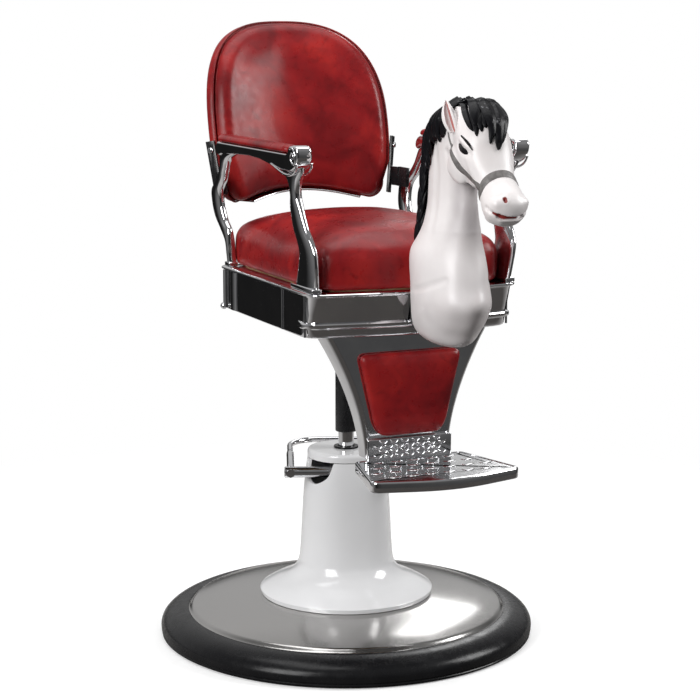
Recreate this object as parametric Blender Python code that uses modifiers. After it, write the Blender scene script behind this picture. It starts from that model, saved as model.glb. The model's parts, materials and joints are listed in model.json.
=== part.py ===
"""Children's barber chair with a horse's chest, neck and head at the front of the seat.

Metres, +Z up. The origin is on the floor, on the axis that the chair turns about.
The sitter faces -Y, and +X is at the left hand of the sitter.
"""
import math

import bmesh
import bpy
from mathutils import Matrix, Vector

# Clearances
SEAT_GAP = 0.0003
RUNNING_GAP = 0.0006

# Floor ring, base plate and base cover
RING_RADIUS = 0.325
RING_WIDTH = 0.048
RING_HEIGHT = 0.044
RING_WIDEST = 0.016
RING_TOE = 0.007
RING_LEDGE = 0.015
RING_LIP = 0.012
RING_LIP_HEIGHT = 0.012
PLATE_THICKNESS = 0.012
COVER_SHEET = 0.0025
COVER_RISE = 0.027
COVER_HOLE = 0.120
COVER_CURVE = 1.7

# Pedestal cover and cap
PEDESTAL_TOP_RADIUS = 0.0672
PEDESTAL_MIDDLE_RADIUS = 0.0755
PEDESTAL_FOOT_RADIUS = 0.1505
PEDESTAL_WALL = 0.004
PEDESTAL_ABOVE_SHAFT = 0.019
CAP_HEIGHT = 0.015
NOTCH_RADIUS = 0.021

# Pump, turned about Z away from the chair's own frame
PUMP_YAW = math.radians(-22.0)
CYLINDER_RADIUS = 0.030
CYLINDER_BORE = 0.0205
CYLINDER_CLEAR = 0.003
CYLINDER_FLOOR = 0.004
FLANGE_RADIUS = 0.072
FLANGE_THICKNESS = 0.012
GLAND_HEIGHT = 0.008
PUMP_BOLT_CIRCLE = 0.055
PUMP_BOLTS = 3
PUMP_HEAD_HALF_WIDTH = 0.026
PUMP_HEAD_HEIGHT = 0.030
PUMP_HEAD_WALL = 0.004
BARREL_HEIGHT = 0.055
BARREL_WALL = 0.006

# Pedal shaft, loop and crank
SHAFT_RADIUS = 0.0095
SHAFT_HALF_LENGTH = 0.108
SHAFT_OFFSET = 0.042
SHAFT_HEIGHT = 0.292
SHAFT_CHAMFER = 0.0015
LOOP_RADIUS = 0.005
LOOP_REACH = 0.258
LOOP_CORNER = 0.055
LOOP_END_INSET = 0.006
LOOP_STUB = 0.004
CRANK_PLACE = 0.041
CRANK_LENGTH = 0.030
CRANK_WIDTH = 0.014
CRANK_DEPTH = 0.012
CRANK_HUB = 0.0145
PLUNGER_RADIUS = 0.006
PLUNGER_COLLAR = 0.0105
PLUNGER_COLLAR_DEPTH = 0.003
PLUNGER_LENGTH = 0.060
PLUNGER_SHOWS = 0.026
CRANK_TIP = 0.002
SPRING_WIRE = 0.0008
SPRING_TURNS = 4
SPRING_POINTS_PER_TURN = 8

# Lift ram and swivel
RAM_RADIUS = 0.0135
PISTON_HEIGHT = 0.024
SLEEVE_RADIUS = 0.0188
SLEEVE_CLEAR = 0.029
HUB_RADIUS = 0.032
HUB_FLANGE = 0.050
HUB_FLANGE_THICKNESS = 0.010
HUB_HEIGHT = 0.062
BEARING_RADIUS = 0.0206
BEARING_HEIGHT = 0.016

# Seat frame
FRAME_TOP = 0.640
FRAME_HEIGHT = 0.074
FRAME_HALF_WIDTH = 0.179
FRAME_REAR = 0.122
FRAME_CORNER_FRONT = 0.274
FRAME_BOW = 0.032
FRAME_CORNER = 0.026
FRAME_REAR_CORNER = 0.012
FRAME_SETBACK = 0.024
FRAME_WALL = 0.004
FRAME_TOP_FLANGE = 0.030
FRAME_TOP_THICKNESS = 0.006
FRAME_FOOT_FLANGE = 0.030
FRAME_BEAD = 0.0045
FRAME_BEAD_HEIGHT = 0.020
RAIL_WIDTH = 0.030
RAIL_HEIGHT = 0.020
RAIL_FRONT = -0.060
RAIL_REAR = 0.045
MOUNT_PLATE_THICKNESS = 0.008
MOUNT_PLATE_HALF_WIDTH = 0.085
MOUNT_PLATE_MARGIN = 0.010

# Seat board and cushion
BOARD_THICKNESS = 0.009
CUSHION_HALF_WIDTH = 0.166
CUSHION_REAR = 0.128
CUSHION_FRONT = 0.268
CUSHION_BOW = 0.026
CUSHION_CORNER = 0.034
CUSHION_HEIGHT = 0.068
CUSHION_CROWN = 0.026
CUSHION_SKIRT = 0.012

# Arms
ARM_CENTRE = 0.168
ARM_SPLAY = 0.022
ARM_WEB = 0.012
ARM_WEB_EDGE = 0.0040
ARM_RAIL = 0.026
ARM_RAIL_EDGE = 0.0035
ARM_FRONT = -0.272
ARM_REAR = 0.108
ARM_RISE = 0.216
ARM_FOOT = 0.007
ARM_SOLE = 0.010
ARM_FOOT_INNER = 0.006
ARM_FOOT_OUTER = 0.0105
ARM_PAD_WIDTH = 0.030
ARM_PAD_THICKNESS = 0.013
ARM_PAD_FRONT = -0.222
ARM_PAD_REAR = 0.086

# Back
BACK_ABOVE_FRAME = 0.102
BACK_HEIGHT = 0.3107
BACK_HALF_WIDTH = 0.1934
BACK_ARCH = 0.1835
BACK_SQUARENESS = 2.6
BACK_TAPER = 0.0198
BACK_CORNER = 0.030
BACK_LOWER_ARCH = 0.018
BACK_WRAP_RADIUS = 0.2665
BACK_REAR = 0.2407
BACK_LEAN = math.radians(13.2)
BACK_SHELL_THICKNESS = 0.017
BACK_CUSHION_THICKNESS = 0.030
BACK_CROWN = 0.010
BACK_RECESS = 0.006
TRIM_THICKNESS = 0.003
TRIM_GAP = 0.0009
TRIM_HALF_LENGTH = 0.128
STRAP_THICKNESS = 0.005
STRAP_GAP = 0.0006
STRAP_WIDTH = 0.016
STRAP_LIFT = 0.006
STRAP_LENGTH = 0.102
LUG_LIFT = 0.020
LUG_HEIGHT = 0.034
LUG_FRONT = 0.120
LUG_REAR = 0.158

# Leg panel, calf pad and footrest
PANEL_FRONT = 0.247
PANEL_SHEET = 0.003
PANEL_OVER_TREAD = 0.002
PANEL_TOP_HALF_WIDTH = 0.143
PANEL_BOTTOM_HALF_WIDTH = 0.075
PANEL_FLANGE = 0.028
PANEL_FLARE = 0.008
PANEL_TAB = 0.032
PANEL_TAB_THICKNESS = 0.004
PAD_DROP = 0.028
PAD_OVER_HEEL = 0.0015
PAD_TOP_HALF_WIDTH = 0.094
PAD_BOTTOM_HALF_WIDTH = 0.054
PAD_THICKNESS = 0.017
PAD_CROWN = 0.005
TREAD_DROP = 0.204
TREAD_THICKNESS = 0.018
TREAD_REAR_HALF_WIDTH = 0.096
TREAD_FRONT_HALF_WIDTH = 0.131
TREAD_LENGTH = 0.142
TREAD_BOW = 0.036
TREAD_EDGE = 0.003
HEEL_HEIGHT = 0.034
HEEL_THICKNESS = 0.007

# Horse
HORSE_REAR = 0.3110
CHEST_HALF_WIDTH = 0.054
CHEST_CENTRE = 0.3895
CHEST_DEPTH = 0.090
NECK_HALF_WIDTH = 0.0295
NECK_CENTRE = 0.397
NECK_DEPTH = 0.062
POLL_RISE = 0.346
POLL_FORWARD = 0.470
HEAD_LENGTH = 0.162
HEAD_DIP = math.radians(52.0)
CHEEK_HALF_WIDTH = 0.040
CHEEK_DEPTH = 0.068
MUZZLE_HALF_WIDTH = 0.033
MUZZLE_DEPTH = 0.031
EAR_LENGTH = 0.052
EAR_RADIUS = 0.011
HORSE_VOXEL = 0.005
HORSE_KEEP = 0.098
HORSE_WALL = 0.012
HORSE_HOLLOW_FLOOR = 0.0222
HORSE_BOLT_ROOM = 0.002
HAIR_VOXEL = 0.004
HAIR_KEEP = 0.078
HAIR_GAP = 0.0009
MANE_RIDGE_HALF_WIDTH = 0.010
MANE_RIDGE_HALF_DEPTH = 0.012
MANE_LOCK_HALF_WIDTH = 0.011
MANE_LOCK_HALF_DEPTH = 0.007
MANE_PART = 0.006
MANE_HANG = 0.018
MANE_TIP = 0.023
MANE_SWAY = 0.005
MANE_SWAY_STEP = 0.003
MANE_TUCK = 0.016
CREST_BEND = 0.085
CREST_SLOPE = 0.030
FORELOCK_RIGHT = 0.030
FORELOCK_LEFT = 0.024
FORELOCK_SWAY = 0.006
FORELOCK_HALF_WIDTH = 0.012
FORELOCK_START = 0.034
FORELOCK_LENGTH = 0.054
FORELOCK_LIFT = 0.036
FORELOCK_TIP_LIFT = 0.032
FORELOCK_ROOT_LIFT = 0.010
MOUNT_HALF_WIDTH = 0.018
MOUNT_LIFT = 0.014
MOUNT_BOLT_DROP = 0.0135

# Facets round a turned piece
STEPS_LARGE = 40
STEPS_MIDDLE = 32
STEPS_SMALL = 18
STEPS_BOLT = 8

# Bolts: head radius, head height, shank radius, length under the head
PUMP_BOLT = (0.0070, 0.0050, 0.0035, 0.018)
PLATE_BOLT = (0.0075, 0.0055, 0.0040, 0.020)
ARM_BOLT = (0.0050, 0.0040, 0.0025, 0.0115)
STRAP_BOLT = (0.0055, 0.0040, 0.0028, 0.018)
PANEL_BOLT = (0.0060, 0.0040, 0.0030, 0.016)
FOOT_BOLT = (0.0055, 0.0040, 0.0028, 0.008)
MOUNT_BOLT = (0.0060, 0.0045, 0.0030, 0.024)

# Heights and radii that follow from the sizes above
COVER_EDGE = RING_RADIUS - RING_WIDTH
RING_SEAT = RING_HEIGHT - COVER_SHEET - SEAT_GAP
LEDGE_RADIUS = COVER_EDGE - RING_LEDGE
PLATE_TOP = RING_LIP_HEIGHT + SEAT_GAP + PLATE_THICKNESS
FLANGE_BOTTOM = PLATE_TOP + SEAT_GAP
FLANGE_TOP = FLANGE_BOTTOM + FLANGE_THICKNESS
BORE_FLOOR = FLANGE_TOP + CYLINDER_FLOOR
COVER_TOP = RING_HEIGHT + COVER_RISE
PEDESTAL_TOP = SHAFT_HEIGHT + PEDESTAL_ABOVE_SHAFT
CAP_TOP = PEDESTAL_TOP + CAP_HEIGHT
CYLINDER_TOP = PEDESTAL_TOP - GLAND_HEIGHT - CYLINDER_CLEAR
SLEEVE_BOTTOM = CAP_TOP + SLEEVE_CLEAR
FRAME_BOTTOM = FRAME_TOP - FRAME_HEIGHT
FOOT_FLANGE_TOP = FRAME_BOTTOM + FRAME_WALL
RAIL_BOTTOM = FOOT_FLANGE_TOP + SEAT_GAP
MOUNT_PLATE_TOP = RAIL_BOTTOM - SEAT_GAP
MOUNT_PLATE_BOTTOM = MOUNT_PLATE_TOP - MOUNT_PLATE_THICKNESS
HUB_TOP = MOUNT_PLATE_BOTTOM - SEAT_GAP
HUB_BOTTOM = HUB_TOP - HUB_HEIGHT
BEARING_BOTTOM = HUB_TOP - BEARING_HEIGHT
RAM_TOP = BEARING_BOTTOM - SEAT_GAP
PISTON_BOTTOM = BORE_FLOOR + SEAT_GAP
PISTON_TOP = PISTON_BOTTOM + PISTON_HEIGHT
RAM_BORE = RAM_RADIUS + RUNNING_GAP
BACK_BOTTOM = FRAME_TOP + BACK_ABOVE_FRAME
STRAP_BOTTOM = BACK_BOTTOM + STRAP_LIFT
STRAP_TOP = STRAP_BOTTOM + STRAP_LENGTH
LUG_BOTTOM = BACK_BOTTOM + LUG_LIFT
LUG_TOP = LUG_BOTTOM + LUG_HEIGHT
TREAD_TOP = FRAME_BOTTOM - TREAD_DROP
PANEL_BOTTOM = TREAD_TOP + PANEL_OVER_TREAD
PAD_TOP = FRAME_BOTTOM - PAD_DROP
PAD_BOTTOM = TREAD_TOP + HEEL_HEIGHT + PAD_OVER_HEEL
HORSE_BOTTOM = FRAME_BOTTOM
POLL_HEIGHT = HORSE_BOTTOM + POLL_RISE
MOUNT_BOTTOM = FRAME_BOTTOM + MOUNT_LIFT
MOUNT_TOP = FRAME_TOP - FRAME_TOP_THICKNESS
ARM_BASE = FRAME_TOP + SEAT_GAP
ARM_SEAT = ARM_BASE + ARM_RISE
PLUNGER_TOP = SHAFT_HEIGHT - CRANK_DEPTH / 2 - SEAT_GAP
BARREL_TOP = PLUNGER_TOP - PLUNGER_SHOWS
FINISHES = {}


def clear_scene():
    """Remove every object that the scene holds."""
    for leftover in list(bpy.data.objects):
        bpy.data.objects.remove(leftover, do_unlink=True)


def new_collection(name):
    """Add a collection to the scene."""
    group = bpy.data.collections.new(name)
    bpy.context.scene.collection.children.link(group)
    return group


def new_finish(name, colour, roughness, metallic):
    """Make a Principled material and keep it by name."""
    look = bpy.data.materials.new(name)
    look.use_nodes = True
    shader = look.node_tree.nodes["Principled BSDF"]
    shader.inputs["Base Color"].default_value = (*colour, 1.0)
    shader.inputs["Roughness"].default_value = roughness
    shader.inputs["Metallic"].default_value = metallic
    look.diffuse_color = (*colour, 1.0)
    FINISHES[name] = look


def make_finishes():
    """Make the finishes that the pieces share."""
    new_finish("red_leather", (0.300, 0.012, 0.014), 0.36, 0.0)
    new_finish("chrome", (0.780, 0.780, 0.790), 0.06, 1.0)
    new_finish("brushed_steel", (0.580, 0.570, 0.560), 0.32, 1.0)
    new_finish("plain_steel", (0.420, 0.420, 0.430), 0.42, 1.0)
    new_finish("cast_iron", (0.060, 0.060, 0.062), 0.62, 0.6)
    new_finish("white_enamel", (0.840, 0.840, 0.850), 0.18, 0.0)
    new_finish("black_rubber", (0.012, 0.012, 0.013), 0.48, 0.0)
    new_finish("black_paint", (0.014, 0.014, 0.015), 0.34, 0.0)
    new_finish("spring_steel", (0.300, 0.300, 0.310), 0.36, 1.0)
    new_finish("bronze", (0.480, 0.300, 0.120), 0.34, 1.0)
    new_finish("plywood", (0.420, 0.270, 0.140), 0.66, 0.0)
    new_finish("white_gelcoat", (0.800, 0.760, 0.740), 0.24, 0.0)
    new_finish("black_gelcoat", (0.010, 0.010, 0.012), 0.22, 0.0)


def add_piece(name, data, look, parent=None):
    """Put a mesh or a curve in the parts collection as a named piece."""
    piece = bpy.data.objects.new(name, data)
    if look:
        data.materials.clear()
        data.materials.append(FINISHES[look])
    PARTS.objects.link(piece)
    piece.parent = parent
    return piece


def add_cutter(name, data, parent=None):
    """Put a mesh in the cutters collection, out of the render."""
    cutter = bpy.data.objects.new(name, data)
    CUTTERS.objects.link(cutter)
    cutter.hide_render = True
    cutter.display_type = "WIRE"
    cutter.parent = parent
    return cutter


def add_axis(name, location=(0.0, 0.0, 0.0), turn=0.0, parent=None):
    """Add an empty that stands on a joint's axis."""
    axis = bpy.data.objects.new(name, None)
    PARTS.objects.link(axis)
    axis.location = location
    axis.rotation_euler = (0.0, 0.0, turn)
    axis.parent = parent
    return axis


def mesh_from(shape, name, smooth_angle=math.radians(40.0)):
    """Finish a bmesh as a mesh whose faces point out."""
    bmesh.ops.recalc_face_normals(shape, faces=shape.faces)
    mesh = bpy.data.meshes.new(name)
    shape.to_mesh(mesh)
    shape.free()
    mesh.shade_smooth()
    mesh.set_sharp_from_angle(angle=smooth_angle)
    return mesh


def box_mesh(name, low, high):
    """Make a box between two corners."""
    shape = bmesh.new()
    bmesh.ops.create_cube(shape, size=1.0)
    size = Vector(high) - Vector(low)
    middle = (Vector(high) + Vector(low)) / 2
    bmesh.ops.scale(shape, vec=size, verts=shape.verts)
    bmesh.ops.translate(shape, vec=middle, verts=shape.verts)
    return mesh_from(shape, name)


def rod_mesh(name, radius, low, high, steps=STEPS_SMALL):
    """Make a cylinder along Z between two heights."""
    shape = bmesh.new()
    bmesh.ops.create_cone(shape, cap_ends=True, segments=steps, radius1=radius, radius2=radius, depth=high - low)
    bmesh.ops.translate(shape, vec=(0.0, 0.0, (high + low) / 2), verts=shape.verts)
    return mesh_from(shape, name)


def turned(name, profile, steps, look, parent=None):
    """Turn a profile of (radius, height) about Z. It runs down the outer side."""
    mesh = bpy.data.meshes.new(name)
    count = len(profile)
    edges = [(index, index + 1) for index in range(count - 1)]
    meets_axis = profile[0][0] == 0.0 and profile[-1][0] == 0.0
    if not meets_axis:
        edges.append((count - 1, 0))
    mesh.from_pydata([(radius, 0.0, height) for radius, height in profile], edges, [])
    piece = add_piece(name, mesh, look, parent)
    screw = piece.modifiers.new("turn", "SCREW")
    screw.steps = steps
    screw.render_steps = steps
    screw.use_merge_vertices = True
    screw.merge_threshold = 0.00001
    return piece


def loft_mesh(name, rings, closed=False):
    """Skin a stack of rings of equal count, capped at both ends unless it closes on itself."""
    shape = bmesh.new()
    loops = [[shape.verts.new(point) for point in ring] for ring in rings]
    pairs = list(zip(loops, loops[1:]))
    if closed:
        pairs.append((loops[-1], loops[0]))
    else:
        shape.faces.new(loops[0])
        shape.faces.new(loops[-1])
    for lower, upper in pairs:
        for index in range(len(lower)):
            shape.faces.new((lower[index - 1], lower[index], upper[index], upper[index - 1]))
    return mesh_from(shape, name)


def settle(piece):
    """Replace a curve or a modified piece by the plain mesh that it evaluates to."""
    bpy.context.view_layer.update()
    graph = bpy.context.evaluated_depsgraph_get()
    mesh = bpy.data.meshes.new_from_object(piece.evaluated_get(graph))
    shape = bmesh.new()
    shape.from_mesh(mesh)
    bmesh.ops.remove_doubles(shape, verts=shape.verts, dist=0.00002)
    bmesh.ops.recalc_face_normals(shape, faces=shape.faces)
    shape.to_mesh(mesh)
    shape.free()
    mesh.shade_smooth()
    mesh.set_sharp_from_angle(angle=math.radians(40.0))
    name = piece.name
    parent = piece.parent
    place = piece.matrix_basis.copy()
    bpy.data.objects.remove(piece, do_unlink=True)
    solid = add_piece(name, mesh, None, parent)
    solid.matrix_basis = place
    return solid


def combine(piece, other, operation):
    """Join or cut a piece with another mesh object."""
    boolean = piece.modifiers.new(operation.lower(), "BOOLEAN")
    boolean.operation = operation
    boolean.solver = "EXACT"
    boolean.object = other


def cut(piece, cutter):
    """Cut a piece by a cutter."""
    combine(piece, cutter, "DIFFERENCE")


def join(piece, cutter):
    """Join a guide solid to a piece."""
    combine(piece, cutter, "UNION")


def lerp(start, end, share):
    """Give the value at a share of the way from start to end."""
    return start + (end - start) * share


def smooth_path(points, steps):
    """Run a smooth curve through points, with equal steps between neighbours."""
    vectors = [Vector(point) for point in points]
    path = []
    for index in range(len(vectors) - 1):
        before = vectors[max(index - 1, 0)]
        start = vectors[index]
        end = vectors[index + 1]
        after = vectors[min(index + 2, len(vectors) - 1)]
        for step in range(steps):
            t = step / steps
            bend = (2 * before - 5 * start + 4 * end - after) * t * t
            twist = (3 * start - before - 3 * end + after) * t * t * t
            path.append((2 * start + (end - before) * t + bend + twist) / 2)
    path.append(vectors[-1])
    return path


def rounded_loop(corners, cuts, steps):
    """Round the corners of a closed polygon. Each cut is a length along its two sides."""
    loop = []
    count = len(corners)
    for index in range(count):
        corner = Vector(corners[index])
        before = Vector(corners[index - 1]) - corner
        after = Vector(corners[(index + 1) % count]) - corner
        length = min(cuts[index], 0.48 * before.length, 0.48 * after.length)
        start = corner + before.normalized() * length
        end = corner + after.normalized() * length
        for step in range(steps + 1):
            t = step / steps
            loop.append(start * (1 - t) ** 2 + corner * 2 * t * (1 - t) + end * t * t)
    return loop


def even_loop(loop, count):
    """Place points at equal spacing round a closed loop."""
    closed = list(loop) + [loop[0]]
    lengths = [(b - a).length for a, b in zip(closed, closed[1:])]
    spacing = sum(lengths) / count
    points = []
    index = 0
    walked = 0.0
    for number in range(count):
        target = number * spacing
        while walked + lengths[index] < target:
            walked += lengths[index]
            index += 1
        share = (target - walked) / lengths[index]
        points.append(closed[index].lerp(closed[index + 1], share))
    return points


def bolt(name, size, seat, outward, holes, parent):
    """Fit a bolt with its head on a seat point, and drill the pieces that it goes through."""
    head_radius, head_height, shank_radius, length = size
    edge = head_height / 4
    profile = [
        (0.0, head_height),
        (head_radius - edge, head_height),
        (head_radius, head_height - edge),
        (head_radius, 0.0),
        (shank_radius, 0.0),
        (shank_radius, -length),
        (0.0, -length),
    ]
    turn = Vector(outward).to_track_quat("Z", "Y").to_euler()
    place = Vector(seat) + Vector(outward).normalized() * SEAT_GAP
    piece = turned(name, profile, STEPS_BOLT, "plain_steel", parent)
    piece.location = place
    piece.rotation_euler = turn
    hole = rod_mesh(name + "_hole", shank_radius + SEAT_GAP, -length - SEAT_GAP, head_height, STEPS_BOLT)
    cutter = add_cutter(name + "_hole", hole, parent)
    cutter.location = place
    cutter.rotation_euler = turn
    for target in holes:
        cut(target, cutter)
    return piece


def wall_profile(path, wall):
    """Give a profile a wall on its inner side, as a closed loop that runs down its outer side."""
    inner = []
    for index, point in enumerate(path):
        before = path[max(index - 1, 0)]
        after = path[min(index + 1, len(path) - 1)]
        along = (after - before).normalized()
        inner.append(point + Vector((along.y, -along.x)) * wall)
    return [tuple(point) for point in path] + [tuple(point) for point in reversed(inner)]


def build_floor_base():
    """Build the rubber ring, the base plate and the domed cover."""
    inner_top = COVER_EDGE + SEAT_GAP
    profile = []
    for step in range(6):
        angle = math.radians(90.0 * step / 5)
        radius = lerp(inner_top, RING_RADIUS, math.sin(angle))
        profile.append((radius, lerp(RING_WIDEST, RING_HEIGHT, math.cos(angle))))
    profile += [
        (RING_RADIUS - RING_TOE * 0.25, RING_TOE * 0.6),
        (RING_RADIUS - RING_TOE, 0.0),
        (LEDGE_RADIUS - RING_LIP, 0.0),
        (LEDGE_RADIUS - RING_LIP, RING_LIP_HEIGHT),
        (LEDGE_RADIUS, RING_LIP_HEIGHT),
        (LEDGE_RADIUS, RING_SEAT),
        (inner_top, RING_SEAT),
    ]
    turned("floor_ring", profile, STEPS_LARGE, "black_rubber")

    plate_radius = LEDGE_RADIUS - SEAT_GAP
    plate_bottom = RING_LIP_HEIGHT + SEAT_GAP
    foot_radius = LEDGE_RADIUS - RING_LIP - SEAT_GAP
    profile = [
        (0.0, PLATE_TOP),
        (plate_radius, PLATE_TOP),
        (plate_radius, plate_bottom),
        (foot_radius, plate_bottom),
        (foot_radius, 0.0),
        (0.0, 0.0),
    ]
    plate = turned("base_plate", profile, STEPS_LARGE, "cast_iron")

    edge_top = RING_SEAT + SEAT_GAP + COVER_SHEET
    dome = []
    for step in range(6):
        share = step / 5
        height = COVER_TOP - (COVER_TOP - edge_top) * share ** COVER_CURVE
        dome.append(Vector((lerp(COVER_HOLE, COVER_EDGE, share), height)))
    top = [tuple(point) for point in dome]
    under = [(point.x, point.y - COVER_SHEET) for point in reversed(dome)]
    turned("base_cover", top + under, STEPS_LARGE, "brushed_steel")
    return plate


def dome_height(radius):
    """Give the height of the base cover's top at a radius."""
    share = (radius - COVER_HOLE) / (COVER_EDGE - COVER_HOLE)
    edge_top = RING_SEAT + SEAT_GAP + COVER_SHEET
    return COVER_TOP - (COVER_TOP - edge_top) * max(share, 0.0) ** COVER_CURVE


def build_pedestal(yaw):
    """Build the flared column with its notches, and its cap."""
    foot = dome_height(PEDESTAL_FOOT_RADIUS - PEDESTAL_WALL - 0.003) + SEAT_GAP
    tall = PEDESTAL_TOP - SEAT_GAP - foot
    swell = PEDESTAL_FOOT_RADIUS - PEDESTAL_MIDDLE_RADIUS
    shape = [
        (PEDESTAL_TOP_RADIUS, foot + tall),
        (lerp(PEDESTAL_TOP_RADIUS, PEDESTAL_MIDDLE_RADIUS, 0.63), foot + tall * 0.84),
        (PEDESTAL_MIDDLE_RADIUS + swell * 0.01, foot + tall * 0.62),
        (PEDESTAL_MIDDLE_RADIUS + swell * 0.07, foot + tall * 0.30),
        (PEDESTAL_MIDDLE_RADIUS + swell * 0.155, foot + tall * 0.200),
        (PEDESTAL_MIDDLE_RADIUS + swell * 0.36, foot + tall * 0.134),
        (PEDESTAL_MIDDLE_RADIUS + swell * 0.72, foot + tall * 0.080),
        (PEDESTAL_FOOT_RADIUS, foot + tall * 0.030),
        (PEDESTAL_FOOT_RADIUS - 0.001, foot),
    ]
    path = [Vector(point) for point in shape]
    cover = turned("pedestal_cover", wall_profile(path, PEDESTAL_WALL), STEPS_MIDDLE, "white_enamel", yaw)
    notch = rod_mesh("shaft_notch", NOTCH_RADIUS, -PEDESTAL_FOOT_RADIUS, PEDESTAL_FOOT_RADIUS)
    turn = Matrix.Rotation(math.radians(90.0), 4, "Y")
    notch.transform(turn)
    notch.transform(Matrix.Translation((0.0, -SHAFT_OFFSET, SHAFT_HEIGHT)))
    cut(cover, add_cutter("shaft_notch", notch, yaw))
    low = (-PEDESTAL_FOOT_RADIUS, -SHAFT_OFFSET - NOTCH_RADIUS, SHAFT_HEIGHT)
    high = (PEDESTAL_FOOT_RADIUS, -SHAFT_OFFSET + NOTCH_RADIUS, CAP_TOP)
    cut(cover, add_cutter("notch_mouth", box_mesh("notch_mouth", low, high), yaw))

    hole = RAM_RADIUS + 2 * RUNNING_GAP
    lip = CAP_HEIGHT / 4
    profile = [
        (hole, CAP_TOP),
        (PEDESTAL_TOP_RADIUS - lip, CAP_TOP),
        (PEDESTAL_TOP_RADIUS, CAP_TOP - lip),
        (PEDESTAL_TOP_RADIUS, PEDESTAL_TOP),
        (hole, PEDESTAL_TOP),
    ]
    turned("pedestal_cap", profile, STEPS_MIDDLE, "white_enamel", yaw)


def build_pump(plate, yaw):
    """Build the cylinder, its gland, the shaft's block and the plunger's barrel."""
    profile = [
        (0.0, BORE_FLOOR),
        (CYLINDER_BORE, BORE_FLOOR),
        (CYLINDER_BORE, CYLINDER_TOP),
        (CYLINDER_RADIUS, CYLINDER_TOP),
        (CYLINDER_RADIUS, FLANGE_TOP),
        (FLANGE_RADIUS, FLANGE_TOP),
        (FLANGE_RADIUS, FLANGE_BOTTOM),
        (0.0, FLANGE_BOTTOM),
    ]
    cylinder = turned("pump_cylinder", profile, STEPS_SMALL, "plain_steel", yaw)
    gland_bottom = CYLINDER_TOP + SEAT_GAP
    gland_top = gland_bottom + GLAND_HEIGHT
    profile = [
        (CYLINDER_RADIUS, gland_top),
        (CYLINDER_RADIUS, gland_bottom),
        (RAM_BORE, gland_bottom),
        (RAM_BORE, gland_top),
    ]
    turned("pump_gland", profile, STEPS_SMALL, "bronze", yaw)
    for number in range(PUMP_BOLTS):
        angle = 2 * math.pi * (number + 0.5) / PUMP_BOLTS
        seat = (PUMP_BOLT_CIRCLE * math.cos(angle), PUMP_BOLT_CIRCLE * math.sin(angle), FLANGE_TOP)
        bolt(f"pump_bolt_{number + 1}", PUMP_BOLT, seat, (0.0, 0.0, 1.0), [cylinder, plate], yaw)

    clear_of_cylinder = rod_mesh("cylinder_room", CYLINDER_RADIUS + SEAT_GAP, 0.0, CAP_TOP, STEPS_MIDDLE)
    room = add_cutter("cylinder_room", clear_of_cylinder, yaw)
    head_front = -SHAFT_OFFSET - SHAFT_RADIUS - RUNNING_GAP - PUMP_HEAD_WALL
    low = (-PUMP_HEAD_HALF_WIDTH, head_front, SHAFT_HEIGHT - PUMP_HEAD_HEIGHT / 2)
    high = (PUMP_HEAD_HALF_WIDTH, -CYLINDER_RADIUS / 2, SHAFT_HEIGHT + PUMP_HEAD_HEIGHT / 2)
    head = add_piece("pump_head", box_mesh("pump_head", low, high), "cast_iron", yaw)
    cut(head, room)
    bore = rod_mesh("shaft_bore", SHAFT_RADIUS + RUNNING_GAP, -SHAFT_HALF_LENGTH, SHAFT_HALF_LENGTH)
    bore.transform(Matrix.Rotation(math.radians(90.0), 4, "Y"))
    bore.transform(Matrix.Translation((0.0, -SHAFT_OFFSET, SHAFT_HEIGHT)))
    cut(head, add_cutter("shaft_bore", bore, yaw))

    barrel_y = -SHAFT_OFFSET + CRANK_LENGTH
    reach = PLUNGER_RADIUS + BARREL_WALL
    low = (CYLINDER_RADIUS / 2, barrel_y - reach, BARREL_TOP - BARREL_HEIGHT)
    high = (CRANK_PLACE + reach, barrel_y + reach, BARREL_TOP)
    barrel = add_piece("pump_barrel", box_mesh("pump_barrel", low, high), "cast_iron", yaw)
    cut(barrel, room)
    bore = rod_mesh("plunger_bore", PLUNGER_RADIUS + RUNNING_GAP, BARREL_TOP - BARREL_HEIGHT - 0.01, CAP_TOP)
    bore.transform(Matrix.Translation((CRANK_PLACE, barrel_y, 0.0)))
    cut(barrel, add_cutter("plunger_bore", bore, yaw))


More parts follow.
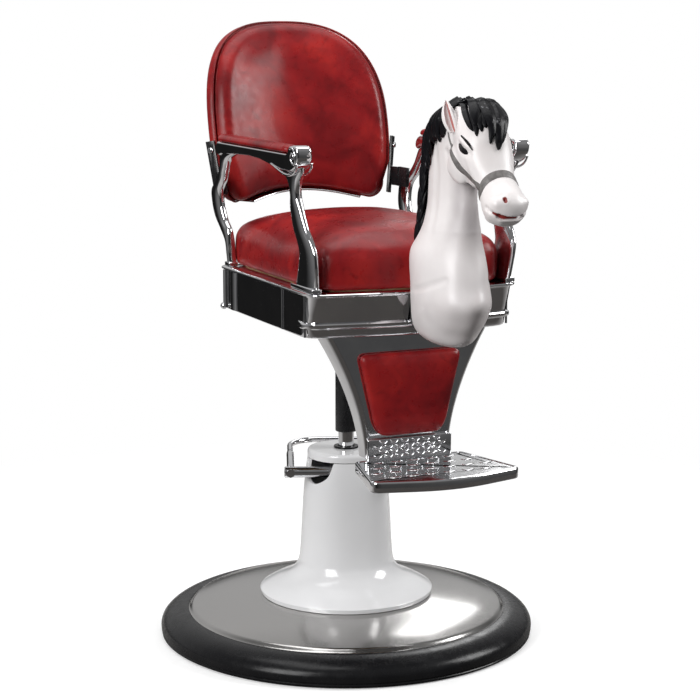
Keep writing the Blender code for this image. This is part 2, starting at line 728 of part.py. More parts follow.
def build_pedal(yaw):
    """Build the cross shaft, the loop that is stepped on and the crank inside."""
    axis = add_axis("pedal_axis", (0.0, -SHAFT_OFFSET, SHAFT_HEIGHT), 0.0, yaw)
    profile = [
        (0.0, SHAFT_HALF_LENGTH),
        (SHAFT_RADIUS - SHAFT_CHAMFER, SHAFT_HALF_LENGTH),
        (SHAFT_RADIUS, SHAFT_HALF_LENGTH - SHAFT_CHAMFER),
        (SHAFT_RADIUS, -SHAFT_HALF_LENGTH + SHAFT_CHAMFER),
        (SHAFT_RADIUS - SHAFT_CHAMFER, -SHAFT_HALF_LENGTH),
        (0.0, -SHAFT_HALF_LENGTH),
    ]
    shaft = turned("pedal_shaft", profile, STEPS_SMALL, "chrome", axis)
    shaft.rotation_euler = (0.0, math.radians(90.0), 0.0)

    side = SHAFT_HALF_LENGTH - LOOP_END_INSET - LOOP_RADIUS
    start = -SHAFT_RADIUS - LOOP_STUB
    half = [Vector((-side, start, 0.0)), Vector((-side, 0.0, 0.0)), Vector((-side, LOOP_REACH / 3, 0.0))]
    for step in range(7):
        angle = math.radians(90.0 * step / 6)
        x = -side + LOOP_CORNER * (1 - math.cos(angle))
        half.append(Vector((x, LOOP_REACH - LOOP_CORNER * (1 - math.sin(angle)), 0.0)))
    other = [Vector((-point.x, point.y, 0.0)) for point in reversed(half)]
    loop = tube("pedal_loop", half + other, LOOP_RADIUS, 2, "chrome", axis)
    loop = settle(loop)
    for end in (-side, side):
        hole = rod_mesh("loop_hole", LOOP_RADIUS + SEAT_GAP, -LOOP_REACH / 4, LOOP_REACH / 4, STEPS_SMALL)
        hole.transform(Matrix.Rotation(math.radians(90.0), 4, "X"))
        hole.transform(Matrix.Translation((end, 0.0, 0.0)))
        cut(shaft, add_cutter("loop_hole", hole, axis))

    tip = CRANK_LENGTH + PLUNGER_RADIUS + CRANK_TIP
    low = (CRANK_PLACE - CRANK_WIDTH / 2, 0.0, -CRANK_DEPTH / 2)
    high = (CRANK_PLACE + CRANK_WIDTH / 2, tip, CRANK_DEPTH / 2)
    crank = add_piece("pedal_crank", box_mesh("pedal_crank", low, high), "cast_iron", axis)
    turn = Matrix.Rotation(math.radians(90.0), 4, "Y")
    shift = Matrix.Translation((CRANK_PLACE, 0.0, 0.0))
    hub = rod_mesh("crank_hub", CRANK_HUB, -CRANK_WIDTH / 2, CRANK_WIDTH / 2)
    hub.transform(shift @ turn)
    join(crank, add_cutter("crank_hub", hub, axis))
    bore = rod_mesh("crank_bore", SHAFT_RADIUS + SEAT_GAP, -CRANK_WIDTH, CRANK_WIDTH)
    bore.transform(shift @ turn)
    cut(crank, add_cutter("crank_bore", bore, axis))


def tube(name, points, radius, resolution, look, parent=None):
    """Run a round tube with filled ends through points."""
    curve = bpy.data.curves.new(name, "CURVE")
    curve.dimensions = "3D"
    curve.bevel_depth = radius
    curve.bevel_resolution = resolution
    curve.use_fill_caps = True
    spline = curve.splines.new("POLY")
    spline.points.add(len(points) - 1)
    for place, point in zip(spline.points, points):
        place.co = (*point, 1.0)
    return add_piece(name, curve, look, parent)


def build_plunger(yaw):
    """Build the plunger that the crank pushes, and its return spring."""
    place = (CRANK_PLACE, -SHAFT_OFFSET + CRANK_LENGTH, PLUNGER_TOP)
    axis = add_axis("plunger_axis", place, 0.0, yaw)
    dome = PLUNGER_RADIUS * 0.8
    profile = [(0.0, 0.0)]
    for angle in (30.0, 60.0, 90.0):
        turn = math.radians(angle)
        profile.append((PLUNGER_RADIUS * math.sin(turn), -dome * (1 - math.cos(turn))))
    collar_bottom = -dome - PLUNGER_COLLAR_DEPTH
    profile += [
        (PLUNGER_COLLAR, -dome),
        (PLUNGER_COLLAR, collar_bottom),
        (PLUNGER_RADIUS, collar_bottom),
        (PLUNGER_RADIUS, -PLUNGER_LENGTH),
        (0.0, -PLUNGER_LENGTH),
    ]
    turned("pump_plunger", profile, STEPS_SMALL, "plain_steel", axis)
    low = BARREL_TOP - PLUNGER_TOP + SPRING_WIRE + SEAT_GAP
    high = collar_bottom - SPRING_WIRE - SEAT_GAP
    radius = PLUNGER_RADIUS + SPRING_WIRE + 2 * RUNNING_GAP
    count = SPRING_TURNS * SPRING_POINTS_PER_TURN
    points = []
    for index in range(count + 1):
        angle = 2 * math.pi * index / SPRING_POINTS_PER_TURN
        height = lerp(low, high, index / count)
        points.append(Vector((radius * math.cos(angle), radius * math.sin(angle), height)))
    tube("plunger_spring", points, SPRING_WIRE, 1, "spring_steel", axis)


def build_lift(lift):
    """Build the ram with its piston, and the bearing that the chair turns on."""
    piston = CYLINDER_BORE - RUNNING_GAP
    profile = [
        (0.0, RAM_TOP),
        (RAM_RADIUS, RAM_TOP),
        (RAM_RADIUS, PISTON_TOP),
        (piston, PISTON_TOP),
        (piston, PISTON_BOTTOM),
        (0.0, PISTON_BOTTOM),
    ]
    turned("lift_ram", profile, STEPS_SMALL, "chrome", lift)
    profile = [
        (0.0, HUB_TOP - SEAT_GAP),
        (BEARING_RADIUS, HUB_TOP - SEAT_GAP),
        (BEARING_RADIUS, BEARING_BOTTOM),
        (0.0, BEARING_BOTTOM),
    ]
    turned("thrust_bearing", profile, STEPS_SMALL, "bronze", lift)


def build_swivel(chair):
    """Build the sleeve and the hub that turn on the ram."""
    sleeve_top = HUB_BOTTOM - SEAT_GAP
    profile = [
        (SLEEVE_RADIUS, sleeve_top),
        (SLEEVE_RADIUS, SLEEVE_BOTTOM),
        (RAM_BORE, SLEEVE_BOTTOM),
        (RAM_BORE, sleeve_top),
    ]
    turned("post_sleeve", profile, STEPS_SMALL, "black_paint", chair)
    counterbore = BEARING_RADIUS + RUNNING_GAP
    profile = [
        (HUB_FLANGE, HUB_TOP),
        (HUB_FLANGE, HUB_TOP - HUB_FLANGE_THICKNESS),
        (HUB_RADIUS, HUB_TOP - HUB_FLANGE_THICKNESS),
        (HUB_RADIUS, HUB_BOTTOM),
        (RAM_BORE, HUB_BOTTOM),
        (RAM_BORE, BEARING_BOTTOM - SEAT_GAP),
        (counterbore, BEARING_BOTTOM - SEAT_GAP),
        (counterbore, HUB_TOP),
    ]
    turned("swivel_hub", profile, STEPS_SMALL, "cast_iron", chair)


def frame_loop(grow, setback):
    """Give the seat frame's outline in plan, grown outwards and set back at the front."""
    half = FRAME_HALF_WIDTH + grow
    front = -FRAME_CORNER_FRONT - grow + setback
    corners = [
        (half, FRAME_REAR + grow),
        (-half, FRAME_REAR + grow),
        (-half, front),
        (0.0, front - FRAME_BOW),
        (half, front),
    ]
    cuts = [FRAME_REAR_CORNER, FRAME_REAR_CORNER, FRAME_CORNER, FRAME_HALF_WIDTH / 2, FRAME_CORNER]
    return rounded_loop(corners, cuts, 4)


def frame_ring(grow, height):
    """Give one ring of the seat frame, leaning back at the front below its top edge."""
    fall = (FRAME_TOP - height) / FRAME_HEIGHT
    return [(point.x, point.y, height) for point in frame_loop(grow, FRAME_SETBACK * fall)]


def build_seat_frame(chair):
    """Build the chrome band with its flanges and beads."""
    bead_high = FRAME_BOTTOM + FRAME_BEAD_HEIGHT
    rim_low = FRAME_TOP - FRAME_TOP_THICKNESS
    section = [
        (0.0, FRAME_TOP),
        (FRAME_BEAD, FRAME_TOP - FRAME_BEAD / 2),
        (FRAME_BEAD, rim_low),
        (0.0, rim_low - FRAME_BEAD / 2),
        (0.0, bead_high + FRAME_BEAD),
        (FRAME_BEAD, bead_high),
        (0.0, bead_high - FRAME_BEAD),
        (-FRAME_WALL / 2, FRAME_BOTTOM),
        (-FRAME_FOOT_FLANGE, FRAME_BOTTOM),
        (-FRAME_FOOT_FLANGE, FOOT_FLANGE_TOP),
        (-FRAME_WALL * 1.5, FOOT_FLANGE_TOP),
        (-FRAME_WALL, bead_high),
        (-FRAME_WALL, rim_low),
        (-FRAME_TOP_FLANGE, rim_low),
        (-FRAME_TOP_FLANGE, FRAME_TOP),
    ]
    rings = [frame_ring(grow, height) for grow, height in section]
    return add_piece("seat_frame", loft_mesh("seat_frame", rings, closed=True), "chrome", chair)


def build_seat_floor(chair):
    """Build the cross rails, the mounting plate and its bolts."""
    half = FRAME_HALF_WIDTH - FRAME_WALL * 1.5 - SEAT_GAP
    rails = []
    for name, middle in (("cross_rail_front", RAIL_FRONT), ("cross_rail_rear", RAIL_REAR)):
        low = (-half, middle - RAIL_WIDTH / 2, RAIL_BOTTOM)
        high = (half, middle + RAIL_WIDTH / 2, RAIL_BOTTOM + RAIL_HEIGHT)
        rails.append(add_piece(name, box_mesh(name, low, high), "plain_steel", chair))
    reach = RAIL_WIDTH / 2 + MOUNT_PLATE_MARGIN
    low = (-MOUNT_PLATE_HALF_WIDTH, RAIL_FRONT - reach, MOUNT_PLATE_BOTTOM)
    high = (MOUNT_PLATE_HALF_WIDTH, RAIL_REAR + reach, MOUNT_PLATE_TOP)
    plate = add_piece("mounting_plate", box_mesh("mounting_plate", low, high), "plain_steel", chair)
    across = MOUNT_PLATE_HALF_WIDTH - 2 * MOUNT_PLATE_MARGIN
    number = 0
    for rail, middle in zip(rails, (RAIL_FRONT, RAIL_REAR)):
        for side in (-across, across):
            number += 1
            seat = (side, middle, MOUNT_PLATE_BOTTOM)
            bolt(f"plate_bolt_{number}", PLATE_BOLT, seat, (0.0, 0.0, -1.0), [plate, rail], chair)


def cushion_loop(inset):
    """Give the seat cushion's outline in plan, drawn in by an inset."""
    half = CUSHION_HALF_WIDTH - inset
    front = -CUSHION_FRONT + inset
    bow = CUSHION_BOW * half / CUSHION_HALF_WIDTH
    corners = [
        (half, CUSHION_REAR - inset),
        (-half, CUSHION_REAR - inset),
        (-half, front),
        (0.0, front - bow),
        (half, front),
    ]
    cuts = [CUSHION_CORNER, CUSHION_CORNER, CUSHION_CORNER, CUSHION_HALF_WIDTH / 2, CUSHION_CORNER]
    return even_loop(rounded_loop(corners, cuts, 6), 40)


def build_seat(chair):
    """Build the plywood board and the boxed cushion over it."""
    low = FRAME_TOP + SEAT_GAP
    board = [[(p.x, p.y, z) for p in cushion_loop(CUSHION_SKIRT + SEAT_GAP)] for z in (low, low + BOARD_THICKNESS)]
    add_piece("seat_board", loft_mesh("seat_board", board), "plywood", chair)
    recess = low + BOARD_THICKNESS + SEAT_GAP
    seam = FRAME_TOP + CUSHION_HEIGHT
    rings = [
        (CUSHION_SKIRT, recess),
        (CUSHION_SKIRT, low),
        (0.006, low),
        (0.004, lerp(low, seam, 0.12)),
        (0.0030, lerp(low, seam, 0.5)),
        (0.0, lerp(low, seam, 0.88)),
        (0.002, seam),
        (0.007, seam + CUSHION_CROWN * 0.20),
        (0.022, seam + CUSHION_CROWN * 0.52),
        (0.050, seam + CUSHION_CROWN * 0.82),
        (0.085, seam + CUSHION_CROWN),
    ]
    points = [[(p.x, p.y, height) for p in cushion_loop(inset)] for inset, height in rings]
    add_piece("seat_cushion", loft_mesh("seat_cushion", points), "red_leather", chair)


def arm_point(along, rise):
    """Give a point of the arm's side outline: from the rear end forwards, and up from the frame."""
    return (lerp(ARM_REAR, ARM_FRONT, along), lerp(ARM_BASE, ARM_SEAT, rise))


def web_outline():
    """Give the side outline of the arm's two posts, from the front foot up, back and down again."""
    front_edge = [(0.997, ARM_SOLE), (1.008, 0.12), (1.016, 0.276), (0.988, 0.369), (0.946, 0.462), (0.910, 0.605)]
    front_top = [(0.893, 0.693), (0.914, 0.786), (0.962, 0.880), (0.950, 0.985)]
    rear_top = [(0.070, 0.985), (0.030, 0.880), (0.002, 0.770), (-0.045, 0.690)]
    rear_edge = [(-0.130, 0.600), (-0.142, 0.500), (-0.125, 0.390), (-0.070, 0.290), (-0.018, 0.200)]
    rear_foot = [(-0.012, 0.100), (-0.012, ARM_SOLE), (0.026, ARM_SOLE), (0.026, 0.100), (0.034, 0.200)]
    rear_inner = [(0.028, 0.290), (-0.010, 0.365), (-0.034, 0.470), (-0.026, 0.590), (0.036, 0.690), (0.068, 0.770), (0.130, 0.870)]
    under = [(0.300, 0.925), (0.560, 0.925), (0.680, 0.885), (0.765, 0.840)]
    front_inner = [(0.812, 0.775), (0.826, 0.693), (0.808, 0.605), (0.812, 0.462), (0.836, 0.369), (0.850, 0.276)]
    front_foot = [(0.818, 0.150), (0.771, ARM_SOLE)]
    return front_edge + front_top + rear_top + rear_edge + rear_foot + rear_inner + under + front_inner + front_foot


def rail_outline():
    """Give the side outline of the arm's rail, from the raised tip back under the pad."""
    tip = [(1.0, 0.975), (0.996, 1.050), (0.962, 1.066), (0.908, 1.056), (0.884, 1.0)]
    rear = [(0.062, 1.0), (0.034, 0.962), (0.034, 0.905), (0.060, 0.885)]
    under = [(0.110, 0.906), (0.260, 0.920), (0.430, 0.929), (0.560, 0.920), (0.680, 0.892), (0.800, 0.869)]
    throat = [(0.912, 0.869), (0.970, 0.905)]
    return tip + rear + under + throat


def flat_solid(name, loop, thickness, edge, look, parent):
    """Fill a flat outline and give it thickness, with rounded edges."""
    curve = bpy.data.curves.new(name, "CURVE")
    curve.dimensions = "2D"
    curve.fill_mode = "BOTH"
    curve.extrude = thickness / 2 - edge
    curve.bevel_depth = edge
    curve.bevel_resolution = 1
    curve.offset = -edge
    spline = curve.splines.new("POLY")
    spline.points.add(len(loop) - 1)
    for place, point in zip(spline.points, loop):
        place.co = (point[0], point[1], 0.0, 1.0)
    spline.use_cyclic_u = True
    return add_piece(name, curve, look, parent)


def smooth_outline(points, steps):
    """Smooth a closed outline, keeping its lowest corners sharp."""
    base = min(point[1] for point in points)
    sharp = [index for index, point in enumerate(points) if point[1] - base < 0.0001]
    outline = []
    for order, start in enumerate(sharp):
        end = sharp[(order + 1) % len(sharp)]
        run = points[start:end + 1] if end > start else points[start:] + points[:end + 1]
        if len(run) == 2:
            outline.append(Vector(run[0]))
        else:
            outline += smooth_path(run, steps)[:-1]
    return outline


def inset_outline(loop, inset):
    """Draw a closed outline in, each point along the mean of its two sides' normals."""
    drawn = []
    for index, point in enumerate(loop):
        before = (point - loop[index - 1]).normalized()
        after = (loop[(index + 1) % len(loop)] - point).normalized()
        along = (before + after).normalized()
        spread = max(along.dot(after), 0.5)
        drawn.append(point + Vector((-along.y, along.x)) * inset / spread)
    return drawn


def side_solid(name, side, outline, thickness, edge):
    """Make a solid from a side outline, standing at one arm's place, with rounded edges."""
    loop = [Vector(point) for point in outline]
    area = sum(a.x * b.y - b.x * a.y for a, b in zip(loop, loop[1:] + loop[:1]))
    if area < 0:
        loop.reverse()
    half = thickness / 2
    levels = [(edge, -half), (edge * 0.3, edge * 0.3 - half), (0.0, edge - half)]
    levels += [(inset, -across) for inset, across in levels[::-1]]
    rings = []
    for inset, across in levels:
        ring = []
        for point in inset_outline(loop, inset):
            ring.append((side * arm_centre(point.y) + across, point.x, point.y))
        rings.append(ring)
    return loft_mesh(name, rings)


def arm_centre(height):
    """Give how far out the arm's middle plane stands at a height."""
    return ARM_CENTRE + ARM_SPLAY * (height - ARM_BASE) / ARM_RISE


def build_arm(side, name, frame, chair):
    """Build one arm casting, its pad and the bolts in its feet."""
    web = [arm_point(along, rise) for along, rise in web_outline()]
    web_mesh = side_solid(f"arm_{name}", side, smooth_outline(web, 1), ARM_WEB, ARM_WEB_EDGE)
    arm = add_piece(f"arm_{name}", web_mesh, "chrome", chair)
    rail = [arm_point(along, rise) for along, rise in rail_outline()]
    rail_loop = rounded_loop(rail, [ARM_RAIL_EDGE] * len(rail), 1)
    rail_mesh = side_solid(f"rail_{name}", side, rail_loop, ARM_RAIL, ARM_RAIL_EDGE)
    join(arm, add_cutter(f"rail_{name}", rail_mesh, chair))
    reach = sorted((side * (ARM_CENTRE - ARM_FOOT_INNER), side * (ARM_CENTRE + ARM_FOOT_OUTER)))
    for place, toe, heel in (("front", 1.000, 0.765), ("rear", 0.040, -0.020)):
        low = (reach[0], arm_point(toe, 0.0)[0], ARM_BASE)
        high = (reach[1], arm_point(heel, 0.0)[0], ARM_BASE + ARM_FOOT)
        join(arm, add_cutter(f"foot_{name}_{place}", box_mesh("foot", low, high), chair))
    arm = settle(arm)

    low = ARM_SEAT + SEAT_GAP
    half = ARM_PAD_WIDTH / 2
    corners = [
        (half, ARM_PAD_REAR),
        (-half, ARM_PAD_REAR),
        (-half, ARM_PAD_FRONT),
        (half, ARM_PAD_FRONT),
    ]
    sections = [(0.0015, 0.0), (0.0, 0.35), (0.0015, 0.70), (0.006, 0.93), (0.011, 1.0)]
    rings = []
    for inset, share in sections:
        loop = []
        for x, y in corners:
            loop.append((x - math.copysign(inset, x), y - math.copysign(inset, y)))
        loop = even_loop(rounded_loop(loop, [half] * 4, 4), 28)
        height = low + ARM_PAD_THICKNESS * share
        rings.append([(side * arm_centre(ARM_SEAT) + p.x, p.y, height) for p in loop])
    add_piece(f"arm_pad_{name}", loft_mesh(f"arm_pad_{name}", rings), "red_leather", chair)

    under = FRAME_TOP - FRAME_TOP_THICKNESS
    inward = FRAME_HALF_WIDTH - FRAME_WALL - ARM_BOLT[0] - SEAT_GAP
    for place, along in (("front", 0.900), ("rear", 0.024)):
        seat = (side * inward, arm_point(along, 0.0)[0], under)
        bolt(f"arm_bolt_{name}_{place}", ARM_BOLT, seat, (0.0, 0.0, -1.0), [frame, arm], chair)
    return arm


def back_point(across, up, depth):
    """Place a point of the back: across it, up from its lower edge, and forward of its rear face."""
    angle = across / BACK_WRAP_RADIUS
    radius = BACK_WRAP_RADIUS - depth
    x = radius * math.sin(angle)
    y = BACK_REAR - BACK_WRAP_RADIUS + radius * math.cos(angle)
    return Vector((x, y + up * math.tan(BACK_LEAN), BACK_BOTTOM + up))


def back_loop(inset):
    """Give the flat outline of the back: arched top, rounded lower corners, arched lower edge."""
    half = BACK_HALF_WIDTH - inset
    spring = BACK_HEIGHT - BACK_ARCH
    loop = []
    for step in range(33):
        angle = math.pi * step / 32
        x = math.copysign(abs(math.cos(angle)) ** (2 / BACK_SQUARENESS), math.cos(angle))
        z = math.sin(angle) ** (2 / BACK_SQUARENESS)
        loop.append(Vector((half * x, spring + (BACK_ARCH - inset) * z)))
    foot = half - BACK_TAPER
    corner = min(BACK_CORNER, foot / 2)
    lower = []
    for share in (0.25, 0.5):
        lower.append(Vector((half - BACK_TAPER * share * share, lerp(spring, inset, share))))
    for step in range(7):
        angle = math.radians(90.0 * step / 6)
        x = foot - corner * (1 - math.cos(angle))
        lower.append(Vector((x, inset + corner * (1 - math.sin(angle)))))
    run = foot - corner
    for step in range(1, 7):
        x = run * (1 - step / 6)
        lower.append(Vector((x, inset + BACK_LOWER_ARCH * math.cos(math.pi * x / (2 * run)))))
    for point in lower[:-1]:
        loop.append(Vector((-point.x, point.y)))
    loop += lower[::-1]
    return even_loop(loop, 40)


def back_ring(inset, scale, depth):
    """Give one ring of the back: its outline drawn in, then shrunk towards the middle of the face."""
    middle = Vector((0.0, BACK_HEIGHT / 2))
    ring = []
    for point in back_loop(inset):
        place = middle + (point - middle) * scale
        ring.append(back_point(place.x, place.y, depth))
    return ring


def build_back(chair):
    """Build the wrapped shell, the cushion on it and the bright strip under it."""
    shrink = (0.12, 0.42, 0.72)
    rings = [back_ring(0.004, scale, 0.0) for scale in shrink]
    rings += [back_ring(0.004, 1.0, 0.0), back_ring(0.0, 1.0, 0.003), back_ring(0.0, 1.0, BACK_SHELL_THICKNESS)]
    rings += [back_ring(0.0, scale, BACK_SHELL_THICKNESS) for scale in (0.975, 0.94) + shrink[::-1]]
    shell = add_piece("back_shell", loft_mesh("back_shell", rings), "red_leather", chair)

    start = BACK_SHELL_THICKNESS + SEAT_GAP
    seam = start + BACK_CUSHION_THICKNESS
    rings = [back_ring(0.0, scale, start + BACK_RECESS) for scale in shrink + (0.94,)]
    rings.append(back_ring(0.0, 0.975, start))
    edge = [
        (0.0, start),
        (0.0, start + 0.004),
        (0.0015, lerp(start, seam, 0.5)),
        (0.0, seam - 0.004),
        (0.003, seam),
        (0.009, seam + BACK_CROWN * 0.25),
    ]
    rings += [back_ring(inset, 1.0, depth) for inset, depth in edge]
    crown = [(0.88, 0.52), (0.72, 0.80), (0.42, 0.97), (0.12, 1.0)]
    rings += [back_ring(0.009, scale, seam + BACK_CROWN * share) for scale, share in crown]
    add_piece("back_cushion", loft_mesh("back_cushion", rings), "red_leather", chair)

    run = BACK_HALF_WIDTH - BACK_TAPER - BACK_CORNER
    rings = []
    for step in range(13):
        across = lerp(-TRIM_HALF_LENGTH, TRIM_HALF_LENGTH, step / 12)
        edge = BACK_LOWER_ARCH * math.cos(math.pi * across / (2 * run)) - TRIM_GAP
        ends = ((edge, 0.002), (edge, seam), (edge - TRIM_THICKNESS, seam), (edge - TRIM_THICKNESS, 0.002))
        rings.append([back_point(across, up, depth) for up, depth in ends])
    add_piece("back_trim", loft_mesh("back_trim", rings), "chrome", chair)
    return shell


def build_back_bracket(side, name, shell, chair):
    """Build the strap beside the back, with the lug that joins it to the arm's rear post."""
    level = (STRAP_BOTTOM + STRAP_TOP) / 2
    up = level - BACK_BOTTOM
    below = 1 - up / (BACK_HEIGHT - BACK_ARCH)
    edge = BACK_HALF_WIDTH - BACK_TAPER * below * below
    flare = 2 * BACK_TAPER * below / (BACK_HEIGHT - BACK_ARCH)
    turn = edge / BACK_WRAP_RADIUS
    depthwise = Vector((-math.sin(turn), -math.cos(turn), 0.0))
    upward = Vector((flare * math.cos(turn), math.tan(BACK_LEAN) - flare * math.sin(turn), 1.0)).normalized()
    outward = upward.cross(depthwise).normalized()
    rearward = upward.cross(outward)
    touch = back_point(edge, up, BACK_SHELL_THICKNESS / 2)
    middle = touch + outward * (STRAP_THICKNESS / 2 + STRAP_GAP)
    low = (-STRAP_THICKNESS / 2, -STRAP_WIDTH / 2, STRAP_BOTTOM - level)
    high = (STRAP_THICKNESS / 2, STRAP_WIDTH / 2, STRAP_TOP - level)
    strap = box_mesh(f"back_bracket_{name}", low, high)
    turned_strap = Matrix((outward, rearward, upward)).transposed().to_4x4()
    strap.transform(Matrix.Translation(middle) @ turned_strap)
    low = (-STRAP_THICKNESS, LUG_FRONT, LUG_BOTTOM)
    high = (0.0, LUG_REAR, LUG_TOP)
    lug = box_mesh("lug", low, high)
    for vertex in lug.vertices:
        vertex.co.x += arm_centre(vertex.co.z) - ARM_WEB / 2 - SEAT_GAP
    lug_level = (LUG_BOTTOM + LUG_TOP) / 2
    link_out = arm_centre(LUG_BOTTOM) - ARM_WEB / 2 - SEAT_GAP - STRAP_THICKNESS / 2
    link_start = Vector((link_out, LUG_REAR - STRAP_THICKNESS))
    link_end = (middle + upward * (lug_level - level)).xy
    run = link_end - link_start
    low = (-STRAP_THICKNESS / 2, 0.0, LUG_BOTTOM + SEAT_GAP)
    link = box_mesh("link", low, (STRAP_THICKNESS / 2, run.length, LUG_TOP - SEAT_GAP))
    link.transform(Matrix.Rotation(math.atan2(-run.x, run.y), 4, "Z"))
    link.transform(Matrix.Translation(link_start.to_3d()))
    mirror = Matrix.Scale(side, 4, (1.0, 0.0, 0.0))
    for mesh in (strap, lug, link):
        mesh.transform(mirror)
        if side < 0:
            mesh.flip_normals()
    bracket = add_piece(f"back_bracket_{name}", strap, "black_paint", chair)
    join(bracket, add_cutter(f"lug_{name}", lug, chair))
    join(bracket, add_cutter(f"link_{name}", link, chair))
    bracket = settle(bracket)

    outer = middle + outward * STRAP_THICKNESS / 2 + upward * (STRAP_TOP - level - STRAP_WIDTH)
    seat = (side * outer.x, outer.y, outer.z)
    heading = (side * outward.x, outward.y, outward.z)
    bolt(f"strap_bolt_{name}", STRAP_BOLT, seat, heading, [bracket, shell], chair)


def panel_half_width(height):
    """Give the leg panel's half width at a height: it draws in quickly, then runs almost straight."""
    share = (height - PANEL_BOTTOM) / (FRAME_BOTTOM - PANEL_BOTTOM)
    return lerp(PANEL_BOTTOM_HALF_WIDTH, PANEL_TOP_HALF_WIDTH, max(share, 0.0) ** 1.75)


def build_leg_panel(frame, chair):
    """Build the tapered panel with its side flanges and the tab that hangs it on the frame."""
    top = FRAME_BOTTOM - SEAT_GAP
    rings = []
    for step in range(9):
        height = lerp(PANEL_BOTTOM, top, step / 8)
        half = panel_half_width(height)
        flare = PANEL_FLARE * step / 8
        back = -PANEL_FRONT + PANEL_FLANGE
        corner = 2 * PANEL_SHEET
        outer = [
            (half + flare, back),
            (half, -PANEL_FRONT + corner),
            (half - corner, -PANEL_FRONT),
        ]
        inner = [
            (half - corner, -PANEL_FRONT + PANEL_SHEET),
            (half - PANEL_SHEET, -PANEL_FRONT + corner),
            (half + flare - PANEL_SHEET, back),
        ]
        loop = outer + [(-x, y) for x, y in reversed(outer)]
        loop += [(-x, y) for x, y in reversed(inner)] + inner
        rings.append([(x, y, height) for x, y in loop])
    panel = add_piece("leg_panel", loft_mesh("leg_panel", rings), "chrome", chair)
    tab_half = PANEL_TOP_HALF_WIDTH - 4 * PANEL_SHEET
    low = (-tab_half, -PANEL_FRONT + PANEL_SHEET / 2, top - PANEL_TAB_THICKNESS)
    high = (tab_half, -PANEL_FRONT + PANEL_TAB, top)
    join(panel, add_cutter("panel_tab", box_mesh("panel_tab", low, high), chair))
    panel = settle(panel)
    across = PANEL_TOP_HALF_WIDTH * 0.66
    place = -PANEL_FRONT + PANEL_SHEET + PANEL_BOLT[0] + 2 * SEAT_GAP
    for side, name in ((-1.0, "right"), (1.0, "left")):
        seat = (side * across, place, top - PANEL_TAB_THICKNESS)
        bolt(f"panel_bolt_{name}", PANEL_BOLT, seat, (0.0, 0.0, -1.0), [panel, frame], chair)
    return panel


def build_calf_pad(chair):
    """Build the red pad on the leg panel."""
    start = -PANEL_FRONT - SEAT_GAP
    sections = [(0.002, 0.0), (0.0, 0.25), (0.001, 0.62), (0.003, 0.88), (0.007, 1.0)]
    rings = []
    for inset, share in sections:
        rings.append(calf_ring(inset, start - PAD_THICKNESS * share))
    for inset, share in ((0.018, 0.55), (0.034, 1.0)):
        rings.append(calf_ring(inset, start - PAD_THICKNESS - PAD_CROWN * share))
    add_piece("calf_pad", loft_mesh("calf_pad", rings), "red_leather", chair)


def calf_ring(inset, place):
    """Give one ring of the calf pad's outline, with cut lower corners."""
    slope = (PAD_TOP_HALF_WIDTH - PAD_BOTTOM_HALF_WIDTH) / (PAD_TOP - PAD_BOTTOM)
    low = PAD_BOTTOM + inset
    high = PAD_TOP - inset
    top = PAD_TOP_HALF_WIDTH - inset * (1 + slope)
    bottom = PAD_BOTTOM_HALF_WIDTH - inset * (1 - slope)
    cut_height = lerp(low, high, 0.13)
    cut_half = lerp(bottom, top, 0.13) + 0.006
    right = [(-top, high), (-cut_half, cut_height), (-bottom, low)]
    corners = right + [(-x, z) for x, z in reversed(right)]
    loop = even_loop(rounded_loop(corners, [0.014] * 6, 4), 30)
    return [(p.x, place, p.y) for p in loop]


def build_footrest(panel, chair):
    """Build the step with its heel plate, and the bolts behind it."""
    rear = -PANEL_FRONT - SEAT_GAP
    front = rear - TREAD_LENGTH
    corners = [
        (TREAD_REAR_HALF_WIDTH, rear),
        (-TREAD_REAR_HALF_WIDTH, rear),
        (-TREAD_FRONT_HALF_WIDTH, front),
        (0.0, front - TREAD_BOW),
        (TREAD_FRONT_HALF_WIDTH, front),
    ]
    cuts = [0.010, 0.010, 0.016, TREAD_FRONT_HALF_WIDTH / 2, 0.016]
    loop = rounded_loop(corners, cuts, 5)
    tread = flat_solid("footrest", loop, TREAD_THICKNESS, TREAD_EDGE, "chrome", chair)
    tread.location = (0.0, 0.0, TREAD_TOP - TREAD_THICKNESS / 2)
    tread = settle(tread)
    heel_half = PANEL_BOTTOM_HALF_WIDTH
    heel = box_mesh("heel", (-heel_half, rear - HEEL_THICKNESS, TREAD_TOP - TREAD_EDGE * 2),
                    (heel_half, rear, TREAD_TOP + HEEL_HEIGHT))
    join(tread, add_cutter("heel", heel, chair))
    tread = settle(tread)
    for side, name in ((-1.0, "right"), (1.0, "left")):
        seat = (side * heel_half * 0.62, -PANEL_FRONT + PANEL_SHEET, TREAD_TOP + HEEL_HEIGHT * 0.6)
        bolt(f"foot_bolt_{name}", FOOT_BOLT, seat, (0.0, 1.0, 0.0), [panel, tread], chair)


def horse_ring(height, centre, half_width, front, rear, count=28):
    """Give a level section of the chest or neck. Forward distances are along -Y."""
    ring = []
    for index in range(count):
        angle = 2 * math.pi * index / count
        reach = front if math.cos(angle) > 0 else rear
        ring.append((half_width * math.sin(angle), -(centre + reach * math.cos(angle)), height))
    return ring


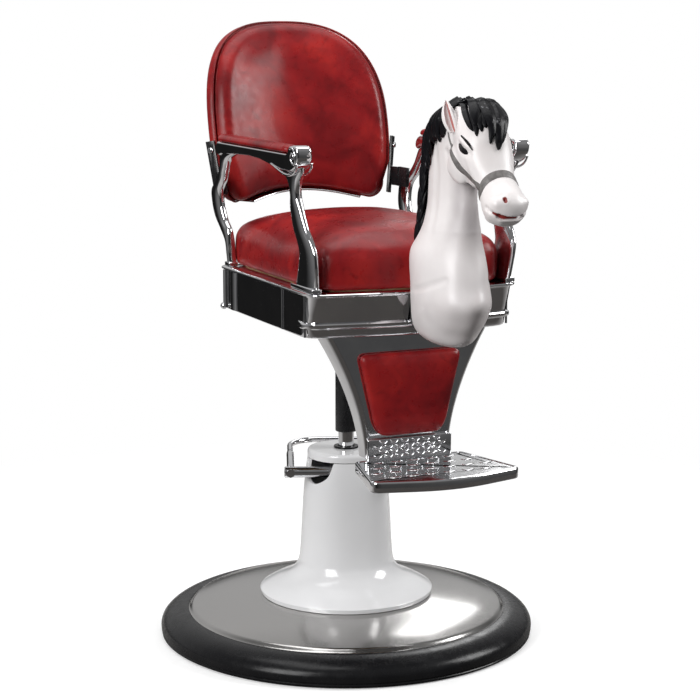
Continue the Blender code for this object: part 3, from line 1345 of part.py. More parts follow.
def neck_rings(wall=0.0):
    """Give the level sections of the chest and neck, from the keel up to the poll.

    A wall gives the hollow inside them, which opens at the flat back.
    """
    rise = POLL_RISE
    chest = (CHEST_CENTRE, CHEST_HALF_WIDTH, CHEST_DEPTH)
    neck = (NECK_CENTRE, NECK_HALF_WIDTH, NECK_DEPTH)
    plan = [
        (0.000, chest, 0.25, 0.30, 0.00),
        (0.012, chest, 0.45, 0.50, 0.00),
        (0.034, chest, 0.67, 0.69, -0.06),
        (HORSE_HOLLOW_FLOOR / rise, chest, 0.80, 0.80, -0.12),
        (0.104, chest, 0.90, 0.88, -0.06),
        (0.150, chest, 0.965, 0.93, 0.00),
        (0.202, chest, 1.00, 1.00, 0.055),
        (0.272, chest, 0.98, 0.955, 0.00),
        (0.350, chest, 0.96, 0.955, -0.065),
        (0.419, chest, 0.925, 0.91, -0.11),
        (0.465, chest, 0.815, 0.82, -0.05),
        (0.526, neck, 1.29, 1.05, -0.06),
        (0.581, neck, 1.12, 1.02, -0.02),
        (0.627, neck, 1.02, 1.00, 0.00),
        (0.676, neck, 0.97, 0.99, 0.00),
        (0.763, neck, 0.97, 1.00, 0.05),
        (0.850, neck, 0.99, 1.04, 0.24),
        (0.936, neck, 1.01, 0.97, 0.53),
        (1.009, neck, 0.97, 0.81, 0.77),
        (1.066, neck, 0.73, 0.48, 0.93),
    ]
    rings = []
    for share, (middle, width, depth), wide, deep, lean in plan:
        centre = middle + depth * lean
        reach = depth * deep - wall
        rear = centre - HORSE_REAR + wall / 2 if wall else reach
        rings.append(horse_ring(HORSE_BOTTOM + rise * share, centre, width * wide - wall, reach, rear))
    return rings


def head_point(along, up, across):
    """Place a point of the head: along it from the poll, up from its middle line, and across."""
    forward = POLL_FORWARD + along * math.cos(HEAD_DIP) + up * math.sin(HEAD_DIP)
    height = POLL_HEIGHT - along * math.sin(HEAD_DIP) + up * math.cos(HEAD_DIP)
    return (across, -forward, height)


def head_rings(count=24):
    """Give the sections across the head, from the back of the skull to the lips."""
    cheek = (CHEEK_HALF_WIDTH, CHEEK_DEPTH)
    muzzle = (MUZZLE_HALF_WIDTH, MUZZLE_DEPTH)
    plan = [
        (-0.125, cheek, 0.58, 0.38, 0.42),
        (0.000, cheek, 0.77, 0.50, 0.70),
        (0.155, cheek, 0.92, 0.59, 0.88),
        (0.296, cheek, 1.00, 0.54, 0.98),
        (0.407, cheek, 0.97, 0.44, 0.87),
        (0.525, cheek, 0.85, 0.37, 0.64),
        (0.648, muzzle, 0.88, 0.71, 0.98),
        (0.772, muzzle, 0.93, 0.81, 0.97),
        (0.895, muzzle, 1.00, 0.96, 1.00),
        (1.000, muzzle, 0.91, 0.87, 0.84),
        (1.080, muzzle, 0.46, 0.42, 0.40),
    ]
    rings = []
    for share, (half, depth), wide, above, below in plan:
        ring = []
        for index in range(count):
            angle = 2 * math.pi * index / count
            tall = depth * (above if math.cos(angle) > 0 else below)
            ring.append(head_point(share * HEAD_LENGTH, tall * math.cos(angle), half * wide * math.sin(angle)))
        rings.append(ring)
    return rings


def add_bulge(shape, centre, radii):
    """Add a swelling to the horse's shape."""
    made = bmesh.ops.create_uvsphere(shape, u_segments=16, v_segments=10, radius=1.0)
    bmesh.ops.scale(shape, vec=radii, verts=made["verts"])
    bmesh.ops.translate(shape, vec=centre, verts=made["verts"])


def add_ear(shape, side):
    """Add one ear, standing up and a little outwards."""
    made = bmesh.ops.create_cone(shape, cap_ends=True, segments=12, radius1=EAR_RADIUS, radius2=EAR_RADIUS / 4,
                                 depth=EAR_LENGTH)
    bmesh.ops.scale(shape, vec=(0.75, 1.0, 1.0), verts=made["verts"])
    tilt = Matrix.Rotation(side * math.radians(14.0), 3, "Y")
    bmesh.ops.rotate(shape, cent=(0.0, 0.0, 0.0), matrix=tilt, verts=made["verts"])
    base = Vector(head_point(-0.016, -0.012, side * CHEEK_HALF_WIDTH * 0.86))
    bmesh.ops.translate(shape, vec=base, verts=made["verts"])


def blend_shells(piece, voxel, keep, rounds):
    """Melt overlapping shells into one skin, smooth it and thin its facets."""
    melt = piece.modifiers.new("melt", "REMESH")
    melt.mode = "VOXEL"
    melt.voxel_size = voxel
    smooth = piece.modifiers.new("smooth", "SMOOTH")
    smooth.factor = 0.5
    smooth.iterations = rounds
    thin = piece.modifiers.new("thin", "DECIMATE")
    thin.ratio = keep
    thin.use_symmetry = False
    return settle(piece)


def build_horse(chair):
    """Build the hollow moulding of the horse, cut off flat behind the chest."""
    shape = bmesh.new()
    for rings in (neck_rings(), head_rings()):
        part = loft_mesh("horse_part", rings)
        shape.from_mesh(part)
        bpy.data.meshes.remove(part)
    for side in (-1.0, 1.0):
        half = CHEEK_HALF_WIDTH
        cheek = head_point(HEAD_LENGTH * 0.30, -CHEEK_DEPTH * 0.50, side * half * 0.70)
        add_bulge(shape, cheek, (0.012, 0.030, 0.030))
        brow = head_point(HEAD_LENGTH * 0.28, CHEEK_DEPTH * 0.30, side * half * 0.84)
        add_bulge(shape, brow, (0.009, 0.014, 0.011))
        nostril = head_point(HEAD_LENGTH * 0.93, MUZZLE_DEPTH * 0.40, side * MUZZLE_HALF_WIDTH * 0.54)
        add_bulge(shape, nostril, (0.012, 0.013, 0.012))
        add_ear(shape, side)
    add_bulge(shape, head_point(HEAD_LENGTH * 0.91, -MUZZLE_DEPTH * 0.84, 0.0), (0.020, 0.018, 0.012))
    body = add_piece("horse_body", mesh_from(shape, "horse_body"), "white_gelcoat", chair)
    body = blend_shells(body, HORSE_VOXEL, HORSE_KEEP, 6)

    low = (-0.3, -HORSE_REAR, HORSE_BOTTOM - 0.05)
    high = (0.3, 0.1, POLL_HEIGHT)
    cut(body, add_cutter("flat_back", box_mesh("flat_back", low, high), chair))
    core = add_cutter("horse_core", loft_mesh("horse_core", neck_rings(HORSE_WALL)[3:12]), chair)
    cut(body, core)
    body.modifiers.new("facets", "TRIANGULATE")
    return settle(body)


def hair_lock(shape, points, widths):
    """Add a lock of hair: a tapered oval loft along a smooth path."""
    path = smooth_path(points, 3)
    rings = []
    for index, point in enumerate(path):
        before = path[max(index - 1, 0)]
        after = path[min(index + 1, len(path) - 1)]
        along = (after - before).normalized()
        across = along.cross(Vector((1.0, 0.0, 0.0))).normalized()
        thick = along.cross(across).normalized()
        share = index / (len(path) - 1)
        swell = math.sin(math.pi * min(0.12 + 0.84 * share, 1.0)) ** 0.6
        ring = []
        for step in range(10):
            angle = 2 * math.pi * step / 10
            wide = across * widths[0] * swell * math.cos(angle)
            deep = thick * widths[1] * swell * math.sin(angle)
            ring.append(point + wide + deep)
        rings.append(ring)
    part = loft_mesh("lock", rings)
    shape.from_mesh(part)
    bpy.data.meshes.remove(part)


def crest_point(share, out, across):
    """Place a point along the crest from the poll down to the withers, out from the neck's rear."""
    top = POLL_HEIGHT + EAR_LENGTH / 2
    height = top - (top - HORSE_BOTTOM) * 0.62 * share
    bend = CREST_BEND * max(1.0 - share / 0.42, 0.0) ** 1.6
    forward = NECK_CENTRE - NECK_DEPTH - CREST_SLOPE * share * share + bend - out
    return Vector((across, -forward, height))


def skin_copy(piece, name, gap):
    """Copy a piece's skin, moved outwards by a gap, as a cutter."""
    mesh = piece.data.copy()
    normals = [vertex.normal.copy() for vertex in mesh.vertices]
    for vertex, normal in zip(mesh.vertices, normals):
        vertex.co += normal * gap
    cutter = add_cutter(name, mesh, piece.parent)
    return cutter


def build_hair(body, chair):
    """Build the mane along the crest and the forelock between the ears."""
    skins = [skin_copy(body, f"horse_skin_{number}", gap) for number, gap in enumerate((HAIR_GAP, SEAT_GAP))]
    shape = bmesh.new()
    ridge = [crest_point(share, 0.0, 0.0) for share in (0.0, 0.15, 0.3, 0.45, 0.6, 0.75, 0.9, 1.0)]
    hair_lock(shape, ridge, (MANE_RIDGE_HALF_WIDTH, MANE_RIDGE_HALF_DEPTH))
    for index in range(9):
        start = 0.02 + 0.108 * index
        for side in (-1.0, 1.0):
            sway = MANE_SWAY + MANE_SWAY_STEP * (index % 3)
            top = crest_point(start, 0.0, side * MANE_PART)
            middle = crest_point(start + 0.09, sway * 0.4 - MANE_PART, side * (MANE_HANG + sway * 0.3))
            tip = crest_point(min(start + 0.20, 1.06), sway - MANE_TUCK, side * (MANE_TIP + sway * 0.3))
            hair_lock(shape, [top, middle, tip], (MANE_LOCK_HALF_WIDTH, MANE_LOCK_HALF_DEPTH))
    mane = add_piece("horse_mane", mesh_from(shape, "horse_mane"), "black_gelcoat", chair)
    mane = blend_shells(mane, HAIR_VOXEL, HAIR_KEEP, 2)
    for skin in skins:
        cut(mane, skin)
    keep_largest(settle(mane))

    shape = bmesh.new()
    for index in range(5):
        across = lerp(-FORELOCK_RIGHT, FORELOCK_LEFT, index / 4)
        sway = FORELOCK_SWAY * ((index % 2) * 2 - 1)
        top = Vector(head_point(-FORELOCK_START, FORELOCK_ROOT_LIFT, across * 0.6))
        middle = Vector(head_point(FORELOCK_LENGTH * 0.074, FORELOCK_LIFT, across + sway * 0.4))
        tip = Vector(head_point(FORELOCK_LENGTH + sway, FORELOCK_TIP_LIFT, across * 1.05 + sway))
        hair_lock(shape, [top, middle, tip], (FORELOCK_HALF_WIDTH, FORELOCK_HALF_WIDTH))
    lock = add_piece("horse_forelock", mesh_from(shape, "horse_forelock"), "black_gelcoat", chair)
    lock = blend_shells(lock, HAIR_VOXEL, HAIR_KEEP, 2)
    for skin in skins:
        cut(lock, skin)
    keep_largest(settle(lock))


def keep_largest(piece):
    """Drop the crumbs that a cut leaves beside a piece's main body."""
    shape = bmesh.new()
    shape.from_mesh(piece.data)
    left = set(shape.verts)
    islands = []
    while left:
        island = {left.pop()}
        edge = list(island)
        while edge:
            vertex = edge.pop()
            for link in vertex.link_edges:
                other = link.other_vert(vertex)
                if other in left:
                    left.remove(other)
                    island.add(other)
                    edge.append(other)
        islands.append(island)
    largest = max(islands, key=len)
    crumbs = [vertex for island in islands if island is not largest for vertex in island]
    bmesh.ops.delete(shape, geom=crumbs, context="VERTS")
    shape.to_mesh(piece.data)
    shape.free()
    return piece


def build_horse_mount(frame, chair):
    """Build the block between the frame's sloping front and the horse, with its bolts."""
    low = (-MOUNT_HALF_WIDTH, -HORSE_REAR + SEAT_GAP, MOUNT_BOTTOM)
    high = (MOUNT_HALF_WIDTH, -CUSHION_FRONT, MOUNT_TOP)
    mount = add_piece("horse_mount", box_mesh("horse_mount", low, high), "chrome", chair)
    levels = [FRAME_BOTTOM - 0.01, FRAME_TOP + 0.01]
    rings = [frame_ring(FRAME_BEAD + SEAT_GAP, height) for height in levels]
    cut(mount, add_cutter("frame_room", loft_mesh("frame_room", rings), chair))
    mount = settle(mount)
    lower = HORSE_BOTTOM + HORSE_HOLLOW_FLOOR + MOUNT_BOLT[0] + HORSE_BOLT_ROOM
    for number, height in ((1, lower), (2, MOUNT_TOP - MOUNT_BOLT_DROP)):
        seat = (0.0, -HORSE_REAR + SEAT_GAP, height)
        bolt(f"mount_bolt_{number}", MOUNT_BOLT, seat, (0.0, -1.0, 0.0), [mount, frame], chair)


def build():
    """Build the whole chair."""
    make_finishes()
    yaw = add_axis("pedestal_yaw", turn=PUMP_YAW)
    plate = build_floor_base()
    build_pedestal(yaw)
    build_pump(plate, yaw)
    build_pedal(yaw)
    build_plunger(yaw)
    lift = add_axis("lift_axis")
    build_lift(lift)
    chair = add_axis("swivel_axis", parent=lift)
    build_swivel(chair)
    frame = build_seat_frame(chair)
    build_seat_floor(chair)
    build_seat(chair)
    shell = build_back(chair)
    for side, name in ((-1.0, "right"), (1.0, "left")):
        build_arm(side, name, frame, chair)
        build_back_bracket(side, name, shell, chair)
    panel = build_leg_panel(frame, chair)
    build_calf_pad(chair)
    build_footrest(panel, chair)
    body = build_horse(chair)
    build_hair(body, chair)
    build_horse_mount(frame, chair)


clear_scene()
PARTS = new_collection("kids_horse_barber_chair")
CUTTERS = new_collection("cutters")
build()
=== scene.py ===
"""Looks of a children's barber chair with a horse at its front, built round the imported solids."""
import json
import logging
import math
from dataclasses import dataclass
from enum import Enum
from typing import Callable, Iterable, Sequence

import bmesh
import bpy
import numpy
from mathutils import Matrix, Vector, kdtree, noise
from mathutils.bvhtree import BVHTree

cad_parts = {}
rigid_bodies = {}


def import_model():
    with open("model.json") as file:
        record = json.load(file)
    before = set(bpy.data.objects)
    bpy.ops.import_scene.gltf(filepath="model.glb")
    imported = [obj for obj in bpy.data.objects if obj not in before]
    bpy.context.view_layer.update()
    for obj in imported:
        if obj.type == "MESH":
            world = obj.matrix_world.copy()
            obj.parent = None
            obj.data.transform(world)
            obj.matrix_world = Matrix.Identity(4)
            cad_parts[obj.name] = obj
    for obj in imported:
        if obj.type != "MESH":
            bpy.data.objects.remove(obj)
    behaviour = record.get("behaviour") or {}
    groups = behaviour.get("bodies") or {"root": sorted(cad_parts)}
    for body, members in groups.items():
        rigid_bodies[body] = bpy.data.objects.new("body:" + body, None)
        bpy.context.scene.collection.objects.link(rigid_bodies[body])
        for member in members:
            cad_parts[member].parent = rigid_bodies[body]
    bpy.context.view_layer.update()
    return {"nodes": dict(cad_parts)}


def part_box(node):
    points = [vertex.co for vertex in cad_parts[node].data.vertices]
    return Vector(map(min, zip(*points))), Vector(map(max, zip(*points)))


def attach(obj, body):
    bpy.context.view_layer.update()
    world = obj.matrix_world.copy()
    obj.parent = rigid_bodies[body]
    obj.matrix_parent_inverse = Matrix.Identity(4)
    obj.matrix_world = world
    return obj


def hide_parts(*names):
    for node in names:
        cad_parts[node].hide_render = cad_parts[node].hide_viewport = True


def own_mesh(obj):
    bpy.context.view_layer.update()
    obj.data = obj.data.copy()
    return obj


LOG = logging.getLogger("horse_chair")
Colour = tuple[float, float, float]
Points = Sequence[Vector]
Socket = bpy.types.NodeSocket
Tree = bpy.types.NodeTree
Material = bpy.types.Material
Mesh = bpy.types.Mesh
Piece = bpy.types.Object
Shape = bmesh.types.BMesh
Inputs = dict[str | int, Socket | float | tuple[float, ...]]
Section = tuple[float, float] | Callable[[float], tuple[float, float]]
Upright = Vector | Callable[[Vector], Vector]
GAP = 0.0003
PLAY = 0.0006
UP = Vector((0.0, 0.0, 1.0))


class Body(Enum):
    """Moving bodies of the chair that pieces ride on."""

    PEDESTAL = "pedestal"
    PEDAL = "pedal"
    PLUNGER = "plunger"
    RAM = "ram"
    CHAIR = "chair"


class Look(Enum):
    """Finishes of the chair, each with the record's slot that it belongs to."""

    LEATHER = ("leather", "red_leather")
    THREAD = ("thread", "red_leather")
    CHROME = ("chrome", "chrome")
    TREAD = ("tread_chrome", "chrome")
    BRUSHED = ("brushed_dome", "brushed_steel")
    ENAMEL = ("enamel", "white_enamel")
    RUBBER = ("rubber", "black_rubber")
    PAINT = ("satin_paint", "black_paint")
    GELCOAT = ("horse_gelcoat", "white_gelcoat")
    STRAP = ("strap_paint", "white_gelcoat")
    ROUGE = ("rouge_paint", "white_gelcoat")
    EYE = ("eye_paint", "black_gelcoat")
    HAIR = ("hair_gelcoat", "black_gelcoat")
    STEEL = ("machined_steel", "plain_steel")
    IRON = ("cast_iron", "cast_iron")
    BRONZE = ("bronze", "bronze")
    SPRING = ("spring_steel", "spring_steel")
    PLYWOOD = ("plywood", "plywood")

    @property
    def title(self) -> str:
        """Name of the material."""
        return self.value[0]

    @property
    def slot(self) -> str:
        """Name of the record's material slot."""
        return self.value[1]


class Side(Enum):
    """The two sides of the chair, as the sitter names them."""

    RIGHT = -1.0
    LEFT = 1.0

    @property
    def label(self) -> str:
        """Side's name as the solids use it."""
        return self.name.lower()

    @property
    def outward(self) -> Vector:
        """Direction that the side faces."""
        return Vector((self.value, 0.0, 0.0))


def add_node(tree: Tree, kind: str, output: str | int, inputs: Inputs, **settings: str) -> Socket:
    """Add a node to a material or to the world.

    Args:
        tree: the nodes.
        kind: type of the node.
        output: the output that is used.
        inputs: values of its inputs, or outputs that lead into them.
        settings: its other settings.

    Returns:
        The output.
    """
    node = tree.nodes.new(f"ShaderNode{kind}")
    for key, value in settings.items():
        setattr(node, key, value)
    for key, value in inputs.items():
        if isinstance(value, Socket):
            tree.links.new(value, node.inputs[key])
        else:
            node.inputs[key].default_value = value
    return node.outputs[output]


def show_camera(tree: Tree, mirrored: Socket, seen: Socket, target: bpy.types.Node) -> None:
    """Show the camera one shader, and let everything else see another.

    Args:
        tree: the nodes.
        mirrored: shader that lights and mirrors.
        seen: shader that the camera sees.
        target: the output node.
    """
    direct = add_node(tree, "LightPath", "Is Camera Ray", {})
    blend = add_node(tree, "MixShader", "Shader", {"Fac": direct, 1: mirrored, 2: seen})
    tree.links.new(blend, target.inputs["Surface"])


class Recipe:
    """Node layout of one material, with the steps that the finishes share."""

    def __init__(self, title: str) -> None:
        """Start a material with a Principled shader.

        Args:
            title: name of the material.
        """
        self.look = bpy.data.materials.new(title)
        self.look.use_nodes = True
        self.tree = self.look.node_tree
        self.shader = self.tree.nodes["Principled BSDF"]
        self.coords = self.tree.nodes.new("ShaderNodeTexCoord")

    def constant(self, **values: float | Colour) -> None:
        """Set shader sockets to values that are the same all over.

        Args:
            values: socket names in lower case with underscores, and their values.
        """
        names = {key.name.lower().replace(" ", "_"): key for key in self.shader.inputs}
        for key, value in values.items():
            names[key].default_value = (*value, 1.0) if isinstance(value, tuple) else value

    def feed(self, source: Socket, socket: str) -> None:
        """Lead an output into one of the shader's sockets."""
        self.tree.links.new(source, self.shader.inputs[socket])

    def node(self, kind: str, output: str | int, inputs: Inputs, **settings: str) -> Socket:
        """Add a node to the material and give its output."""
        return add_node(self.tree, kind, output, inputs, **settings)

    def place(self, scale: Colour = (1.0, 1.0, 1.0)) -> Socket:
        """Give object coordinates, stretched along each axis."""
        return self.node("Mapping", "Vector", {"Vector": self.coords.outputs["Object"], "Scale": scale})

    def noise(self, place: Socket, scale: float, detail: float = 3.0, warp: float = 0.0) -> Socket:
        """Give cloudy noise: clouds to the metre, number of finer layers, and how far they are drawn out."""
        inputs = {"Vector": place, "Scale": scale, "Detail": detail, "Distortion": warp}
        return self.node("TexNoise", "Fac", inputs)

    def cells(self, place: Socket, scale: float) -> Socket:
        """Give the distance to the nearest of many scattered points, so many to the metre."""
        return self.node("TexVoronoi", "Distance", {"Vector": place, "Scale": scale})

    def radius(self) -> Socket:
        """Give the distance from the chair's upright axis."""
        place = self.place((1.0, 1.0, 0.0))
        return self.node("VectorMath", "Value", {0: place}, operation="LENGTH")

    def attribute(self, title: str) -> Socket:
        """Give a value that is kept on the mesh's points."""
        return self.node("Attribute", "Fac", {}, attribute_name=title)

    def ramp(self, factor: Socket, stops: Sequence[tuple[float, Colour]]) -> Socket:
        """Turn a value into colours.

        Args:
            factor: value from 0 to 1.
            stops: places along the value and their colours.

        Returns:
            The colour.
        """
        node = self.tree.nodes.new("ShaderNodeValToRGB")
        bar = node.color_ramp
        while len(bar.elements) < len(stops):
            bar.elements.new(0.5)
        for element, (place, colour) in zip(bar.elements, stops):
            element.position = place
            element.color = (*colour, 1.0)
        self.tree.links.new(factor, node.inputs["Fac"])
        return node.outputs["Color"]

    def span(self, factor: Socket, low: float, high: float, start: float = 0.3, end: float = 0.7) -> Socket:
        """Stretch the part of a value's range from start to end to the range from low to high."""
        inputs = {"Value": factor, "From Min": start, "From Max": end, "To Min": low, "To Max": high}
        return self.node("MapRange", "Result", inputs)

    def mix(self, factor: Socket, first: Socket, second: Colour) -> Socket:
        """Mix a share of a fixed colour into another colour."""
        return self.node("Mix", 2, {0: factor, 6: first, 7: (*second, 1.0)}, data_type="RGBA")

    def relief(self, height: Socket, strength: float, depth: float,
               under: Socket | None = None) -> Socket:
        """Turn a value into fine relief.

        Args:
            height: the value.
            strength: share of the relief that shows.
            depth: height of the relief in metres.
            under: coarser relief below it.

        Returns:
            The bent normal.
        """
        inputs = {"Height": height, "Strength": strength, "Distance": depth}
        if under:
            inputs["Normal"] = under
        return self.node("Bump", "Normal", inputs)


class Finish:
    """Look that knows how to lay out its own nodes."""

    def lay(self, recipe: Recipe) -> None:
        """Lay out the nodes."""
        raise NotImplementedError

    def make(self, title: str) -> Material:
        """Make the material.

        Args:
            title: name of the material.

        Returns:
            The material.
        """
        recipe = Recipe(title)
        self.lay(recipe)
        return recipe.look


@dataclass(frozen=True)
class Leather(Finish):
    """Glazed red leather, mottled darker like a worn barber's seat."""

    deep: Colour = (0.120, 0.006, 0.008)
    main: Colour = (0.235, 0.010, 0.012)
    bright: Colour = (0.350, 0.018, 0.016)
    grain: float = 760.0

    def lay(self, recipe: Recipe) -> None:
        """Lay out the nodes.

        Args:
            recipe: the material's nodes.
        """
        place = recipe.place()
        cloud = recipe.noise(place, 13.0, 4.0, 0.5)
        body = recipe.ramp(cloud, [(0.30, self.deep), (0.50, self.main), (0.72, self.bright)])
        marble = recipe.span(recipe.noise(place, 46.0, 5.0, 1.1), 0.0, 0.55, 0.52, 0.74)
        recipe.feed(recipe.mix(marble, body, self.deep), "Base Color")
        recipe.feed(recipe.span(recipe.noise(place, 70.0, 4.0), 0.25, 0.38), "Roughness")
        creases = recipe.relief(recipe.noise(place, 55.0, 4.0, 0.8), 0.12, 0.0012)
        pebbles = recipe.relief(recipe.cells(place, self.grain), 0.16, 0.0005, creases)
        recipe.feed(pebbles, "Normal")
        recipe.constant(specular_ior_level=0.22, coat_weight=0.02, coat_roughness=0.2)


@dataclass(frozen=True)
class Plating(Finish):
    """Bright plated metal with slight waves and a thin haze."""

    colour: Colour = (0.80, 0.80, 0.81)
    dim: Colour = (0.70, 0.70, 0.72)
    smooth: float = 0.035
    hazy: float = 0.085
    wave: float = 0.05
    wave_scale: float = 26.0

    def lay(self, recipe: Recipe) -> None:
        """Lay out the nodes.

        Args:
            recipe: the material's nodes.
        """
        place = recipe.place()
        haze = recipe.noise(place, 18.0, 4.0, 0.3)
        recipe.feed(recipe.ramp(haze, [(0.35, self.dim), (0.62, self.colour)]), "Base Color")
        recipe.feed(recipe.span(recipe.noise(place, 42.0, 5.0), self.smooth, self.hazy), "Roughness")
        recipe.feed(recipe.relief(recipe.noise(place, self.wave_scale, 2.0), self.wave, 0.002), "Normal")
        recipe.constant(metallic=1.0)


@dataclass(frozen=True)
class BrushedDome(Finish):
    """Steel brushed in rings round the chair's axis."""

    colour: Colour = (0.53, 0.52, 0.51)
    dull: Colour = (0.41, 0.40, 0.39)

    def lay(self, recipe: Recipe) -> None:
        """Lay out the nodes.

        Args:
            recipe: the material's nodes.
        """
        inputs = {"W": recipe.radius(), "Scale": 2600.0, "Detail": 4.0}
        lines = recipe.node("TexNoise", "Fac", inputs, noise_dimensions="1D")
        recipe.feed(recipe.ramp(lines, [(0.35, self.dull), (0.60, self.colour)]), "Base Color")
        recipe.feed(recipe.span(lines, 0.13, 0.21), "Roughness")
        recipe.feed(recipe.relief(lines, 0.04, 0.0001), "Normal")
        recipe.feed(recipe.node("Tangent", "Tangent", {}, direction_type="RADIAL", axis="Z"), "Tangent")
        recipe.constant(metallic=1.0, anisotropic=0.60, anisotropic_rotation=0.25)


@dataclass(frozen=True)
class Coating(Finish):
    """Paint, enamel, rubber or bare metal with cloudy tone and fine relief."""

    light: Colour
    dark: Colour
    gloss: float
    matt: float
    tone_scale: float = 12.0
    relief_scale: float = 300.0
    relief: float = 0.05
    metal: float = 0.0
    coat: float = 0.0
    shine: float = 0.5

    def lay(self, recipe: Recipe) -> None:
        """Lay out the nodes.

        Args:
            recipe: the material's nodes.
        """
        place = recipe.place()
        tone = recipe.noise(place, self.tone_scale, 5.0, 0.4)
        recipe.feed(recipe.ramp(tone, [(0.32, self.dark), (0.64, self.light)]), "Base Color")
        recipe.feed(recipe.span(recipe.noise(place, self.tone_scale * 4, 4.0), self.gloss, self.matt),
                    "Roughness")
        recipe.feed(recipe.relief(recipe.noise(place, self.relief_scale, 3.0), self.relief, 0.0008), "Normal")
        recipe.constant(metallic=self.metal, coat_weight=self.coat, coat_roughness=0.08,
                        specular_ior_level=self.shine)


@dataclass(frozen=True)
class HorseSkin(Finish):
    """Warm white gelcoat with painted pinkish grey shade where shade falls, and red in nostrils and mouth."""

    white: Colour = (0.890, 0.850, 0.845)
    cream: Colour = (0.850, 0.800, 0.792)
    # pinkish grey of the painted shade in hollows, underneath and down the throat
    painted_shade: Colour = (0.420, 0.380, 0.390)
    rouge: Colour = (0.240, 0.022, 0.018)

    def lay(self, recipe: Recipe) -> None:
        """Lay out the nodes.

        Args:
            recipe: the material's nodes.
        """
        place = recipe.place()
        skin = recipe.ramp(recipe.noise(place, 14.0, 4.0, 0.4), [(0.35, self.cream), (0.60, self.white)])
        # painted shade: the pinkish grey is mixed in by the mesh's painted_shade value and stands in for
        # shadow
        shaded = recipe.mix(recipe.span(recipe.attribute("painted_shade"), 0.0, 0.85, 0.0, 1.0), skin, self.painted_shade)
        painted = recipe.mix(recipe.span(recipe.attribute("rouge"), 0.0, 1.0, 0.35, 0.65), shaded, self.rouge)
        recipe.feed(painted, "Base Color")
        recipe.feed(recipe.span(recipe.noise(place, 60.0, 4.0), 0.34, 0.46), "Roughness")
        recipe.feed(recipe.relief(recipe.noise(place, 90.0, 3.0), 0.06, 0.0012), "Normal")
        recipe.constant(coat_weight=0.10, coat_roughness=0.16)


@dataclass(frozen=True)
class MouldedHair(Finish):
    """Glossy black moulded hair with dry-brushed grey strands."""

    black: Colour = (0.006, 0.006, 0.008)
    grey: Colour = (0.220, 0.220, 0.230)

    def lay(self, recipe: Recipe) -> None:
        """Lay out the nodes.

        Args:
            recipe: the material's nodes.
        """
        place = recipe.place((1.0, 1.0, 0.22))
        strands = recipe.noise(place, 260.0, 3.0, 0.2)
        patches = recipe.noise(recipe.place(), 55.0, 2.0)
        streak = recipe.span(strands, 0.0, 1.0, 0.58, 0.68)
        dusted = recipe.ramp(patches, [(0.54, (0.0, 0.0, 0.0)), (0.64, (0.8, 0.8, 0.8))])
        both = recipe.node("Math", "Value", {0: streak, 1: dusted}, operation="MULTIPLY")
        base = recipe.ramp(strands, [(0.30, (0.003, 0.003, 0.004)), (0.70, self.black)])
        recipe.feed(recipe.mix(both, base, self.grey), "Base Color")
        recipe.feed(recipe.span(strands, 0.30, 0.45), "Roughness")
        recipe.feed(recipe.relief(strands, 0.30, 0.0012), "Normal")
        recipe.constant(specular_ior_level=0.14)


def finishes() -> dict[Look, Material]:
    """Make every finish of the chair.

    Returns:
        The materials by look.
    """
    makers = {
        Look.LEATHER: Leather(),
        Look.THREAD: Coating((0.34, 0.05, 0.045), (0.20, 0.02, 0.02), 0.45, 0.60, 300.0, 1500.0, 0.3),
        Look.CHROME: Plating(),
        Look.TREAD: Plating(smooth=0.06, hazy=0.14, wave=0.08),
        Look.BRUSHED: BrushedDome(),
        Look.ENAMEL: Coating((0.86, 0.86, 0.87), (0.80, 0.80, 0.81), 0.14, 0.22, 5.0, 60.0, 0.03, 0.0, 0.5),
        Look.RUBBER: Coating((0.010, 0.010, 0.011), (0.006, 0.006, 0.007), 0.20, 0.32, 20.0, 420.0, 0.03,
                             shine=0.22),
        Look.PAINT: Coating((0.012, 0.012, 0.013), (0.006, 0.006, 0.007), 0.22, 0.34, 30.0, 380.0, 0.06),
        Look.GELCOAT: HorseSkin(),
        Look.STRAP: Coating((0.200, 0.188, 0.182), (0.120, 0.112, 0.108), 0.34, 0.50, 160.0, 480.0, 0.25),
        Look.ROUGE: Coating((0.420, 0.060, 0.045), (0.240, 0.022, 0.018), 0.26, 0.40, 90.0, 300.0, 0.10),
        Look.EYE: Coating((0.006, 0.005, 0.006), (0.002, 0.002, 0.002), 0.08, 0.16, 90.0, 200.0, 0.02, 0.0,
                          0.15, 0.3),
        Look.HAIR: MouldedHair(),
        Look.STEEL: Coating((0.50, 0.50, 0.51), (0.36, 0.36, 0.37), 0.28, 0.44, 60.0, 500.0, 0.10, 1.0),
        Look.IRON: Coating((0.050, 0.050, 0.052), (0.028, 0.028, 0.030), 0.50, 0.70, 40.0, 260.0, 0.35, 0.4),
        Look.BRONZE: Coating((0.52, 0.33, 0.14), (0.38, 0.23, 0.09), 0.26, 0.42, 60.0, 500.0, 0.08, 1.0),
        Look.SPRING: Coating((0.34, 0.34, 0.35), (0.22, 0.22, 0.23), 0.28, 0.42, 120.0, 600.0, 0.08, 1.0),
        Look.PLYWOOD: Coating((0.46, 0.30, 0.16), (0.30, 0.18, 0.09), 0.55, 0.75, 26.0, 240.0, 0.25),
    }
    return {look: maker.make(look.title) for look, maker in makers.items()}


def place_mesh(title: str, shape: Shape) -> Piece:
    """Make an object from a shape.

    Args:
        title: name of the object.
        shape: the shape, which is used up.

    Returns:
        The object.
    """
    mesh = bpy.data.meshes.new(title)
    shape.to_mesh(mesh)
    shape.free()
    piece = bpy.data.objects.new(title, mesh)
    bpy.context.scene.collection.objects.link(piece)
    return piece


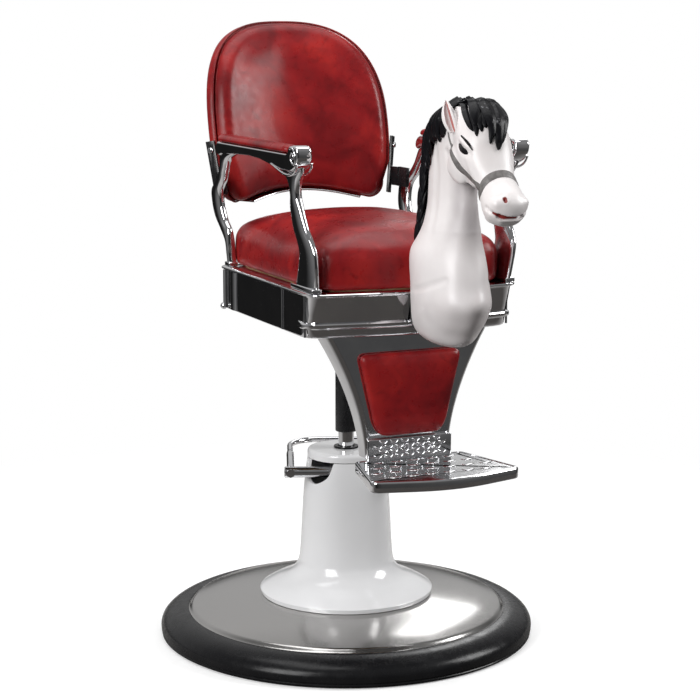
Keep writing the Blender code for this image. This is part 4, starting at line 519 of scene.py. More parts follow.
@dataclass
class Workshop:
    """Puts finished pieces on the frame."""

    nodes: dict[str, Piece]
    looks: dict[Look, Material]

    def add(self, title: str, shape: Shape, look: Look, body: Body,
            stands_for: Iterable[str] = (), crease: float = 34.0) -> Piece:
        """Make a piece from a shape, finish it and let it ride on its body.

        Args:
            title: name of the piece.
            shape: the piece's closed form, which is used up.
            look: its finish.
            body: the body that it moves with.
            stands_for: solids that it takes the place of.
            crease: angle in degrees past which an edge stays sharp.

        Returns:
            The piece.
        """
        piece = place_mesh(title, shape)
        self.finish(piece, look, body, stands_for, crease)
        return piece

    def finish(self, piece: Piece, look: Look, body: Body, stands_for: Iterable[str] = (),
               crease: float = 34.0) -> None:
        """Give a piece its finish and its body.

        Args:
            piece: the piece.
            look: its finish.
            body: the body that it moves with.
            stands_for: solids that it takes the place of.
            crease: angle in degrees past which an edge stays sharp.
        """
        mesh = piece.data
        mesh.materials.clear()
        mesh.materials.append(self.looks[look])
        mesh.shade_smooth()
        mesh.set_sharp_from_angle(angle=math.radians(crease))
        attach(piece, body.value)
        if stands_for:
            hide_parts(*stands_for)
        LOG.info("%s: %d faces, rides on %s", piece.name, len(mesh.polygons), body.value)

    def copy(self, node: str) -> Shape:
        """Copy a solid's mesh with its corners merged.

        Args:
            node: name of the solid.

        Returns:
            The merged shape.
        """
        shape = bmesh.new()
        shape.from_mesh(self.nodes[node].data)
        bmesh.ops.remove_doubles(shape, verts=shape.verts, dist=0.00001)
        return shape

    def eased(self, node: str, look: Look, edge: float = 0.0006) -> None:
        """Stand in for a plain solid of the chair with a copy whose edges are eased.

        Args:
            node: name of the solid.
            look: its finish.
            edge: width of the eased edges.
        """
        shape = self.copy(node)
        bmesh.ops.dissolve_limit(shape, angle_limit=math.radians(1.0), verts=shape.verts, edges=shape.edges)
        steep = math.radians(38.0)
        sharp = [item for item in shape.edges if item.is_manifold and item.calc_face_angle() > steep]
        bmesh.ops.bevel(shape, geom=sharp, offset=edge, offset_type="OFFSET", segments=2, profile=0.5,
                        affect="EDGES", clamp_overlap=True, material=-1)
        self.add(f"{node}_eased", shape, look, Body.CHAIR, [node], 30.0)

    def paint(self, look: Look, *nodes: str) -> None:
        """Give solids that stay as they are their finish.

        Args:
            look: the finish.
            nodes: names of the solids.
        """
        for node in nodes:
            mesh = self.nodes[node].data
            mesh.materials.clear()
            mesh.materials.append(self.looks[look])


def lerp(start: float, end: float, share: float) -> float:
    """Give the value that lies at a share of the way."""
    return start + (end - start) * share


def smooth_step(value: float, start: float, end: float) -> float:
    """Rise softly from 0 at the start to 1 at the end."""
    share = min(max((value - start) / (end - start), 0.0), 1.0)
    return share * share * (3.0 - 2.0 * share)


def smooth_path(points: Sequence[Sequence[float]], steps: int) -> list[Vector]:
    """Run a smooth curve through points.

    Args:
        points: points of the curve.
        steps: steps between neighbours.

    Returns:
        The curve's points.
    """
    stops = [Vector(point) for point in points]
    path = []
    for index in range(len(stops) - 1):
        before = stops[max(index - 1, 0)]
        start = stops[index]
        end = stops[index + 1]
        after = stops[min(index + 2, len(stops) - 1)]
        for step in range(steps):
            t = step / steps
            bend = (2 * before - 5 * start + 4 * end - after) * t * t
            twist = (3 * start - before - 3 * end + after) * t * t * t
            path.append((2 * start + (end - before) * t + bend + twist) / 2)
    path.append(stops[-1])
    return path


def rounded_loop(corners: Sequence[Sequence[float]], cuts: Sequence[float], steps: int) -> list[Vector]:
    """Round the corners of a closed polygon.

    Args:
        corners: the polygon.
        cuts: length that each corner's curve takes from its sides.
        steps: steps round a corner.

    Returns:
        The rounded loop.
    """
    loop = []
    count = len(corners)
    for index in range(count):
        corner = Vector(corners[index])
        before = Vector(corners[index - 1]) - corner
        after = Vector(corners[(index + 1) % count]) - corner
        length = min(cuts[index], 0.48 * before.length, 0.48 * after.length)
        start = corner + before.normalized() * length
        end = corner + after.normalized() * length
        for step in range(steps + 1):
            t = step / steps
            loop.append(start * (1 - t) ** 2 + corner * 2 * t * (1 - t) + end * t * t)
    return loop


def even_loop(loop: Points, count: int) -> list[Vector]:
    """Place points at equal spacing round a closed loop.

    Args:
        loop: the loop.
        count: number of points.

    Returns:
        The evenly spaced loop.
    """
    closed = list(loop) + [loop[0]]
    lengths = [(b - a).length for a, b in zip(closed, closed[1:])]
    spacing = sum(lengths) / count
    points = []
    index = 0
    walked = 0.0
    for number in range(count):
        target = number * spacing
        while walked + lengths[index] < target:
            walked += lengths[index]
            index += 1
        share = (target - walked) / lengths[index]
        points.append(closed[index].lerp(closed[index + 1], share))
    return points


def stepped_loop(loop: Points, length: float, steps: int) -> list[Vector]:
    """Add points on a closed loop's long sides.

    Args:
        loop: the loop.
        length: length from which a side is divided.
        steps: number of steps on such a side.

    Returns:
        The loop with the added points.
    """
    stepped = []
    for index, point in enumerate(loop):
        after = loop[(index + 1) % len(loop)]
        count = steps if (after - point).length > length else 1
        stepped += [point.lerp(after, step / count) for step in range(count)]
    return stepped


def inset_loop(loop: Points, inset: float) -> list[Vector]:
    """Draw a flat closed loop in.

    Args:
        loop: the loop, counter-clockwise.
        inset: distance.

    Returns:
        The drawn-in loop.
    """
    drawn = []
    for index, point in enumerate(loop):
        before = (point - loop[index - 1]).normalized()
        after = (loop[(index + 1) % len(loop)] - point).normalized()
        along = (before + after).normalized()
        spread = max(along.dot(after), 0.6)
        drawn.append(point + Vector((-along.y, along.x)) * inset / spread)
    return drawn


def level_loop(loop: Points, level: float) -> list[Vector]:
    """Lift a flat loop to a height."""
    return [Vector((point.x, point.y, level)) for point in loop]


def settle(shape: Shape) -> Shape:
    """Merge doubled points and turn every face outwards.

    Args:
        shape: the shape.

    Returns:
        The same shape.
    """
    bmesh.ops.remove_doubles(shape, verts=shape.verts, dist=0.000001)
    bmesh.ops.recalc_face_normals(shape, faces=shape.faces)
    if shape.calc_volume(signed=True) < 0.0:
        bmesh.ops.reverse_faces(shape, faces=shape.faces)
    return shape


def loft(shape: Shape, rings: Sequence[Points], closed: bool = False) -> None:
    """Extrude a closed ring of edges through a row of rings.

    Args:
        shape: shape that takes the loft.
        rings: rings with equal numbers of points.
        closed: whether the last ring joins the first, with no caps.
    """
    row = [shape.verts.new(point) for point in rings[0]]
    edges = [shape.edges.new(pair) for pair in zip(row, row[1:] + row[:1])]
    rows = [row]
    for ring in list(rings[1:]) + ([rings[0]] if closed else []):
        made = bmesh.ops.extrude_edge_only(shape, edges=edges)["geom"]
        fresh = {item for item in made if isinstance(item, bmesh.types.BMVert)}
        upper = []
        for vertex in row:
            ends = (edge.other_vert(vertex) for edge in vertex.link_edges)
            upper.append(next(end for end in ends if end in fresh))
        row = upper
        for vertex, point in zip(row, ring):
            vertex.co = point
        edges = [shape.edges.get(pair) for pair in zip(row, row[1:] + row[:1])]
        rows.append(row)
    if not closed:
        for end in (rows[0], rows[-1]):
            rim = [shape.edges.get(pair) for pair in zip(end, end[1:] + end[:1])]
            bmesh.ops.edgeloop_fill(shape, edges=rim)


def lofted(rings: Sequence[Points], closed: bool = False) -> Shape:
    """Make a solid shape through a row of rings.

    Args:
        rings: rings with equal numbers of points.
        closed: whether the last ring joins the first, with no caps.

    Returns:
        The shape.
    """
    shape = bmesh.new()
    loft(shape, rings, closed)
    return settle(shape)


def add_block(shape: Shape, size: Colour, centre: Colour, edge: float, segments: int = 3) -> None:
    """Add a box with rounded edges.

    Args:
        shape: shape that takes it.
        size: its sizes.
        centre: its middle.
        edge: width of its rounded edges.
        segments: steps round an edge.
    """
    made = bmesh.ops.create_cube(shape, size=1.0)["verts"]
    bmesh.ops.scale(shape, vec=size, verts=made)
    bmesh.ops.translate(shape, vec=centre, verts=made)
    edges = list({item for vertex in made for item in vertex.link_edges})
    bmesh.ops.bevel(shape, geom=edges, offset=edge, segments=segments, profile=0.5, affect="EDGES",
                    material=-1)


def heading(path: Points, index: int) -> Vector:
    """Give a path's direction at one of its points."""
    return (path[min(index + 1, len(path) - 1)] - path[max(index - 1, 0)]).normalized()


def near_points(points: Points) -> kdtree.KDTree:
    """Prepare points for finding the nearest of them.

    Args:
        points: the points.

    Returns:
        The search tree.
    """
    tree = kdtree.KDTree(len(points))
    for index, point in enumerate(points):
        tree.insert(point, index)
    tree.balance()
    return tree


def lathe(profile: Sequence[tuple[float, float]], steps: int, solid: bool = False) -> Shape:
    """Spin a profile of radius and height about the upright axis.

    Args:
        profile: the profile.
        steps: steps round the axis.
        solid: whether the profile starts and ends on the axis.

    Returns:
        The turned shape.
    """
    shape = bmesh.new()
    row = [shape.verts.new((radius, 0.0, height)) for radius, height in profile]
    pairs = list(zip(row, row[1:])) if solid else list(zip(row, row[1:] + row[:1]))
    edges = [shape.edges.new(pair) for pair in pairs]
    bmesh.ops.spin(shape, geom=row + edges, cent=(0.0, 0.0, 0.0), axis=(0.0, 0.0, 1.0), angle=2 * math.pi,
                   steps=steps, use_merge=True, use_duplicate=False)
    return settle(shape)


def soft_profile(corners: Sequence[tuple[float, float]], cuts: Sequence[float],
                 steps: int = 5) -> list[tuple[float, float]]:
    """Round the corners of a closed lathe profile.

    Args:
        corners: radius and height of each corner.
        cuts: length of each corner's curve.
        steps: steps round a corner.

    Returns:
        The rounded profile.
    """
    return [(point.x, point.y) for point in rounded_loop(corners, cuts, steps)]


def swept(shape: Shape, path: Points, section: Section, sides: int, upright: Upright,
          ridges: float = 0.0) -> None:
    """Sweep an oval along a path.

    Args:
        shape: shape that takes the sweep.
        path: the path.
        section: half width and half height of the oval, the same all along or by share of the way.
        sides: points round the oval.
        upright: direction of the oval's height, the same all along or by place.
        ridges: depth of ridges along the sweep, as a share of its size.
    """
    rings = []
    for index, point in enumerate(path):
        along = heading(path, index)
        up = upright(point) if callable(upright) else upright
        up = (up - along * up.dot(along)).normalized()
        across = along.cross(up)
        wide, tall = section(index / (len(path) - 1)) if callable(section) else section
        ring = []
        for step in range(sides):
            angle = 2 * math.pi * step / sides
            size = 1.0 + ridges * math.cos(4.0 * angle)
            sideways = across * wide * size * math.cos(angle)
            ring.append(point + sideways + up * tall * size * math.sin(angle))
        rings.append(ring)
    loft(shape, rings)


def carve(piece: Piece, tool_shape: Shape) -> None:
    """Cut a shape out of a piece.

    Args:
        piece: the piece.
        tool_shape: closed shape to cut away, which is used up.
    """
    tool = place_mesh("tool", tool_shape)
    step = piece.modifiers.new("carve", "BOOLEAN")
    step.object = tool
    step.solver = "EXACT"
    bake_modifiers(piece)
    bpy.data.meshes.remove(tool.data)


def bake_modifiers(piece: Piece) -> None:
    """Make the piece's modifiers part of its mesh."""
    old = piece.data
    graph = bpy.context.evaluated_depsgraph_get()
    piece.data = bpy.data.meshes.new_from_object(piece.evaluated_get(graph))
    piece.modifiers.clear()
    bpy.data.meshes.remove(old)


def melt(piece: Piece, voxel: float, rounds: int) -> None:
    """Melt a piece's shells into one even skin.

    Args:
        piece: the piece.
        voxel: mesh size of the skin.
        rounds: how often it is smoothed.
    """
    remesh = piece.modifiers.new("melt", "REMESH")
    remesh.mode = "VOXEL"
    remesh.voxel_size = voxel
    even = piece.modifiers.new("even", "SMOOTH")
    even.factor = 0.5
    even.iterations = rounds
    bake_modifiers(piece)


def press(mesh: Mesh, path: Points, width: float, depth: float) -> None:
    """Press a soft groove into a mesh along a path, or raise a ridge where the depth is negative.

    Args:
        mesh: the mesh.
        path: closely spaced points of the groove.
        width: half width of the groove.
        depth: depth of the groove.
    """
    tree = near_points(path)
    moved = []
    for vertex in mesh.vertices:
        away = tree.find(vertex.co)[2]
        if away < width:
            fade = 1.0 - (away / width) ** 2
            moved.append((vertex, vertex.co - vertex.normal * depth * fade * fade))
    for vertex, place in moved:
        vertex.co = place


@dataclass(frozen=True)
class Stuffing:
    """How a pad is blown up: its skin's mesh size, its pressure and the most that its skin may move."""

    voxel: float = 0.005
    pressure: float = 4.0
    reach: float = 0.010
    frames: int = 20
    calm: int = 40

    def fill(self, piece: Piece, held: Callable[[Vector], bool]) -> None:
        """Blow up a closed pad with a short cloth run, and keep the result as its mesh.

        Args:
            piece: the pad, a little smaller than it will be.
            held: says which points of its skin stay where they are.
        """
        melt(piece, self.voxel, 8)
        mesh = piece.data
        start = [vertex.co.copy() for vertex in mesh.vertices]
        group = piece.vertex_groups.new(name="held")
        group.add([index for index, place in enumerate(start) if held(place)], 1.0, "REPLACE")
        cloth = piece.modifiers.new("stuffing", "CLOTH").settings
        cloth.quality = 5
        cloth.mass = 0.3
        cloth.air_damping = 4.0
        cloth.tension_stiffness = 18.0
        cloth.compression_stiffness = 6.0
        cloth.shear_stiffness = 6.0
        cloth.bending_stiffness = 8.0
        cloth.use_pressure = True
        cloth.uniform_pressure_force = self.pressure
        cloth.effector_weights.gravity = 0.0
        cloth.vertex_group_mass = "held"
        scene = bpy.context.scene
        for number in range(1, self.frames + 1):
            scene.frame_set(number)
        graph = bpy.context.evaluated_depsgraph_get()
        swollen = [vertex.co.copy() for vertex in piece.evaluated_get(graph).data.vertices]
        piece.modifiers.clear()
        scene.frame_set(1)
        moves = numpy.array([last - first for first, last in zip(start, swollen)])
        lengths = numpy.linalg.norm(moves, axis=1, keepdims=True)
        moves *= numpy.minimum(self.reach / numpy.maximum(lengths, 0.000001), 1.0)
        moves = self.spread(mesh, moves)
        for vertex, first, move in zip(mesh.vertices, start, moves):
            vertex.co = first + Vector(move)
        piece.vertex_groups.clear()

    def spread(self, mesh: Mesh, moves: numpy.ndarray) -> numpy.ndarray:
        """Share every point's move with its neighbours, so that the skin stays free of creases.

        Args:
            mesh: the pad's mesh.
            moves: one move for each point.

        Returns:
            The shared moves.
        """
        ends = numpy.array([edge.vertices[:] for edge in mesh.edges])
        count = numpy.bincount(ends.ravel(), minlength=len(moves))[:, None] + 1.0
        for _ in range(self.calm):
            total = moves.copy()
            numpy.add.at(total, ends[:, 0], moves[ends[:, 1]])
            numpy.add.at(total, ends[:, 1], moves[ends[:, 0]])
            moves = total / count
        return moves

    def pad(self, shop: Workshop, title: str, node: str, rings: Sequence[Points],
            held: Callable[[Vector], bool], tight: float,
            dress: Callable[[Mesh], None] = lambda mesh: None) -> None:
        """Args:
            shop: the workshop.
            title: name of the pad.
            node: solid that it takes the place of.
            rings: rings of its form before it is blown up.
            held: says which points of its skin stay where they are.
            tight: how tightly it is filled, from 0 to 1; not used.
            dress: last work on its mesh.
        """
        piece = shop.add(title, lofted(rings), Look.LEATHER, Body.CHAIR, [node], 80.0)
        self.fill(piece, held)
        dress(piece.data)
        shop.finish(piece, Look.LEATHER, Body.CHAIR, (), 80.0)
        level = piece.modifiers.new("fine", "SUBSURF")
        level.levels = 1
        level.render_levels = 1


@dataclass
class FloorBase:
    """Rubber ring, brushed dome, flared column and its cap."""

    shop: Workshop
    ring_radius: float = 0.325
    ring_inner: float = 0.2773
    ring_height: float = 0.044
    dome_hole: float = 0.120
    dome_edge: float = 0.277
    dome_top: float = 0.071
    dome_sheet: float = 0.0025
    dome_roll: float = 0.004
    column_top: float = 0.3107
    cap_top: float = 0.326
    cap_radius: float = 0.0672
    ram_hole: float = 0.0147
    wiper_radius: float = 0.0215
    column_wall: float = 0.004
    notch_radius: float = 0.021
    notch_top: float = 0.34
    shaft_offset: float = 0.042
    shaft_height: float = 0.292
    yaw: float = math.radians(-22.0)

    def build(self) -> None:
        """Build the pieces that stand on the floor."""
        self.rubber_ring()
        self.dome()
        self.column()
        self.cap()
        self.shop.paint(Look.IRON, "base_plate", "pump_head", "pump_barrel")
        self.shop.paint(Look.STEEL, "pump_cylinder", "pump_bolt_1", "pump_bolt_2", "pump_bolt_3")
        self.shop.paint(Look.BRONZE, "pump_gland")

    def rubber_ring(self) -> None:
        """Turn the rubber ring with its rounded shoulder and thin toe."""
        profile = []
        for step in range(17):
            angle = math.radians(90.0 * step / 16)
            radius = lerp(self.ring_inner, self.ring_radius, math.sin(angle))
            profile.append((radius, lerp(0.016, self.ring_height, math.cos(angle))))
        toe = [(0.0004, 0.0100), (0.0022, 0.0086), (0.0022, 0.0070), (0.0012, 0.0058), (0.0016, 0.0030),
               (0.0070, 0.0)]
        profile += [(self.ring_radius - inset, level) for inset, level in toe]
        profile += [(0.250, 0.0), (0.250, 0.012), (0.262, 0.012), (0.262, 0.0412), (self.ring_inner, 0.0412)]
        self.shop.add("rubber_ring", lathe(profile, 160), Look.RUBBER, Body.PEDESTAL, ["floor_ring"])

    def dome_height(self, radius: float) -> float:
        """Give the height of the dome's top at a radius."""
        share = max((radius - self.dome_hole) / (self.dome_edge - self.dome_hole), 0.0)
        rim = smooth_step(radius, self.dome_edge - 0.0085, self.dome_edge - 0.0004)
        roll = smooth_step(radius, 0.160, 0.255) * (1.0 - rim)
        return self.dome_top - (self.dome_top - self.ring_height) * share ** 1.7 + self.dome_roll * roll

    def dome(self) -> None:
        """Turn the brushed cover with a rolled outer edge."""
        shares = [1.0 - (1.0 - step / 44) ** 1.6 for step in range(45)]
        radii = [lerp(self.dome_hole, self.dome_edge - 0.0004, share) for share in shares]
        top = [(radius, self.dome_height(radius)) for radius in radii]
        under = [(radius, height - self.dome_sheet) for radius, height in reversed(top)]
        self.shop.add("dome", lathe(top + under, 160), Look.BRUSHED, Body.PEDESTAL, ["base_cover"], 50.0)

    def column(self) -> None:
        """Turn the white column and cut the notches that the pedal's shaft comes out of."""
        foot = self.dome_height(0.1435) + GAP
        tall = self.column_top - foot
        outer = [(0.0672, 1.0), (0.0724, 0.84), (0.07625, 0.62), (0.08075, 0.30), (0.0871, 0.200),
                 (0.1025, 0.134), (0.1295, 0.080), (0.1490, 0.036), (0.1505, 0.022), (0.1495, 0.0)]
        path = smooth_path([(radius, foot + tall * share) for radius, share in outer], 6)
        inner = []
        for index, point in enumerate(path):
            along = heading(path, index)
            inner.append(point + Vector((along.y, -along.x)) * self.column_wall)
        profile = [tuple(point) for point in path] + [(0.1450, foot)]
        profile += [tuple(point) for point in reversed(inner[:-2])]
        piece = self.shop.add("column", lathe(profile, 128), Look.ENAMEL, Body.PEDESTAL, ["pedestal_cover"],
                              40.0)
        wide = self.notch_radius
        middle = -self.shaft_offset
        corners = [(middle - wide, self.notch_top), (middle - wide, self.shaft_height)]
        for step in range(1, 16):
            angle = math.pi * step / 16
            corners.append((middle - wide * math.cos(angle), self.shaft_height - wide * math.sin(angle)))
        corners += [(middle + wide, self.shaft_height), (middle + wide, self.notch_top)]
        tool = lofted([[(x, y, z) for y, z in corners] for x in (-0.2, 0.2)])
        bmesh.ops.rotate(tool, cent=(0.0, 0.0, 0.0), matrix=Matrix.Rotation(self.yaw, 3, "Z"),
                         verts=tool.verts)
        carve(piece, tool)
        self.shop.finish(piece, Look.ENAMEL, Body.PEDESTAL, (), 40.0)

    def cap(self) -> None:
        """Turn the cap with its soft shoulder and the collar round the ram."""
        low = self.column_top + PLAY
        top = self.cap_top
        corners = [(self.ram_hole, top), (self.cap_radius, top), (self.cap_radius, low), (self.ram_hole, low)]
        profile = soft_profile(corners, [0.0012, 0.0085, 0.0012, 0.0004], 8)
        self.shop.add("column_cap", lathe(profile, 128), Look.ENAMEL, Body.PEDESTAL, ["pedestal_cap"], 50.0)
        low, high = top - 0.001, top + 0.0035
        corners = [(self.ram_hole, low), (self.wiper_radius, low), (self.wiper_radius, high),
                   (self.ram_hole, high)]
        profile = soft_profile(corners, [0.0004, 0.0004, 0.0016, 0.0008])
        self.shop.add("ram_wiper", lathe(profile, 96), Look.RUBBER, Body.PEDESTAL)


@dataclass
class PedalGear:
    """Cross shaft, the chrome loop that is stepped on and its clamp nuts."""

    shop: Workshop
    shaft_radius: float = 0.0095
    half_length: float = 0.108
    loop_radius: float = 0.005
    loop_side: float = 0.097
    loop_reach: float = 0.258
    loop_corner: float = 0.055
    offset: float = 0.042
    height: float = 0.292
    stroke: float = 0.0088
    yaw: float = math.radians(-22.0)

    def placed(self, shape: Shape) -> Shape:
        """Move a shape from the shaft's own frame to its place.

        Args:
            shape: the shape.

        Returns:
            The same shape.
        """
        place = Matrix.Translation((0.0, -self.offset, self.height))
        bmesh.ops.transform(shape, matrix=Matrix.Rotation(self.yaw, 4, "Z") @ place, verts=shape.verts)
        return settle(shape)

    def build(self) -> None:
        """Build the pedal's pieces."""
        end = self.half_length
        profile = [(0.0, -end), (0.0062, -end), (0.0068, 0.0010 - end), (0.0080, 0.0002 - end),
                   (self.shaft_radius, 0.0015 - end)]
        profile += [(radius, -height) for radius, height in reversed(profile)]
        shaft = lathe(profile, 64, solid=True)
        turn = Matrix.Rotation(math.radians(90.0), 3, "Y")
        bmesh.ops.rotate(shaft, cent=(0.0, 0.0, 0.0), matrix=turn, verts=shaft.verts)
        self.shop.add("pedal_axle", self.placed(shaft), Look.CHROME, Body.PEDAL, ["pedal_shaft"], 40.0)
        half = [Vector((-self.loop_side, -0.0135, 0.0)), Vector((-self.loop_side, 0.06, 0.0))]
        for step in range(13):
            angle = math.radians(90.0 * step / 12)
            across = -self.loop_side + self.loop_corner * (1 - math.cos(angle))
            half.append(Vector((across, self.loop_reach - self.loop_corner * (1 - math.sin(angle)), 0.0)))
        path = half + [Vector((-point.x, point.y, 0.0)) for point in reversed(half)]
        rod = bmesh.new()
        swept(rod, path, (self.loop_radius, self.loop_radius), 20, UP)
        self.shop.add("pedal_rod", self.placed(rod), Look.CHROME, Body.PEDAL, ["pedal_loop"], 40.0)
        grips = bmesh.new()
        turn = Matrix.Rotation(math.radians(90.0), 3, "X")
        for side in (-self.loop_side, self.loop_side):
            grip = [Vector((side, lerp(0.020, 0.150, step / 12), 0.0)) for step in range(13)]
            swept(grips, grip, lambda share: (0.0066 - 0.0008 * (share in (0.0, 1.0)),) * 2, 24, UP)
            nut = bmesh.ops.create_cone(grips, cap_ends=True, segments=6, radius1=0.0078, radius2=0.0078,
                                        depth=0.003)
            bmesh.ops.rotate(grips, cent=(0.0, 0.0, 0.0), matrix=turn, verts=nut["verts"])
            bmesh.ops.translate(grips, vec=(side, -0.0113, 0.0), verts=nut["verts"])
        self.shop.add("pedal_grips", self.placed(grips), Look.CHROME, Body.PEDAL)
        self.shop.paint(Look.IRON, "pedal_crank")
        self.shop.paint(Look.STEEL, "pump_plunger")
        shape = self.shop.copy("plunger_spring")
        coil = self.shop.add("return_spring", shape, Look.SPRING, Body.PLUNGER, ["plunger_spring"], 60.0)
        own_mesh(coil)


@dataclass
class LiftColumn:
    """Chrome ram, the bearing on it and the black sleeve that the chair hangs round it."""

    shop: Workshop
    ram_radius: float = 0.0135
    ram_step: float = 0.0649
    piston_radius: float = 0.0199
    sleeve_radius: float = 0.0188
    hub_radius: float = 0.032
    flange_radius: float = 0.050
    flange_depth: float = 0.010
    bearing_bore: float = 0.0212

    def build(self) -> None:
        """Build the lift's pieces."""
        low, high = (corner.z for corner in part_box("lift_ram"))
        ram = self.ram_radius
        profile = [(0.0, low), (self.piston_radius, low), (self.piston_radius, self.ram_step),
                   (ram, self.ram_step), (ram, high - 0.001), (ram - 0.001, high), (0.0, high)]
        self.shop.add("ram_rod", lathe(profile, 72, solid=True), Look.CHROME, Body.RAM, ["lift_ram"], 40.0)
        low, high = (corner.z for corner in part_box("post_sleeve"))
        bore = ram + PLAY
        corners = [(bore, low), (self.sleeve_radius, low), (self.sleeve_radius, high), (bore, high)]
        profile = soft_profile(corners, [0.0005, 0.0026, 0.0006, 0.0005])
        self.shop.add("sleeve_tube", lathe(profile, 80), Look.PAINT, Body.CHAIR, ["post_sleeve"], 40.0)
        self.shop.paint(Look.BRONZE, "thrust_bearing")
        low, high = (corner.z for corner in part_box("swivel_hub"))
        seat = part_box("thrust_bearing")[0].z - 0.0002
        step = high - self.flange_depth
        corners = [(bore, low), (self.hub_radius, low), (self.hub_radius, step), (self.flange_radius, step),
                   (self.flange_radius, high), (self.bearing_bore, high), (self.bearing_bore, seat),
                   (bore, seat)]
        easing = [0.0004, 0.0010, 0.0020, 0.0010, 0.0010, 0.0004, 0.0001, 0.0002]
        hub = lathe(soft_profile(corners, easing), 72)
        self.shop.add("hub_ring", hub, Look.IRON, Body.CHAIR, ["swivel_hub"], 40.0)


@dataclass
class SeatFrame:
    """Chrome band under the seat, with its rim, front bead and upright strips."""

    shop: Workshop
    half_width: float = 0.179
    rear: float = 0.122
    corner_front: float = 0.274
    bow: float = 0.032
    corner: float = 0.026
    rear_corner: float = 0.012
    setback: float = 0.024
    top: float = 0.640
    height: float = 0.074
    bead: float = 0.0045

    def loop(self, grow: float, level: float) -> list[Vector]:
        """Give the band's outline at a level, grown outwards.

        Args:
            grow: distance outwards.
            level: height.

        Returns:
            The outline.
        """
        half = self.half_width + grow
        front = -self.corner_front - grow + self.setback * (self.top - level) / self.height
        rear = self.rear + grow
        corners = [(half, rear), (-half, rear), (-half, front), (0.0, front - self.bow), (half, front)]
        cuts = [self.rear_corner, self.rear_corner, self.corner, self.half_width / 2, self.corner]
        return stepped_loop(rounded_loop(corners, cuts, 12), 0.2, 40)

    def ring(self, grow: float, level: float, front_only: bool) -> list[Vector]:
        """Give one ring of the band.

        Args:
            grow: distance outwards.
            level: height.
            front_only: whether it stands out only at the front and its corners.

        Returns:
            The ring.
        """
        plain = self.loop(0.0, level)
        grown = self.loop(grow, level)
        ring = []
        for flat, proud in zip(plain, grown):
            share = smooth_step(-flat.y, 0.218, 0.228) if front_only else 1.0
            place = flat.lerp(proud, share)
            ring.append(Vector((place.x, place.y, level)))
        return ring

    def build(self) -> None:
        """Build the band and its strips, and dress what hangs under the seat."""
        bead = self.bead
        rim = [(-0.030, 0.640), (0.0, 0.6400), (bead * 0.55, 0.6396), (bead * 0.90, 0.6384), (bead, 0.6370),
               (bead * 0.90, 0.6354), (bead * 0.55, 0.6343), (0.0004, 0.6338), (0.0, 0.6320), (0.0, 0.6050),
               (0.0, 0.5916)]
        proud = [(bead * 0.6, 0.5906), (bead * 0.92, 0.5888), (bead, 0.5860), (bead * 0.92, 0.5832),
                 (bead * 0.6, 0.5814)]
        foot = [(0.0, 0.5804), (0.0, 0.5700), (-0.0006, 0.5676), (-0.0022, 0.5662), (-0.0050, 0.5660),
                (-0.030, 0.5660), (-0.030, 0.5700), (-0.0060, 0.5700), (-0.0040, 0.5730), (-0.0040, 0.6338),
                (-0.030, 0.6340)]
        runs = ((rim, False), (proud, True), (foot, False))
        rings = [self.ring(*place, front_only) for run, front_only in runs for place in run]
        self.shop.add("frame_band", lofted(rings, closed=True), Look.CHROME, Body.CHAIR, ["seat_frame"], 30.0)
        self.strips()
        self.shop.eased("horse_mount", Look.CHROME)
        for node in ("mounting_plate", "cross_rail_front", "cross_rail_rear"):
            self.shop.eased(node, Look.PAINT, 0.001)
        bolts = [f"plate_bolt_{number}" for number in range(1, 5)] + ["mount_bolt_1", "mount_bolt_2"]
        bolts += [f"arm_bolt_{side.label}_{end}" for side in Side for end in ("front", "rear")]
        bolts += [f"{kind}_bolt_{side.label}" for side in Side for kind in ("panel", "foot", "strap")]
        for node in bolts:
            self.shop.eased(node, Look.STEEL if node.startswith("plate") else Look.CHROME, 0.0008)
        self.shop.paint(Look.PLYWOOD, "seat_board")

    @staticmethod
    def knob(shape: Shape, centre: Vector) -> None:
        """Add the small round foot under a side's rear strip.

        Args:
            shape: shape that takes it.
            centre: its middle.
        """
        made = bmesh.ops.create_uvsphere(shape, u_segments=20, v_segments=12, radius=0.0062)
        bmesh.ops.translate(shape, vec=centre, verts=made["verts"])

    def strips(self) -> None:
        """Build the upright bright strips on the band's sides."""
        shape = bmesh.new()
        strips = [(-0.150, 0.0014, 0.0020), (-0.243, 0.0014, 0.0020), (0.072, 0.0150, 0.0032),
                  (0.110, 0.0062, 0.0042)]
        for side in Side:
            across = side.value * self.half_width
            for place, wide, proud in strips:
                path = [Vector((across, place, lerp(0.5680, 0.6330, step / 8))) for step in range(9)]
                swept(shape, path, (wide, proud), 20, side.outward)
            self.knob(shape, Vector((side.value * (self.half_width + 0.002), 0.114, 0.5700)))
        self.shop.add("frame_strips", settle(shape), Look.CHROME, Body.CHAIR, (), 40.0)


